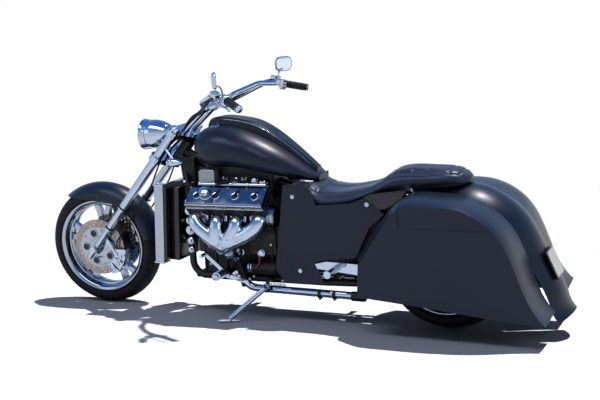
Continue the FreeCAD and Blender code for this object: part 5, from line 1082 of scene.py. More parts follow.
@dataclass
class Wheel:
    """One wheel's grooved tyre, rounded rim lips, rotor bolts and carriers."""

    name: str
    hub: Vector
    body: Body
    rubber: Finish
    radius: float
    width: float
    crown: float
    bead: float
    bead_half: float
    flange: float
    blade_half: float
    rotor_sides: tuple[int, ...]
    rotor_at: float
    steps: int = 84
    lip: float = 7.0
    groove_half: float = 2.4
    groove_depth: float = 5.0
    grooves: tuple[float, ...] = (-0.5, -0.17, 0.17, 0.5)
    shoulder_share: float = 0.93
    bulge_share: float = 0.55
    window_ring: float = 83.0

    def tread(self) -> list[tuple[float, float]]:
        """The crown from one shoulder to the other with its running grooves.

        Returns:
            Radius and offset of each point.
        """
        half = self.width / 2 * self.shoulder_share
        sweep = math.asin(half / self.crown)
        rows: list[tuple[float, float]] = [(-1.0, 0.0), (-0.8, 0.0)]
        edge = self.groove_half / half
        for groove in self.grooves:
            rows += [(groove - edge, 0.0), (groove - edge * 0.6, self.groove_depth),
                     (groove + edge * 0.6, self.groove_depth), (groove + edge, 0.0)]
        rows += [(0.0, 0.0), (0.8, 0.0), (1.0, 0.0)]
        points = []
        for share, depth in sorted(rows):
            turn = share * sweep
            fall = self.crown * (1.0 - math.cos(turn))
            points.append((self.radius - fall - depth, self.crown * math.sin(turn)))
        return points

    def on_axle(self, parts: Sequence[Piece], name: str, used: Finish, smooth: float) -> Piece:
        """Join parts modelled round the origin, lay them along the axle and finish them.

        Args:
            parts: The parts.
            name: What follows the wheel's name.
            used: Their finish.
            smooth: Edges flatter than this are shaded smooth.

        Returns:
            The finished piece.
        """
        whole = lay(joined(self.name + name, parts), self.hub, (0.0, 1.0, 0.0))
        return finish(whole, self.name + name, used, self.body, smooth)

    def both_faces(self, parts: Sequence[Piece], name: str, used: Finish, smooth: float) -> None:
        """Set parts modelled on the origin on each rotor's face, flipped for the right one.

        Args:
            parts: The parts, which are used up.
            name: What follows the wheel's name.
            used: Their finish.
            smooth: Edges flatter than this are shaded smooth.
        """
        made = []
        for side in self.rotor_sides:
            for part in parts:
                piece = twin(part, part.name)
                piece.location = (0.0, 0.0, self.rotor_at * side * MM)
                piece.scale = (1.0, 1.0, side)
                made.append(fix_place(piece))
        for part in parts:
            bpy.data.objects.remove(part)
        self.on_axle([outward(joined(self.name + name, made))], name, used, smooth)

    def tyre(self) -> None:
        """The tyre: bead, ridged wall, grooved tread and cut shoulder blocks."""
        half = self.width / 2 * self.shoulder_share
        seat = self.flange + 0.5
        shoulder = self.radius - self.crown * (1.0 - math.sqrt(1.0 - (half / self.crown) ** 2))
        bulge = seat + (shoulder - seat) * self.bulge_share
        foot = self.bead_half + self.lip
        wall = self.width / 2
        left = [(self.bead, -self.bead_half), (seat, -self.bead_half), (seat, -foot),
                (seat + (bulge - seat) * 0.35, -foot - (wall - foot) * 0.62),
                (seat + (bulge - seat) * 0.42, -foot - (wall - foot) * 0.78), (bulge, -wall),
                (bulge + (shoulder - bulge) * 0.5, -wall * 0.985)]
        right = [(radius, -side) for radius, side in reversed(left)]
        tyre = turned(self.name + "_tyre_skin", left + self.tread() + right, self.steps, closed=True)
        step = 2.0 * math.pi / self.steps

        def share_and_index(middle: Vector) -> tuple[float, int]:
            """A tread face's share of the way out from the middle, and its place round it; -1 on the wall."""
            side = abs(middle.z) / (half * MM) if middle.xy.length > bulge * MM else -1.0
            return side, int((math.atan2(middle.y, middle.x) + math.pi) / step)

        def shoulder_block(middle: Vector) -> bool:
            """Every second face of both shoulder ribs."""
            side, index = share_and_index(middle)
            return (index + (middle.z > 0)) % 2 == 0 and 0.56 < side < 0.93

        def middle_block(middle: Vector) -> bool:
            """Every third face of the ribs beside the middle."""
            side, index = share_and_index(middle)
            return index % 3 == 0 and 0.22 < side < 0.44

        sink(tyre, shoulder_block, 2.2, 3.2, each=True)
        sink(tyre, middle_block, 2.0, 2.4, each=True)
        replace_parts(self.on_axle([tyre], "_tyre_skin", self.rubber, 28.0), self.name + "_tyre")

    def lips(self) -> None:
        """Rounded outer lips and the bright step inside the barrel."""
        inner = self.bead - 9.0
        face = self.bead_half + self.lip
        rings = []
        for side in (-1, 1):
            crest = [(inner - 0.5, face - 2.0), (inner, face + 0.5), (inner + 6.0, face + 5.5),
                     (inner + 12.0, face + 9.0), (inner + 14.0, face + 10.5),
                     (self.flange - 3.0, face + 11.0), (self.flange - 0.5, face + 9.0),
                     (self.flange + 0.5, face - 0.5)]
            ring = turned("lip", [(r, side * z) for r, z in crest], 96, closed=True)
            step = [(inner - 7.0, self.blade_half + 2.0), (inner - 13.0, self.blade_half + 4.0),
                    (inner - 13.0, self.blade_half + 10.0), (inner - 7.0, self.blade_half + 13.0)]
            ledge = turned("ledge", [(r, side * z) for r, z in step], 72, closed=True)
            rings += [ring, ledge]
        self.on_axle(rings, "_rim_lips", ALLOY, 50.0)

    def rotor_bolts(self) -> None:
        """Carrier bolts, the floating buttons of the drilled ring and a hub cover."""
        made = []
        for side in self.rotor_sides:
            face = self.rotor_at * side
            head = bolt("carrier_bolt", mm(36.0, 0.0, face), (0.0, 0.0, side), 6.5, 5.0, 12)
            made.append(ring_of(head, 5, 36.0))
            button = turned("button", [(0.0, 2.4), (2.5, 2.4), (5.0, 2.0), (6.6, 0.4), (6.6, -1.0)], 14)
            button.location = mm(117.0, 0.0, face)
            button.scale = (1.0, 1.0, side)
            made.append(ring_of(fix_place(button), 10, 18.0))
            cap = turned("hub_ring", [(20.0, -2.0), (21.0, 3.0), (26.0, 4.0), (28.0, -1.0)], 32)
            cap.location = mm(0.0, 0.0, face)
            cap.scale = (1.0, 1.0, side)
            made.append(fix_place(cap))
        self.on_axle([outward(joined("rotor_bolts", made))], "_rotor_bolts", CHROME, 40.0)

    def carriers(self) -> None:
        """Bright lobed carrier plates with rimmed round windows over the middle of each rotor, and dark cups
        in the windows as painted shade.
        """
        plate = turned("carrier", [(31.0, -0.4), (32.0, 3.4), (58.0, 3.0), (60.0, 1.8), (106.0, 1.8),
                                   (108.0, 3.2), (118.0, 2.6), (119.0, -0.4)], 90, closed=True)
        cuts = []
        for count, radius, middle, start in ((5, 19.4, 83.0, 18.0), (5, 13.0, 124.0, 54.0),
                                             (5, 7.5, 100.0, 54.0)):
            tool = rod("cut", mm(middle, 0.0, -20.0), mm(middle, 0.0, 20.0), radius, sides=28)
            cuts.append(ring_of(tool, count, start))
        plate = carved(plate, joined("cuts", cuts))
        rim = turned("window_rim", [(19.2, -0.4), (19.6, 4.6), (22.5, 5.0), (25.5, 1.0), (25.5, -0.4)], 28,
                     closed=True)
        # Gloss black cups inside the windows: painted shade for the depth behind them.
        cup = turned("window_back", [(0.0, 3.4), (6.0, 3.2), (8.0, 1.0), (19.0, 0.8), (19.0, -0.6)], 24)
        rims, cups = (ring_of(placed(piece, Matrix.Translation(mm(self.window_ring, 0.0, 0.0))), 5, 18.0)
                      for piece in (rim, cup))
        self.both_faces([rims, plate], "_rotor_carriers", ALLOY, 40.0)
        self.both_faces([cups], "_window_backs", GLOSS, SMOOTH_DEG)

    def build(self) -> None:
        """Make everything this wheel gets."""
        self.tyre()
        self.lips()
        self.rotor_bolts()
        self.carriers()


# Fork and lamps


@dataclass
class Fork:
    """Seals, leg caps, clamp bolts and caliper details of the fork."""

    side: float = 130.0
    mid_start: float = 158.0
    top_start: float = 315.0
    top_end: float = 905.0
    clamps: tuple[float, float] = (690.0, 868.0)
    top_radius: float = 26.0
    mid_radius: float = 20.5
    pistons: tuple[tuple[float, float, float], ...] = (
        (200.0, 150.0, 15.0), (216.0, 150.0, 15.0), (231.0, 150.0, 13.0))
    slots_deg: tuple[float, float] = (206.0, 225.0)
    caliper_bolts: tuple[tuple[float, float], ...] = (
        (193.0, 128.0), (193.0, 172.0), (238.0, 128.0), (238.0, 168.0))

    def seals(self) -> None:
        """Black wiper seals where each tube enters the next."""
        made = []
        for edge in (-1, 1):
            for along, radius in ((self.mid_start + 9.0, self.mid_radius),
                                  (self.top_start + 8.0, self.top_radius)):
                ring = turned("seal", [(radius - 1.0, -5.0), (radius + 2.4, -4.0), (radius + 2.8, 2.0),
                                       (radius + 0.8, 6.0), (radius - 1.0, 6.0)], 32, closed=True)
                made.append(lay(ring, STANCE.on_fork(along, side=edge * self.side), STANCE.up_fork,
                                (1.0, 0.0, 0.0)))
        finish(made, "fork_seals", RUBBER, Body.STEER)

    def caps(self) -> None:
        """Leg caps, stem nut and the clamps' pinch bolts."""
        made = []
        for edge in (-1, 1):
            cap = turned("leg_cap", [(0.0, 9.0), (9.0, 9.0), (11.0, 6.0), (22.0, 5.0), (25.0, 1.5),
                                     (25.0, -2.0)], 36)
            made.append(lay(cap, STANCE.on_fork(self.top_end, side=edge * self.side), STANCE.up_fork,
                            (1.0, 0.0, 0.0)))
            for along in self.clamps:
                for shift in (-9.0, 9.0):
                    at = STANCE.on_fork(along + shift, ahead=-self.top_radius * 0.5,
                                        side=edge * (self.side + 35.5))
                    made.append(bolt("pinch_bolt", at, (0.0, edge, 0.0), 5.5, 6.0, 16))
        nut = bolt("stem_nut", STANCE.on_fork(self.clamps[1] + 17.0, ahead=-60.0), STANCE.up_fork, 19.0, 14.0)
        made.append(nut)
        finish(made, "fork_caps", CHROME, Body.STEER)

    def calipers(self) -> None:
        """Piston caps, dark rods in the bridge slots, dark discs on the plate for its holes, both painted
        shade, and bolts on both front calipers.
        """
        bright, dark = [], []
        hub = STANCE.front_axle
        for edge in (-1, 1):
            for turn, reach, radius in self.pistons:
                angle = math.radians(turn)
                at = hub + mm(math.cos(angle) * reach, edge * 108.6, math.sin(angle) * reach)
                cap = turned("piston_cap", [(0.0, 3.0), (radius * 0.4, 3.0), (radius * 0.5, 5.5),
                                            (radius * 0.9, 5.0), (radius, 2.0), (radius, -4.0)], 24)
                bright.append(lay(cap, at, (0.0, edge, 0.0)))
            # Dark rods along the bridge: painted shade in its slots.
            for turn in self.slots_deg:
                angle = math.radians(turn)
                low = hub + mm(math.cos(angle) * 124.0, edge * 108.0, math.sin(angle) * 124.0)
                high = hub + mm(math.cos(angle) * 178.0, edge * 108.0, math.sin(angle) * 178.0)
                dark.append(rod("slot", low, high, 4.5, sides=12))
            for turn, reach in self.caliper_bolts:
                angle = math.radians(turn)
                at = hub + mm(math.cos(angle) * reach, edge * 109.0, math.sin(angle) * reach)
                bright.append(bolt("caliper_bolt", at, (0.0, edge, 0.0), 6.0, 6.0, 12))
            # Dark discs on the caliper plate: painted shade standing in for holes.
            root, end = STANCE.on_fork(86.0, side=edge * 118.0), hub + mm(-112.0, edge * 110.0, -40.0)
            for shift in (0.25, 0.5, 0.75):
                at = root.lerp(end, shift)
                at.y = edge * 110.5 * MM
                hole = turned("plate_hole", [(0.0, 0.6), (9.0, 0.6), (10.0, -2.0)], 24)
                dark.append(lay(hole, at, (0.0, edge, 0.0)))
        finish(bright, "caliper_caps", CHROME, Body.STEER)
        finish(dark, "caliper_slots", GLOSS, Body.STEER)

    def build(self) -> None:
        """Make the fork's trim."""
        self.seals()
        self.caps()
        self.calipers()


@dataclass
class FrontLamps:
    """The headlight's ring, reflector, bulb and bracket bolts, and the signal lamps' rings and lenses."""

    length: float = 204.0
    signal_length: float = 82.0

    @property
    def seat(self) -> Vector:
        """The point at the back of the headlight shell."""
        return STANCE.on_fork(825.0, ahead=16.0)

    def headlight(self) -> None:
        """A rolled bezel, a reflector with its bulb and the bracket's bolts."""
        face = self.seat + mm(self.length, 0.0, 0.0)
        bezel = turned("bezel", [(73.0, 1.0), (75.0, 6.0), (80.0, 7.0), (85.0, 3.0), (86.0, -8.0),
                                 (83.0, -14.0), (81.0, -14.0), (81.0, 0.0)], 64, closed=True)
        lay(bezel, face, (1.0, 0.0, 0.0))
        bulb = turned("bulb", [(0.0, 12.0), (6.0, 11.0), (9.0, 6.0), (10.0, -18.0)], 24)
        lay(bulb, face - mm(14.0, 0.0, 0.0), (1.0, 0.0, 0.0))
        heads = [bolt("bracket_bolt", self.seat + mm(self.length * 0.34, edge * 58.0, -22.0),
                      (0.0, edge, -0.35), 7.0, 6.0, 6) for edge in (-1, 1)]
        trim = joined("headlight_trim", [bezel, bulb, *heads])
        finish(trim, "headlight_bezel", CHROME, Body.STEER)
        bowl = turned("reflector", [(0.0, -21.0), (30.0, -20.0), (52.0, -15.0), (72.5, -3.0), (72.5, -6.0),
                                    (50.0, -19.0), (0.0, -26.0)], 48)
        lay(bowl, face, (1.0, 0.0, 0.0))
        finish(bowl, "headlight_reflector", ALLOY, Body.STEER)

    def signals(self) -> None:
        """Bezels and amber lenses of both signal lamps."""
        rings, lenses = [], []
        for edge in (-1, 1):
            at = STANCE.on_fork(315.0 + self.signal_length * 5.6, ahead=-self.signal_length * 1.45,
                                side=edge * 182.0)
            face = at + mm(self.signal_length / 2, 0.0, 0.0)
            ring = turned("signal_ring", [(19.5, 0.0), (20.5, 3.5), (24.0, 3.0), (24.6, -5.0), (23.0, -5.0)],
                          32, closed=True)
            rings.append(lay(ring, face, (1.0, 0.0, 0.0)))
            lens = turned("signal_lens", [(0.0, 7.0), (9.0, 6.0), (16.0, 3.5), (20.0, -1.0), (20.0, -7.0)],
                          32)
            lenses.append(lay(lens, face, (1.0, 0.0, 0.0)))
        finish(rings, "signal_bezels", CHROME, Body.STEER)
        finish(lenses, "signal_lenses", AMBER, Body.STEER)

    def build(self) -> None:
        """Make the lamps' details."""
        self.headlight()
        self.signals()


# Cockpit


@dataclass
class Cockpit:
    """Grip bands, switches, reservoir lids, levers' bolts, mirror glass and cables."""

    reach: float = 373.0
    half_width: float = 452.0
    rise: float = 88.0
    grip: float = 118.0
    pod: float = 62.0
    mirror_half: tuple[float, float] = (59.0, 42.0)
    mirror_square: float = 0.62
    mirror_turn: float = 30.0

    @property
    def middle(self) -> Vector:
        """The bar's middle over the risers."""
        return STANCE.on_fork(885.0, ahead=-21.0) + mm(-147.0, 0.0, 129.0)

    def bar(self, reach: float, rise: float, side: float) -> Vector:
        """A point of the left half of the bar from its shares."""
        return self.middle + mm(reach * self.reach, side * self.half_width, rise * self.rise)

    def frame_at(self, along: float) -> Matrix:
        """A frame on the left bar end: X inward along the bar, Y ahead, Z up.

        Args:
            along: Millimetres inward from the end.

        Returns:
            The frame.
        """
        end = self.bar(-1.0, 0.45, 1.0)
        inward = (self.bar(-0.70, 0.86, 0.80) - end).normalized()
        ahead = Vector((0.0, 0.0, 1.0)).cross(inward).normalized()
        up = inward.cross(ahead)
        turn = Matrix((inward, ahead, up)).transposed().to_4x4()
        return Matrix.Translation(end + inward * along * MM) @ turn

    def both(self, piece: Piece, place: Matrix, name: str, used: Finish, smooth: float = SMOOTH_DEG) -> None:
        """Set a piece in a frame on the left and mirror it to the right.

        Args:
            piece: The piece, modelled in the frame's axes.
            place: Where it goes.
            name: Its name.
            used: Its finish.
            smooth: Edges flatter than this are shaded smooth.
        """
        placed(piece, place)
        other = mirrored(piece, name + "_right")
        finish(piece, name + "_left", used, Body.STEER, smooth)
        finish(other, name + "_right", used, Body.STEER, smooth)

    def grips(self) -> None:
        """Black rubber staves round the bright grip, and its end cap."""
        stave = block("stave", (9.0, -4.6, 16.5), (self.grip - 12.0, 4.6, 20.4))
        ease(stave, 2.0, 3, 40.0)
        staves = ring_of(placed(stave, Matrix.Rotation(math.pi / 2, 4, "Y")), 9)
        placed(staves, Matrix.Rotation(-math.pi / 2, 4, "Y"))
        self.both(staves, self.frame_at(0.0), "grip_staves", RUBBER)
        cap = turned("end_cap", [(0.0, 5.0), (8.0, 4.4), (15.0, 2.4), (19.4, -1.0), (20.6, -6.0),
                                 (20.6, -9.0), (18.0, -9.0)], 32)
        lay(cap, mm(-9.4, 0.0, 0.0), (-1.0, 0.0, 0.0))
        self.both(cap, self.frame_at(0.0), "grip_caps", CHROME)

    def switches(self) -> None:
        """Rocker switches on the pod's rider side: black ones and a red one below."""
        black, red = [], []
        for up, tall, target in ((12.0, 9.0, black), (-4.0, 8.0, black), (-20.0, 9.0, red)):
            key = block("key", (5.0, -25.5, up - tall / 2), (23.0, -21.0, up + tall / 2))
            push(key, lambda c: c.y < -25.0 * MM, mm(0.0, -2.6, 0.0), scale=0.8)
            ease(key, 1.2, 2, 30.0)
            target.append(key)
        place = self.frame_at(self.grip + 0.5)
        self.both(joined("keys", black), place, "switch_keys", GLOSS)
        self.both(joined("red_key", red), place, "stop_key", RED)

    def reservoirs(self) -> None:
        """A lid with four screws on the reservoir, and bolts on the clamp and the lever's pivot."""
        low, high = 0.42 * 62.0, 1.3 * 62.0
        lid = block("lid", (low + 3.0, 24.0, 32.4), (high - 3.0, 57.0, 35.4))
        sink(lid, lambda c: c.z > 35.3 * MM, 3.5, 1.0)
        ease(lid, 1.0, 2, 40.0)
        made = [lid]
        for x in (low + 7.5, high - 7.5):
            for y in (28.5, 52.5):
                made.append(bolt("lid_screw", mm(x, y, 35.2), (0.0, 0.0, 1.0), 2.6, 1.8, 12))
        made.append(bolt("pivot_bolt", mm(43.4, 32.2, 17.0), (0.0, 0.0, 1.0), 6.0, 4.0, 6))
        for up in (-9.0, 9.0):
            made.append(bolt("clamp_bolt", mm(56.0, 43.0, up), (0.0, 1.0, 0.0), 4.4, 5.0, 12))
            made.append(bolt("pod_bolt", mm(12.0, 22.5, up), (0.0, 1.0, 0.0), 3.6, 3.0, 12))
        self.both(joined("lid_set", made), self.frame_at(self.grip + 0.5), "reservoir_lids", CHROME)

    def mirrors(self) -> None:
        """The glass of each mirror with a thin dark rim, on the rider's side."""
        foot = self.frame_at(self.grip + self.pod * 0.75).translation + mm(0.0, 0.0, 58.0 * 0.28)
        head = foot + mm(0.0, 118.0 * 0.64, 116.0 * 0.474)
        centre = head + mm(-6.0, 118.0 * 0.08, 84.0 * 0.3)
        turn = Matrix.Rotation(math.radians(self.mirror_turn), 4, "Z")
        for name, share, depth, used in (("mirror_rim", 0.94, 1.4, GLOSS),
                                         ("mirror_glass", 0.88, 2.2, MIRROR)):
            deselect()
            bpy.ops.mesh.primitive_circle_add(vertices=48, radius=1.0, fill_type="NGON")
            pane = named(name)
            for vert in pane.data.vertices:
                angle = math.atan2(vert.co.y, vert.co.x)
                across, up = (math.copysign(abs(part) ** self.mirror_square, part) * half * MM * share
                              for part, half in zip((math.cos(angle), math.sin(angle)), self.mirror_half))
                vert.co = (0.0, across, up)
            pick(pane, anywhere)
            bpy.ops.mesh.extrude_region_move(TRANSFORM_OT_translate={"value": mm(-depth, 0.0, 0.0)})
            ease(outward(pane), 0.8, 2, 40.0)
            self.both(pane, Matrix.Translation(centre) @ turn, name, used, 30.0)

    def cables(self) -> None:
        """Clutch, throttle and brake lines from the pods down the risers into the head."""
        place = self.frame_at(self.grip + 0.5)
        start = place @ mm(66.0, 26.0, 14.0)
        runs = []
        for step, lift in enumerate((0.0, -12.0, -24.0)):
            first = start + mm(0.0, 0.0, lift)
            over = self.bar(-0.30, 0.86, 0.56) + mm(16.0, 0.0, -22.0 + lift)
            low = self.bar(-0.02, 0.1, 0.20) + mm(20.0, 0.0, -24.0 + 0.5 * lift)
            side = 40.0 + 11.0 * step
            runs.append(hose("cable", [first, first + mm(46.0, -34.0, 0.0), over, low,
                                       low + mm(74.0, 0.0, -34.0), STANCE.on_fork(856.0, ahead=-14.0,
                                                                                  side=side),
                                       STANCE.on_fork(770.0, ahead=8.0, side=side),
                                       STANCE.on_fork(712.0, ahead=14.0, side=side * 0.8)],
                             (5.6 - 0.7 * step)))
        self.both(joined("cable_run", runs), Matrix.Identity(4), "cables", RUBBER, 60.0)

    def risers(self) -> None:
        """Clamp caps with bolts on the risers and a small gauge between them."""
        made = []
        for edge in (-1, 1):
            for ahead, up in ((17.0, 14.0), (-17.0, 14.0)):
                at = self.middle + mm(ahead, edge * 58.0, up)
                made.append(bolt("riser_bolt", at, (0.0, 0.0, 1.0), 4.6, 12.0, 12))
        finish(made, "riser_bolts", CHROME, Body.STEER)
        gauge = turned("gauge", [(0.0, -16.0), (20.0, -14.0), (29.0, -4.0), (31.0, 8.0), (30.0, 12.0),
                                 (27.0, 12.0), (26.0, 9.0), (0.0, 9.0)], 40)
        lay(gauge, self.middle + mm(28.0, 0.0, 4.0), (-0.66, 0.0, 0.75))
        finish(gauge, "gauge_case", CHROME, Body.STEER)

    def build(self) -> None:
        """Make everything on the bar."""
        self.grips()
        self.switches()
        self.reservoirs()
        self.mirrors()
        self.risers()
        self.cables()


# Seat


def copied(node: str, name: str) -> Piece:
    """Copy a CAD node's mesh into a new object with its doubles merged.

    Args:
        node: The node to copy.
        name: Name of the copy.

    Returns:
        The new object, in the place the node has.
    """
    source = bpy.data.objects[node]
    piece = twin(source, name)
    piece.matrix_world = source.matrix_world.copy()
    fix_place(piece)
    piece.data.materials.clear()
    pick(piece, anywhere)
    bpy.ops.mesh.remove_doubles(threshold=WELD / 2 * MM)
    bpy.ops.mesh.normals_make_consistent(inside=False)
    bpy.ops.object.mode_set(mode="OBJECT")
    return piece


def on_top(node: str, spots: Sequence[tuple[float, float]]) -> list[Vector]:
    """Points on the top of a CAD node above places of the upright machine.

    Args:
        node: The node.
        spots: Places along and across the machine, in millimetres.

    Returns:
        The points on the upright machine.
    """
    lay_over = STANCE.matrix()
    piece = bpy.data.objects[node]
    to_piece = piece.matrix_world.inverted()
    down = to_piece.to_3x3() @ lay_over.to_3x3() @ Vector((0.0, 0.0, -1.0))
    points = []
    for x, y in spots:
        hit, at, _, _ = piece.ray_cast(to_piece @ lay_over @ mm(x, y, 1250.0), down.normalized())
        if hit:
            points.append(lay_over.inverted() @ piece.matrix_world @ at)
    return points


def remeshed(piece: Piece, voxel: float, smooth: int) -> Piece:
    """Remesh a closed piece by voxels and relax it.

    Args:
        piece: The piece.
        voxel: Size of a voxel, in millimetres.
        smooth: Rounds of smoothing.

    Returns:
        The same object.
    """
    change = piece.modifiers.new("remesh", "REMESH")
    change.mode = "VOXEL"
    change.voxel_size = voxel * MM
    apply_all(piece)
    if smooth:
        change = piece.modifiers.new("relax", "SMOOTH")
        change.factor = 0.5
        change.iterations = smooth
        apply_all(piece)
    return piece


@dataclass
class Seat:
    """The two-part saddle: puffed leather, pressed seams and piping, in place of the plain solid."""

    length: float = 826.0 * MM
    nose: float = 690.0 * MM
    half: float = 205.0 * MM
    voxel: float = 6.5
    pressure: float = 4.0
    frames: int = 20
    slim: float = 3.0
    welt_steps: int = 60
    cap: float = 7.0 * MM
    seam_width: float = 5.4 * MM
    seam_depth: float = 3.6 * MM
    side_share: float = 0.80
    widths: tuple[tuple[float, float], ...] = ((0.0, 0.78), (0.03, 0.93), (0.07, 0.98), (0.15, 1.0),
                                               (0.24, 1.0), (0.33, 0.98), (0.44, 0.88), (0.52, 0.78),
                                               (0.60, 0.72), (0.75, 0.68), (0.88, 0.61), (0.95, 0.48),
                                               (0.985, 0.32), (1.0, 0.18))
    cross: tuple[tuple[float, float], ...] = ((0.085, 0.10), (0.455, -0.12), (0.52, -0.12), (0.88, 0.16),
                                              (0.94, 0.2))

    def half_at(self, along: float) -> float:
        """Half the width at a share of the length.

        Args:
            along: Share of the length from the nose.

        Returns:
            The half width.
        """
        rows = self.widths
        for (a, wide), (b, next_wide) in zip(rows, rows[1:]):
            if along <= b:
                return self.half * (wide + (next_wide - wide) * (along - a) / (b - a))
        return self.half * rows[-1][1]

    def puff(self, piece: Piece) -> None:
        """Swell the pad like stuffed leather, by a short cloth simulation with a cap on how far it goes.

        Args:
            piece: The pad, before its seams are pressed.
        """
        start = [vert.co.copy() for vert in piece.data.vertices]
        change = piece.modifiers.new("puff", "CLOTH")
        settings = change.settings
        settings.use_pressure = True
        settings.uniform_pressure_force = self.pressure
        settings.effector_weights.gravity = 0.0
        settings.quality = 4
        settings.mass = 0.3
        change.collision_settings.use_collision = False
        change.point_cache.frame_start = 1
        change.point_cache.frame_end = self.frames
        for step in range(1, self.frames + 1):
            bpy.context.scene.frame_set(step)
        seen = piece.evaluated_get(bpy.context.evaluated_depsgraph_get())
        moved = [vert.co.copy() for vert in seen.data.vertices]
        piece.modifiers.remove(change)
        for vert, before, after in zip(piece.data.vertices, start, moved):
            step = after - before
            vert.co = before + (step * (self.cap / step.length) if step.length > self.cap else step)
        bpy.context.scene.frame_set(1)

    def seam_pull(self, at: Vector) -> float:
        """How near a place is to a seam.

        Args:
            at: The place on the upright machine.

        Returns:
            1 on the seam and 0 away from it.
        """
        along = (self.nose - at.x) / self.length
        if not 0.0 <= along <= 1.0:
            return 0.0
        half = self.half_at(along)
        near = abs(abs(at.y) - half * self.side_share) if along < 0.955 else 1.0
        for share, bow in self.cross:
            line = self.nose - self.length * share + bow * (at.y / self.half) ** 2 * self.half
            if abs(at.y) < half * self.side_share:
                near = min(near, abs(at.x - line))
        return math.exp(-((near / self.seam_width) ** 2))

    def press(self, piece: Piece) -> None:
        """Press the sewn channels into the top of the pad.

        Args:
            piece: The pad, lying in its place.
        """
        back = STANCE.matrix().inverted()
        turn = back.to_3x3()
        normals = [vert.normal.copy() for vert in piece.data.vertices]
        for vert, normal in zip(piece.data.vertices, normals):
            upward = (turn @ normal).z
            if upward > -0.1:
                pull = self.seam_pull(back @ vert.co)
                if pull > 0.01:
                    vert.co -= normal * (self.seam_depth * pull * min(1.0, upward + 0.3))

    def piping(self, piece: Piece) -> None:
        """A thin welt sewn along both side seams.

        Args:
            piece: The pad, lying in its place.
        """
        lay_over = STANCE.matrix()
        back = lay_over.inverted()
        runs = []
        for edge in (-1, 1):
            points = []
            for step in range(self.welt_steps + 1):
                along = 0.10 + 0.74 * step / self.welt_steps
                place = Vector((self.nose - self.length * along, edge * self.half_at(along) * self.side_share,
                                1.1))
                down = (lay_over.to_3x3() @ Vector((0.0, 0.0, -1.0))).normalized()
                hit, at, _, _ = piece.ray_cast(lay_over @ place, down)
                if hit:
                    points.append(back @ at + mm(0.0, 0.0, 0.4))
            runs.append(hose("piping", points, 2.0, 1))
        finish(runs, "seat_piping", LEATHER, smooth=70.0)

    def build(self) -> None:
        """Make the pad and its piping."""
        pad = copied("seat", "seat_pad")
        remeshed(pad, self.voxel, 4)
        change = pad.modifiers.new("slim", "DISPLACE")
        change.strength = -self.slim * MM
        change.mid_level = 0.0
        apply_all(pad)
        self.puff(pad)
        change = pad.modifiers.new("fine", "SUBSURF")
        change.levels = change.render_levels = 1
        apply_all(pad)
        self.press(pad)
        dress(pad, "seat_pad", LEATHER, smooth=80.0)
        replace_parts(pad, "seat")
        self.piping(pad)


# Painted bodywork


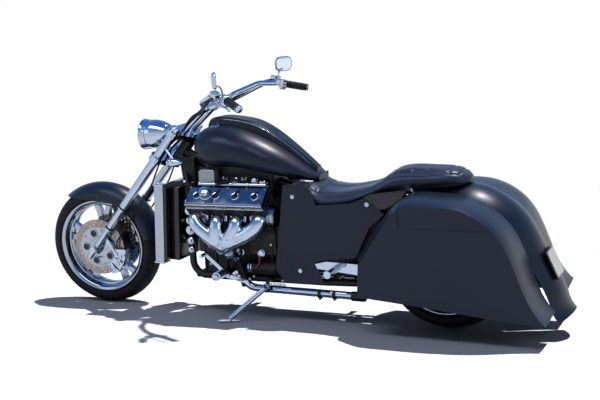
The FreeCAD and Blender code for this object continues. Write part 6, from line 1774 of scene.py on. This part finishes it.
@dataclass
class Bodywork:
    """Trim on the tank, the side covers, the seat pods, the bags and the number plate."""

    plate_tilt: float = 24.0
    plate_at: tuple[float, float, float] = (-510.6, 0.0, 357.0)
    screws_at: tuple[tuple[float, float], ...] = ((746.0, 684.0), (350.0, 655.0), (723.0, 301.0))
    seal_side: float = 420.2
    seal_at: tuple[tuple[float, float], ...] = ((131.0, 640.0), (131.0, 600.0), (120.0, 588.0),
                                                (-100.0, 588.0), (-300.0, 588.0))
    console_shares: tuple[tuple[float, float], ...] = ((0.0, 0.4), (0.18, 0.6), (0.38, 0.84), (0.58, 1.0),
                                                       (0.8, 1.0), (0.95, 0.8), (1.0, 0.5))
    pod_shares: tuple[tuple[float, float], ...] = ((-0.003, 0.93), (0.047, 0.864), (0.080, 0.831),
                                                   (0.131, 0.842), (0.206, 0.935), (0.236, 0.996),
                                                   (0.197, 0.991), (0.025, 0.958))

    def tank(self) -> None:
        """Bright filler caps beside the console's front, bright alloy edge beads along it as a painted
        highlight, and small screws.
        """
        caps = []
        for edge in (-1, 1):
            base, out = mm(1238.0, edge * 84.0, 1020.0), (0.30, edge * 0.42, 0.85)
            cap = turned("cap", [(0.0, 9.0), (16.0, 9.0), (26.0, 7.0), (30.0, 4.0), (34.0, 4.5), (40.0, 1.0),
                                 (41.0, -3.0)], 48)
            caps.append(lay(cap, base, out))
            notches = ring_of(block("notch", (29.0, -3.0, 2.0), (33.0, 3.0, 8.0)), 12)
            caps.append(lay(notches, base, out))
        screws = [bolt("console_screw", mm(965.0, edge * 59.0, 968.0), (0.0, 0.0, 1.0), 4.0, 3.0, 12)
                  for edge in (-1, 1)]
        finish([*caps, *screws], "filler_cap", CHROME)
        # Raised alloy beads along the console's edges: a painted highlight on its chamfer.
        rows = self.console_shares
        beads = []
        for edge in (-1, 1):
            spots = []
            for step in range(12):
                along = 0.06 + 0.86 * step / 11
                wide = next(a + (b - a) * (along - low) / (high - low) for (low, a),
                            (high, b) in zip(rows, rows[1:]) if along <= high)
                spots.append((1296.0 - 618.0 * (1.0 - along), edge * 74.0 * wide * 0.93))
            beads.append(hose("bead", on_top("tank_console", spots), 1.8, 5))
        finish(beads, "console_beads", ALLOY, smooth=70.0)

    def covers(self) -> None:
        """Bright screws with washers on both side covers."""
        made = []
        for edge in (-1, 1):
            for x, z in self.screws_at:
                at = mm(x, edge * 214.0, z)
                washer = turned("washer", [(0.0, 1.6), (6.0, 1.6), (10.5, 1.2), (11.5, -1.0)], 24)
                made.append(lay(washer, at, (0.0, edge, 0.0)))
                made.append(bolt("cover_screw", at, (0.0, edge, 0.0), 6.2, 6.0, 18))
        finish(made, "cover_screws", CHROME)

    def pods(self) -> None:
        """Bright edges round the seat pods and along the seat's lower rim."""
        runs = []
        for edge in (-1, 1):
            points = [mm(362.0 - 921.0 * along, edge * 213.6, 160.0 + 568.0 * up) for along,
                      up in self.pod_shares]
            points.append(points[0])
            runs.append(hose("pod_edge", points, 3.0, 3))
        finish(runs, "pod_edges", GLOSS, smooth=60.0)

    def bags(self) -> None:
        """A dark seal line between bag and lid on both sides."""
        seals = []
        for edge in (-1, 1):
            points = [mm(x, edge * self.seal_side, z) for x, z in self.seal_at]
            seals.append(hose("seal", points, 1.6, 4))
        finish(seals, "bag_seals", RUBBER, smooth=60.0)

    def plate(self) -> None:
        """A dark frame, two bolts and a small lamp round the blank plate."""
        turn = Matrix.Rotation(math.radians(self.plate_tilt), 4, "Y")
        place = Matrix.Translation(mm(*self.plate_at)) @ turn
        rim = block("plate_rim", (-7.0, -83.0, -71.0), (3.0, 83.0, 71.0))
        sink(rim, lambda c: c.x < -6.5 * MM, 15.0, 4.0)
        ease(rim, 1.5, 2, 40.0)
        finish(placed(rim, place), "plate_rim", GLOSS)
        face = block("plate_face", (-5.4, -68.0, -56.0), (-1.0, 68.0, 56.0))
        sink(face, lambda c: c.x < -5.3 * MM, 5.0, 0.8)
        ease(face, 0.8, 2, 40.0)
        finish(placed(face, place), "plate_face", PLATE)
        made = [bolt("plate_bolt", place @ mm(-5.0, side * 48.0, 44.0), turn.to_3x3()
                     @ Vector((-1.0, 0.0, 0.0)), 4.0, 3.0, 12) for side in (-1, 1)]
        lamp = block("plate_lamp", (-18.0, -14.0, 70.0), (2.0, 14.0, 80.0))
        ease(lamp, 3.0, 3, 40.0)
        finish(made, "plate_bolts", CHROME)
        finish(placed(lamp, place), "plate_lamp", RED)

    def fillers(self) -> None:
        """Dark panels behind the gaps as painted shade, and the right cover cut back where the seat covers
        it.
        """
        cover = copied("side_cover_right", "cover_right")
        tool = block("cut", (560.0, -260.0, 688.0), (716.0, -120.0, 800.0))
        carved(cover, placed(tool, STANCE.matrix()))
        dress(cover, "side_cover_right_trimmed", SATIN_BLACK)
        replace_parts(cover, "side_cover_right")
        # Dark blocks behind the gaps by the tank, the covers and the steering head: painted shade seen
        # through them.
        panels = [block("under_tank", (678.0, 60.0, 670.0), (780.0, 192.0, 737.0)),
                  block("under_tank_right", (678.0, -192.0, 640.0), (780.0, -60.0, 690.0))]
        for edge in (-1, 1):
            panels.append(block("inner", (300.0, edge * 146.0, 260.0), (440.0, edge * 158.0, 640.0)))
        panels.append(block("head_box", (1376.0, -74.0, 724.0), (1446.0, 74.0, 862.0)))
        for panel in panels:
            ease(panel, 5.0, 3, 40.0)
        finish(panels, "inner_panels", CASTING)

    def build(self) -> None:
        """Make the bodywork's trim."""
        self.fillers()
        self.tank()
        self.covers()
        self.pods()
        self.bags()
        self.plate()


# Engine


@dataclass
class Engine:
    """Welded header wings, plug wells and wires, rails, gasket bands, brackets, bolts and wiring."""

    crank_z: float = 425.0
    collector_x: float = 1116.0
    port_swing: float = 166.0
    cover_seat: tuple[float, float, float] = (1101.0, 233.3, 658.3)
    cover_length: float = 442.0
    cover_height: float = 44.0
    wells: tuple[float, ...] = (0.13, 0.38, 0.63, 0.88)

    def bank(self, up: float, out: float, x: float) -> Vector:
        """A point on the left bank from its height along the bank and its place across it.

        Args:
            up: Height along the bank's slope.
            out: Place across it, outwards.
            x: Place along the machine.

        Returns:
            The point.
        """
        tilt = math.sqrt(0.5)
        return mm(x, (up + out) * tilt, self.crank_z + (up - out) * tilt)

    def well_x(self, share: float) -> float:
        """Place of a plug well along the machine."""
        return self.cover_seat[0] + self.cover_length * (0.5 - share)

    def bank_frame(self) -> Matrix:
        """The left bank's own frame: X along the machine, Y outwards across the bank, Z up it."""
        tilt = math.sqrt(0.5)
        turn = Matrix(((1.0, 0.0, 0.0), (0.0, tilt, tilt), (0.0, -tilt, tilt))).to_4x4()
        return Matrix.Translation(mm(0.0, 0.0, self.crank_z)) @ turn

    def headers(self) -> None:
        """Four fat runners that sweep like wings into one collector, welded into one casting."""
        for side, edge in (("left", 1), ("right", -1)):
            parts, end = [], self.collector_x
            for share in self.wells:
                x = self.well_x(share)
                swing = (x - self.cover_seat[0]) / self.port_swing
                far = abs(swing) > 0.6
                if far:
                    points = [(x + 8.0 * swing, 236.0, 572.0), (x + 26.0 * swing, 256.0, 566.0),
                              (x + 2.0 * swing, 276.0, 530.0), (x - 62.0 * swing, 284.0, 486.0),
                              (end + 4.0 + 34.0 * swing, 280.0, 446.0), (end, 266.0, 420.0)]
                else:
                    points = [(x, 236.0, 572.0), (x + 4.0 * swing, 266.0, 560.0),
                              (x - 4.0 * swing, 288.0, 522.0), (end - 2.0 + 90.0 * swing, 290.0, 474.0),
                              (end + 26.0 * swing, 280.0, 436.0), (end, 268.0, 416.0)]
                parts.append(hose("runner", [mm(a, edge * b, c) for a, b, c in points], 42.0 if far else 36.0,
                                  6, 5))
                parts.append(rod("port", mm(x, edge * 220.0, 584.0), mm(x, edge * 246.0, 574.0), 38.0,
                                 sides=24))
            cup = turned("collector", [(0.0, 46.0), (30.0, 44.0), (48.0, 26.0), (46.0, -6.0), (32.0, -38.0),
                                       (24.0, -74.0), (24.0, -98.0), (0.0, -98.0)], 32)
            parts.append(lay(cup, mm(end - 2.0, edge * 272.0, 456.0), (0.12, edge * 0.30, 0.94)))
            whole = remeshed(joined("runners", parts), 4.5, 9)
            ring = turned("neck_ring", [(24.0, -7.0), (29.0, -6.0), (29.0, 6.0), (24.0, 7.0)], 32,
                          closed=True)
            lay(ring, mm(1104.0, edge * 248.0, 384.0), (0.12, edge * 0.30, 0.94))
            wings = finish([whole, ring], "header_wings_" + side, CHROME, smooth=80.0)
            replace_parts(wings, "header_" + side)

    def covers(self) -> None:
        """Rings round the plug wells, cover bolts, the oil cap and a bright lower lip on both banks."""
        for side, edge in (("left", 1), ("right", -1)):
            out = Vector((0.0, edge * math.sqrt(0.5), math.sqrt(0.5)))
            made = []
            top = 330.0 + self.cover_height
            for share in self.wells:
                ring = turned("well_ring", [(16.0, 0.5), (17.0, 3.0), (20.5, 3.2), (23.0, -1.0)], 32,
                              closed=True)
                at = self.bank(top, 0.0, self.well_x(share))
                at.y *= edge
                made.append(lay(ring, at, out))
            for share in (0.02, 0.255, 0.505, 0.755, 0.98):
                for across in (-47.0, 47.0):
                    at = self.bank(top, across, self.well_x(share))
                    at.y *= edge
                    made.append(bolt("cover_bolt", at, out, 4.6, 5.0, 6))
            for across, drop in ((57.0, 6.0), (57.0, 36.0)):
                ends = []
                for share in (0.0, 1.0):
                    at = self.bank(top - drop, across, self.well_x(share))
                    at.y *= edge
                    ends.append(at)
                made.append(rod("cover_lip", ends[0], ends[1], 3.0, sides=12))
            if edge > 0:
                cap = turned("oil_cap", [(0.0, 50.0), (16.0, 50.0), (26.0, 47.0), (29.0, 41.0), (29.0, 12.0),
                                         (33.0, 9.0), (34.0, -2.0)], 24)
                made.append(lay(cap, self.bank(top, 0.0, self.cover_seat[0] + 106.0), out))
            finish(made, "valve_cover_trim_" + side, CHROME)

    def bands(self) -> None:
        """Tan gasket band under each cover, black spark wires in their looms, and port flanges."""
        for side, edge in (("left", 1), ("right", -1)):
            flanges, wires = [], []
            for share in self.wells:
                x = self.well_x(share)
                low = self.bank(262.0, 62.0, x) / MM
                flange = block("flange", (x - 46.0, edge * low.y, low.z - 17.0),
                               (x + 46.0, edge * (low.y + 15.0), low.z + 17.0))
                ease(flange, 4.0, 3, 40.0)
                flanges.append(flange)
                for shift in (-36.0, 36.0):
                    flanges.append(bolt("flange_bolt", mm(x + shift, edge * (low.y + 15.0), low.z),
                                        (0.0, edge, 0.0), 5.6, 6.0, 6))
                head = self.bank(374.0, 0.0, x)
                plug = self.bank(388.0, 2.0, x)
                over = self.bank(378.0, -34.0, x - 10.0)
                loom = self.bank(352.0, -74.0, x - 34.0)
                wires.append(hose("wire", [Vector((p.x, p.y * edge, p.z)) for p in (head, plug, over, loom)],
                                  3.6, 4))
            finish(flanges, "port_flanges_" + side, CHROME)
            finish(wires, "plug_wires_" + side, RUBBER, smooth=60.0)
            strips, rear = [], self.cover_seat[0] - self.cover_length / 2
            for low, high in ((0.0, 0.235), (0.265, 0.485), (0.515, 0.735), (0.765, 1.0)):
                strip = block("band", (rear + self.cover_length * low, 55.0, 326.0),
                              (rear + self.cover_length * high, 59.5, 352.0))
                sink(strip, lambda c: c.y > 59.0 * MM, 3.0, 1.2)
                ease(strip, 1.2, 2, 40.0)
                strips.append(strip)
            band = placed(joined("band", strips), self.bank_frame())
            if edge < 0:
                left = band
                band = mirrored(left, "band_right")
                bpy.data.objects.remove(left)
            finish(band, "gasket_band_" + side, SAND)

    def top_side(self) -> None:
        """The bright fuel rail, throttle body bits, grey coil bracket and wiring between cover and tank."""
        bright, dull, loose = [], [], []
        for edge in (-1, 1):
            rail_y, rail_z = edge * 168.0, 729.0
            bright.append(rod("rail", mm(908.0, rail_y, rail_z), mm(1296.0, rail_y, rail_z), 14.0, sides=24))
            for x in (912.0, 1010.0, 1108.0, 1206.0, 1292.0):
                ring = turned("rail_ring", [(13.0, -7.0), (17.0, -6.0), (17.0, 6.0), (13.0, 7.0)], 24,
                              closed=True)
                bright.append(lay(ring, mm(x, rail_y, rail_z), (1.0, 0.0, 0.0)))
                bright.append(rod("rail_foot", mm(x, rail_y, rail_z), mm(x, edge * 150.0, 690.0), 6.0,
                                  sides=12))
            box = block("coil", (1204.0, edge * 118.0, 742.0), (1296.0, edge * 176.0, 800.0))
            push(box, lambda c: c.z > 799.0 * MM, mm(0.0, 0.0, 9.0), scale=0.8)
            sink(box, lambda c: abs(c.y) > 175.0 * MM, 7.0, 3.0)
            ease(box, 3.0, 2, 40.0)
            dull.append(box)
            for x, up, wide in ((980.0, 752.0, 15.0), (1040.0, 760.0, 12.0), (1096.0, 748.0, 17.0),
                                (1150.0, 764.0, 10.0), (935.0, 742.0, 12.0)):
                part = turned("throttle_bit", [(0.0, 16.0), (wide * 0.6, 15.0), (wide, 10.0), (wide, 0.0),
                                               (wide * 1.25, -2.0), (wide * 1.25, -16.0)], 20)
                bright.append(lay(part, mm(x, edge * 158.0, up), (0.1, edge, 0.25)))
            for shift in range(4):
                loose.append(hose("loom", [mm(1310.0, edge * (140.0 - 6.0 * shift), 702.0 + 10.0 * shift),
                                           mm(1240.0, edge * 182.0, 722.0 + 14.0 * shift),
                                           mm(1120.0 - 40.0 * shift, edge * 176.0, 742.0 + 12.0 * shift),
                                           mm(980.0, edge * (170.0 - 4.0 * shift), 736.0 + 12.0 * shift),
                                           mm(890.0, edge * 140.0, 700.0 + 10.0 * shift)], 4.6 - 0.6 * shift,
                                  6))
        finish(bright, "fuel_rails", CHROME)
        finish(dull, "coil_boxes", CASTGREY)
        finish(loose, "wire_looms", RUBBER, smooth=60.0)

    def flank(self) -> None:
        """Side of the block: ribs, core plugs, a starter with its bands, bolts and a thin copper line."""
        bright, dark, lead = [], [], []
        for edge in (-1, 1):
            for step in range(7):
                x = 900.0 + 66.0 * step
                rib = block("rib", (x - 4.0, edge * 150.0, 262.0), (x + 4.0, edge * 170.0, 420.0))
                ease(rib, 2.0, 2, 40.0)
                dark.append(rib)
            for x in (960.0, 1080.0, 1200.0):
                plug = turned("core_plug", [(0.0, 3.0), (15.0, 3.0), (18.0, 6.0), (21.0, 5.0), (22.0, -4.0)],
                              28)
                bright.append(lay(plug, mm(x, edge * 168.0, 372.0), (0.0, edge, 0.0)))
            starter = turned("starter", [(0.0, 96.0), (20.0, 95.0), (30.0, 88.0), (32.0, 20.0), (36.0, 14.0),
                                         (36.0, -60.0), (24.0, -70.0), (0.0, -70.0)], 32)
            dark.append(lay(starter, mm(930.0, edge * 172.0, 300.0), (1.0, 0.0, 0.0)))
            for x in (1010.0, 1024.0):
                band = turned("starter_band", [(31.0, -4.0), (34.0, -3.0), (34.0, 3.0), (31.0, 4.0)], 32,
                              closed=True)
                bright.append(lay(band, mm(x, edge * 172.0, 300.0), (1.0, 0.0, 0.0)))
            for x, z in ((1262.0, 300.0), (1262.0, 396.0), (1230.0, 252.0), (1120.0, 246.0), (1010.0, 246.0),
                         (900.0, 420.0)):
                bright.append(bolt("block_bolt", mm(x, edge * 166.0, z), (0.0, edge, 0.0), 7.0, 8.0, 6))
            lead.append(hose("copper_line", [mm(985.0, edge * 196.0, 392.0), mm(962.0, edge * 204.0, 372.0),
                                             mm(952.0, edge * 206.0, 340.0), mm(966.0, edge * 206.0, 308.0),
                                             mm(990.0, edge * 200.0, 296.0)], 3.0, 6))
        finish(dark, "block_ribs", CASTING)
        finish(bright, "block_fittings", CHROME)
        finish(lead, "copper_lines", COPPER, smooth=60.0)

    def front(self) -> None:
        """A column of bright belt wheels and fittings between the radiator and the engine."""
        made = []
        for edge in (-1, 1):
            for z, wide in ((632.0, 19.0), (584.0, 24.0), (530.0, 20.0), (478.0, 26.0), (420.0, 20.0),
                            (372.0, 17.0)):
                wheel = turned("fitting", [(0.0, 9.0), (wide * 0.4, 9.0), (wide * 0.5, 4.0),
                                           (wide * 0.85, 5.0), (wide, 2.0), (wide, -10.0), (0.0, -10.0)], 28)
                made.append(lay(wheel, mm(1378.0, edge * 168.0, z), (0.15, edge, 0.0)))
        finish(made, "front_fittings", CHROME)

    def build(self) -> None:
        """Make the engine's details."""
        self.headers()
        self.covers()
        self.bands()
        self.top_side()
        self.flank()
        self.front()


# Radiator, exhaust, pegs


@dataclass
class Cooling:
    """Radiator posts, tank lips, filler cap, side bolts and hose clamps."""

    base: tuple[float, float, float] = (1588.0, 0.0, 300.0)
    tilt_deg: float = 3.6

    def place(self) -> Matrix:
        """The radiator's own frame: X ahead, Y left, Z up along it."""
        return Matrix.Translation(mm(*self.base)) @ Matrix.Rotation(math.radians(-self.tilt_deg), 4, "Y")

    def build(self) -> None:
        """Make the radiator's details."""
        posts, bright = [], []
        for edge in (-1, 1):
            post = block("post", (-74.0, edge * 168.0, 6.0), (-58.0, edge * 203.0, 428.0))
            sink(post, lambda c, e=edge: c.y * e > 202.5 * MM, 3.0, 2.0)
            ease(post, 2.0, 2, 40.0)
            posts.append(post)
            for z in (24.0, 410.0):
                for x in (-14.0, -44.0):
                    bright.append(bolt("tank_bolt", mm(x, edge * 205.0, z), (0.0, edge, 0.0), 4.0, 3.0, 12))
            for z in (2.0, 428.0):
                lip = block("tank_lip", (-58.0, edge * 156.0, z - 5.0), (3.0, edge * 208.0, z + 5.0))
                ease(lip, 2.4, 3, 40.0)
                bright.append(lip)
        neck = turned("filler", [(0.0, 22.0), (14.0, 22.0), (24.0, 18.0), (25.0, 10.0), (18.0, 8.0),
                                 (18.0, -8.0)], 32)
        neck.location = mm(-28.0, -120.0, 432.0)
        bright.append(fix_place(neck))
        for parts, name, used in ((posts, "radiator_posts", GLOSS), (bright, "radiator_trim", CHROME)):
            finish(placed(joined(name, parts), self.place()), name, used)
        clamps = []
        for x, y, z, along in ((1519.0, 182.0, 708.0, (-0.7, 0.0, 0.7)),
                               (1328.0, 150.0, 662.0, (-0.35, 0.0, -0.94)),
                               (1388.0, 164.0, 736.0, (-0.98, -0.2, -0.1))):
            ring = turned("hose_clamp", [(15.6, -6.0), (18.2, -5.4), (18.2, 5.4), (15.6, 6.0)], 32,
                          closed=True)
            clamps.append(lay(ring, mm(x, y, z), along, (0.0, 1.0, 0.0)))
        finish(clamps, "hose_clamps", CHROME)


@dataclass
class Underside:
    """Exhaust clamps, wrap and a black sleeve on the slashed tip as painted shade, peg rubbers, linkage,
    springs and frame bolts.
    """

    side: float = 162.0
    height: float = 170.0
    clamps_x: tuple[float, float] = (640.0, 560.0)
    bolts_x: tuple[float, ...] = (1240.0, 1160.0, 860.0, 780.0, 640.0, 420.0)
    peg_rings: tuple[float, ...] = (270.0, 288.0, 306.0, 324.0, 342.0)
    rear_rings: tuple[float, ...] = (224.0, 240.0, 256.0, 272.0)
    spring_turns: int = 12
    spring_steps: int = 96

    def exhaust(self) -> None:
        """Dark wrap on the drop pipe, two black clamps and a black end sleeve on each side, its black painted
        shade on the pipe's tip.
        """
        wraps, bands = [], []
        for edge in (-1, 1):
            points = [mm(1102.0, edge * 244.0, 374.0), mm(1090.0, edge * 214.0, 346.0),
                      mm(1082.0, edge * 186.0, 315.0), mm(1074.0, edge * 170.0, 240.0),
                      mm(1064.0, edge * 163.0, 192.0)]
            wraps.append(hose("wrap", points, 23.0, 6, 4))
            for x in self.clamps_x:
                ring = turned("clamp", [(19.6, -10.0), (23.0, -9.0), (23.0, 9.0), (19.6, 10.0)], 32,
                              closed=True)
                bands.append(lay(ring, mm(x, edge * self.side, self.height), (1.0, 0.0, 0.0)))
                bands.append(bolt("clamp_bolt", mm(x, edge * self.side, self.height - 24.0), (0.0, edge, 0.0),
                                  5.0, 14.0, 6))
            # The black end sleeve: painted shade over the pipe's slashed tip.
            tip = turned("tip", [(20.0, 0.0), (24.5, 2.0), (25.0, 72.0), (22.0, 74.0), (21.0, 70.0)], 36,
                         closed=True)
            bands.append(lay(tip, mm(468.0, edge * self.side, self.height), (-1.0, 0.0, 0.0)))
        finish(wraps, "pipe_wraps", BLACK_STEEL, smooth=60.0)
        finish(bands, "exhaust_clamps", BLACK_STEEL)

    def pegs(self) -> None:
        """Rings on the front and rear pegs, lever bolts and the stand's spring."""
        rubber, bright = [], []
        for edge in (-1, 1):
            for y in self.peg_rings:
                ring = turned("peg_ring", [(16.6, -6.0), (22.5, -4.6), (22.5, 4.6), (16.6, 6.0)], 28,
                              closed=True)
                bright.append(lay(ring, mm(1137.0, edge * y, 283.0), (0.0, edge, 0.0)))
            cap = turned("peg_cap", [(0.0, 5.0), (10.0, 4.0), (16.0, 1.0), (16.8, -3.0)], 28)
            bright.append(lay(cap, mm(1137.0, edge * 364.0, 283.0), (0.0, edge, 0.0)))
            for x, z in ((1137.0, 283.0), (1060.0, 262.0), (1000.0, 250.0)):
                bright.append(bolt("lever_bolt", mm(x, edge * 236.0, z), (0.0, edge, 0.0), 8.0, 6.0, 6))
            for y in self.rear_rings:
                ring = turned("rear_ring", [(12.0, -4.0), (16.0, -3.0), (16.0, 3.0), (12.0, 4.0)], 24,
                              closed=True)
                rubber.append(lay(ring, mm(528.0, edge * y, 322.0), (0.0, edge, 0.0)))
            for x in (438.0, 470.0, 586.0, 618.0):
                bright.append(bolt("plate_bolt", mm(x, edge * 208.0, 322.0), (0.0, edge, 0.0), 6.0, 5.0, 6))
        coil = []
        for step in range(self.spring_steps + 1):
            share = step / self.spring_steps
            turn = share * 2 * math.pi * self.spring_turns
            coil.append(mm(905.0 - 86.0 * share, 196.0 + 7.0 * math.cos(turn), 214.0 + 7.0 * math.sin(turn)))
        bright.append(hose("spring", coil, 1.8, 1, 2))
        finish(rubber, "peg_rubbers", RUBBER)
        finish(bright, "peg_fittings", CHROME)

    def frame_bolts(self) -> None:
        """Bolts along the frame rails."""
        made = []
        for edge in (-1, 1):
            for x in self.bolts_x:
                made.append(bolt("rail_bolt", mm(x, edge * 137.0, 222.0), (0.0, edge, 0.0), 7.0, 6.0, 6))
        finish(made, "frame_bolts", CHROME)

    def build(self) -> None:
        """Make the details under the machine."""
        self.exhaust()
        self.pegs()
        self.frame_bolts()


def main() -> None:
    """Dress the frame, build every sub-assembly and set up the studio."""
    logging.basicConfig(level=logging.INFO, format="%(name)s %(message)s")
    Studio().build()
    dress_frame()
    front = Wheel(name="front", hub=STANCE.front_axle, body=Body.FRONT_WHEEL, rubber=FRONT_TYRE, radius=343.0,
                  width=150.0, crown=92.0, bead=254.0, bead_half=52.0, flange=268.0, blade_half=17.0,
                  rotor_sides=(-1, 1), rotor_at=90.0)
    rear = Wheel(name="rear", hub=STANCE.rear_axle, body=Body.REAR_WHEEL, rubber=REAR_TYRE, radius=332.0,
                 width=274.0, crown=190.0, bead=229.0, bead_half=103.0, flange=245.0, blade_half=22.0,
                 rotor_sides=(1,), rotor_at=126.0)
    for assembly in (front, rear, Fork(), FrontLamps(), Cockpit(), Bodywork(), Engine(), Cooling(),
                     Underside(), Seat()):
        assembly.build()
        LOG.info("%s done", type(assembly).__name__)


if __name__ == "__main__":
    main()
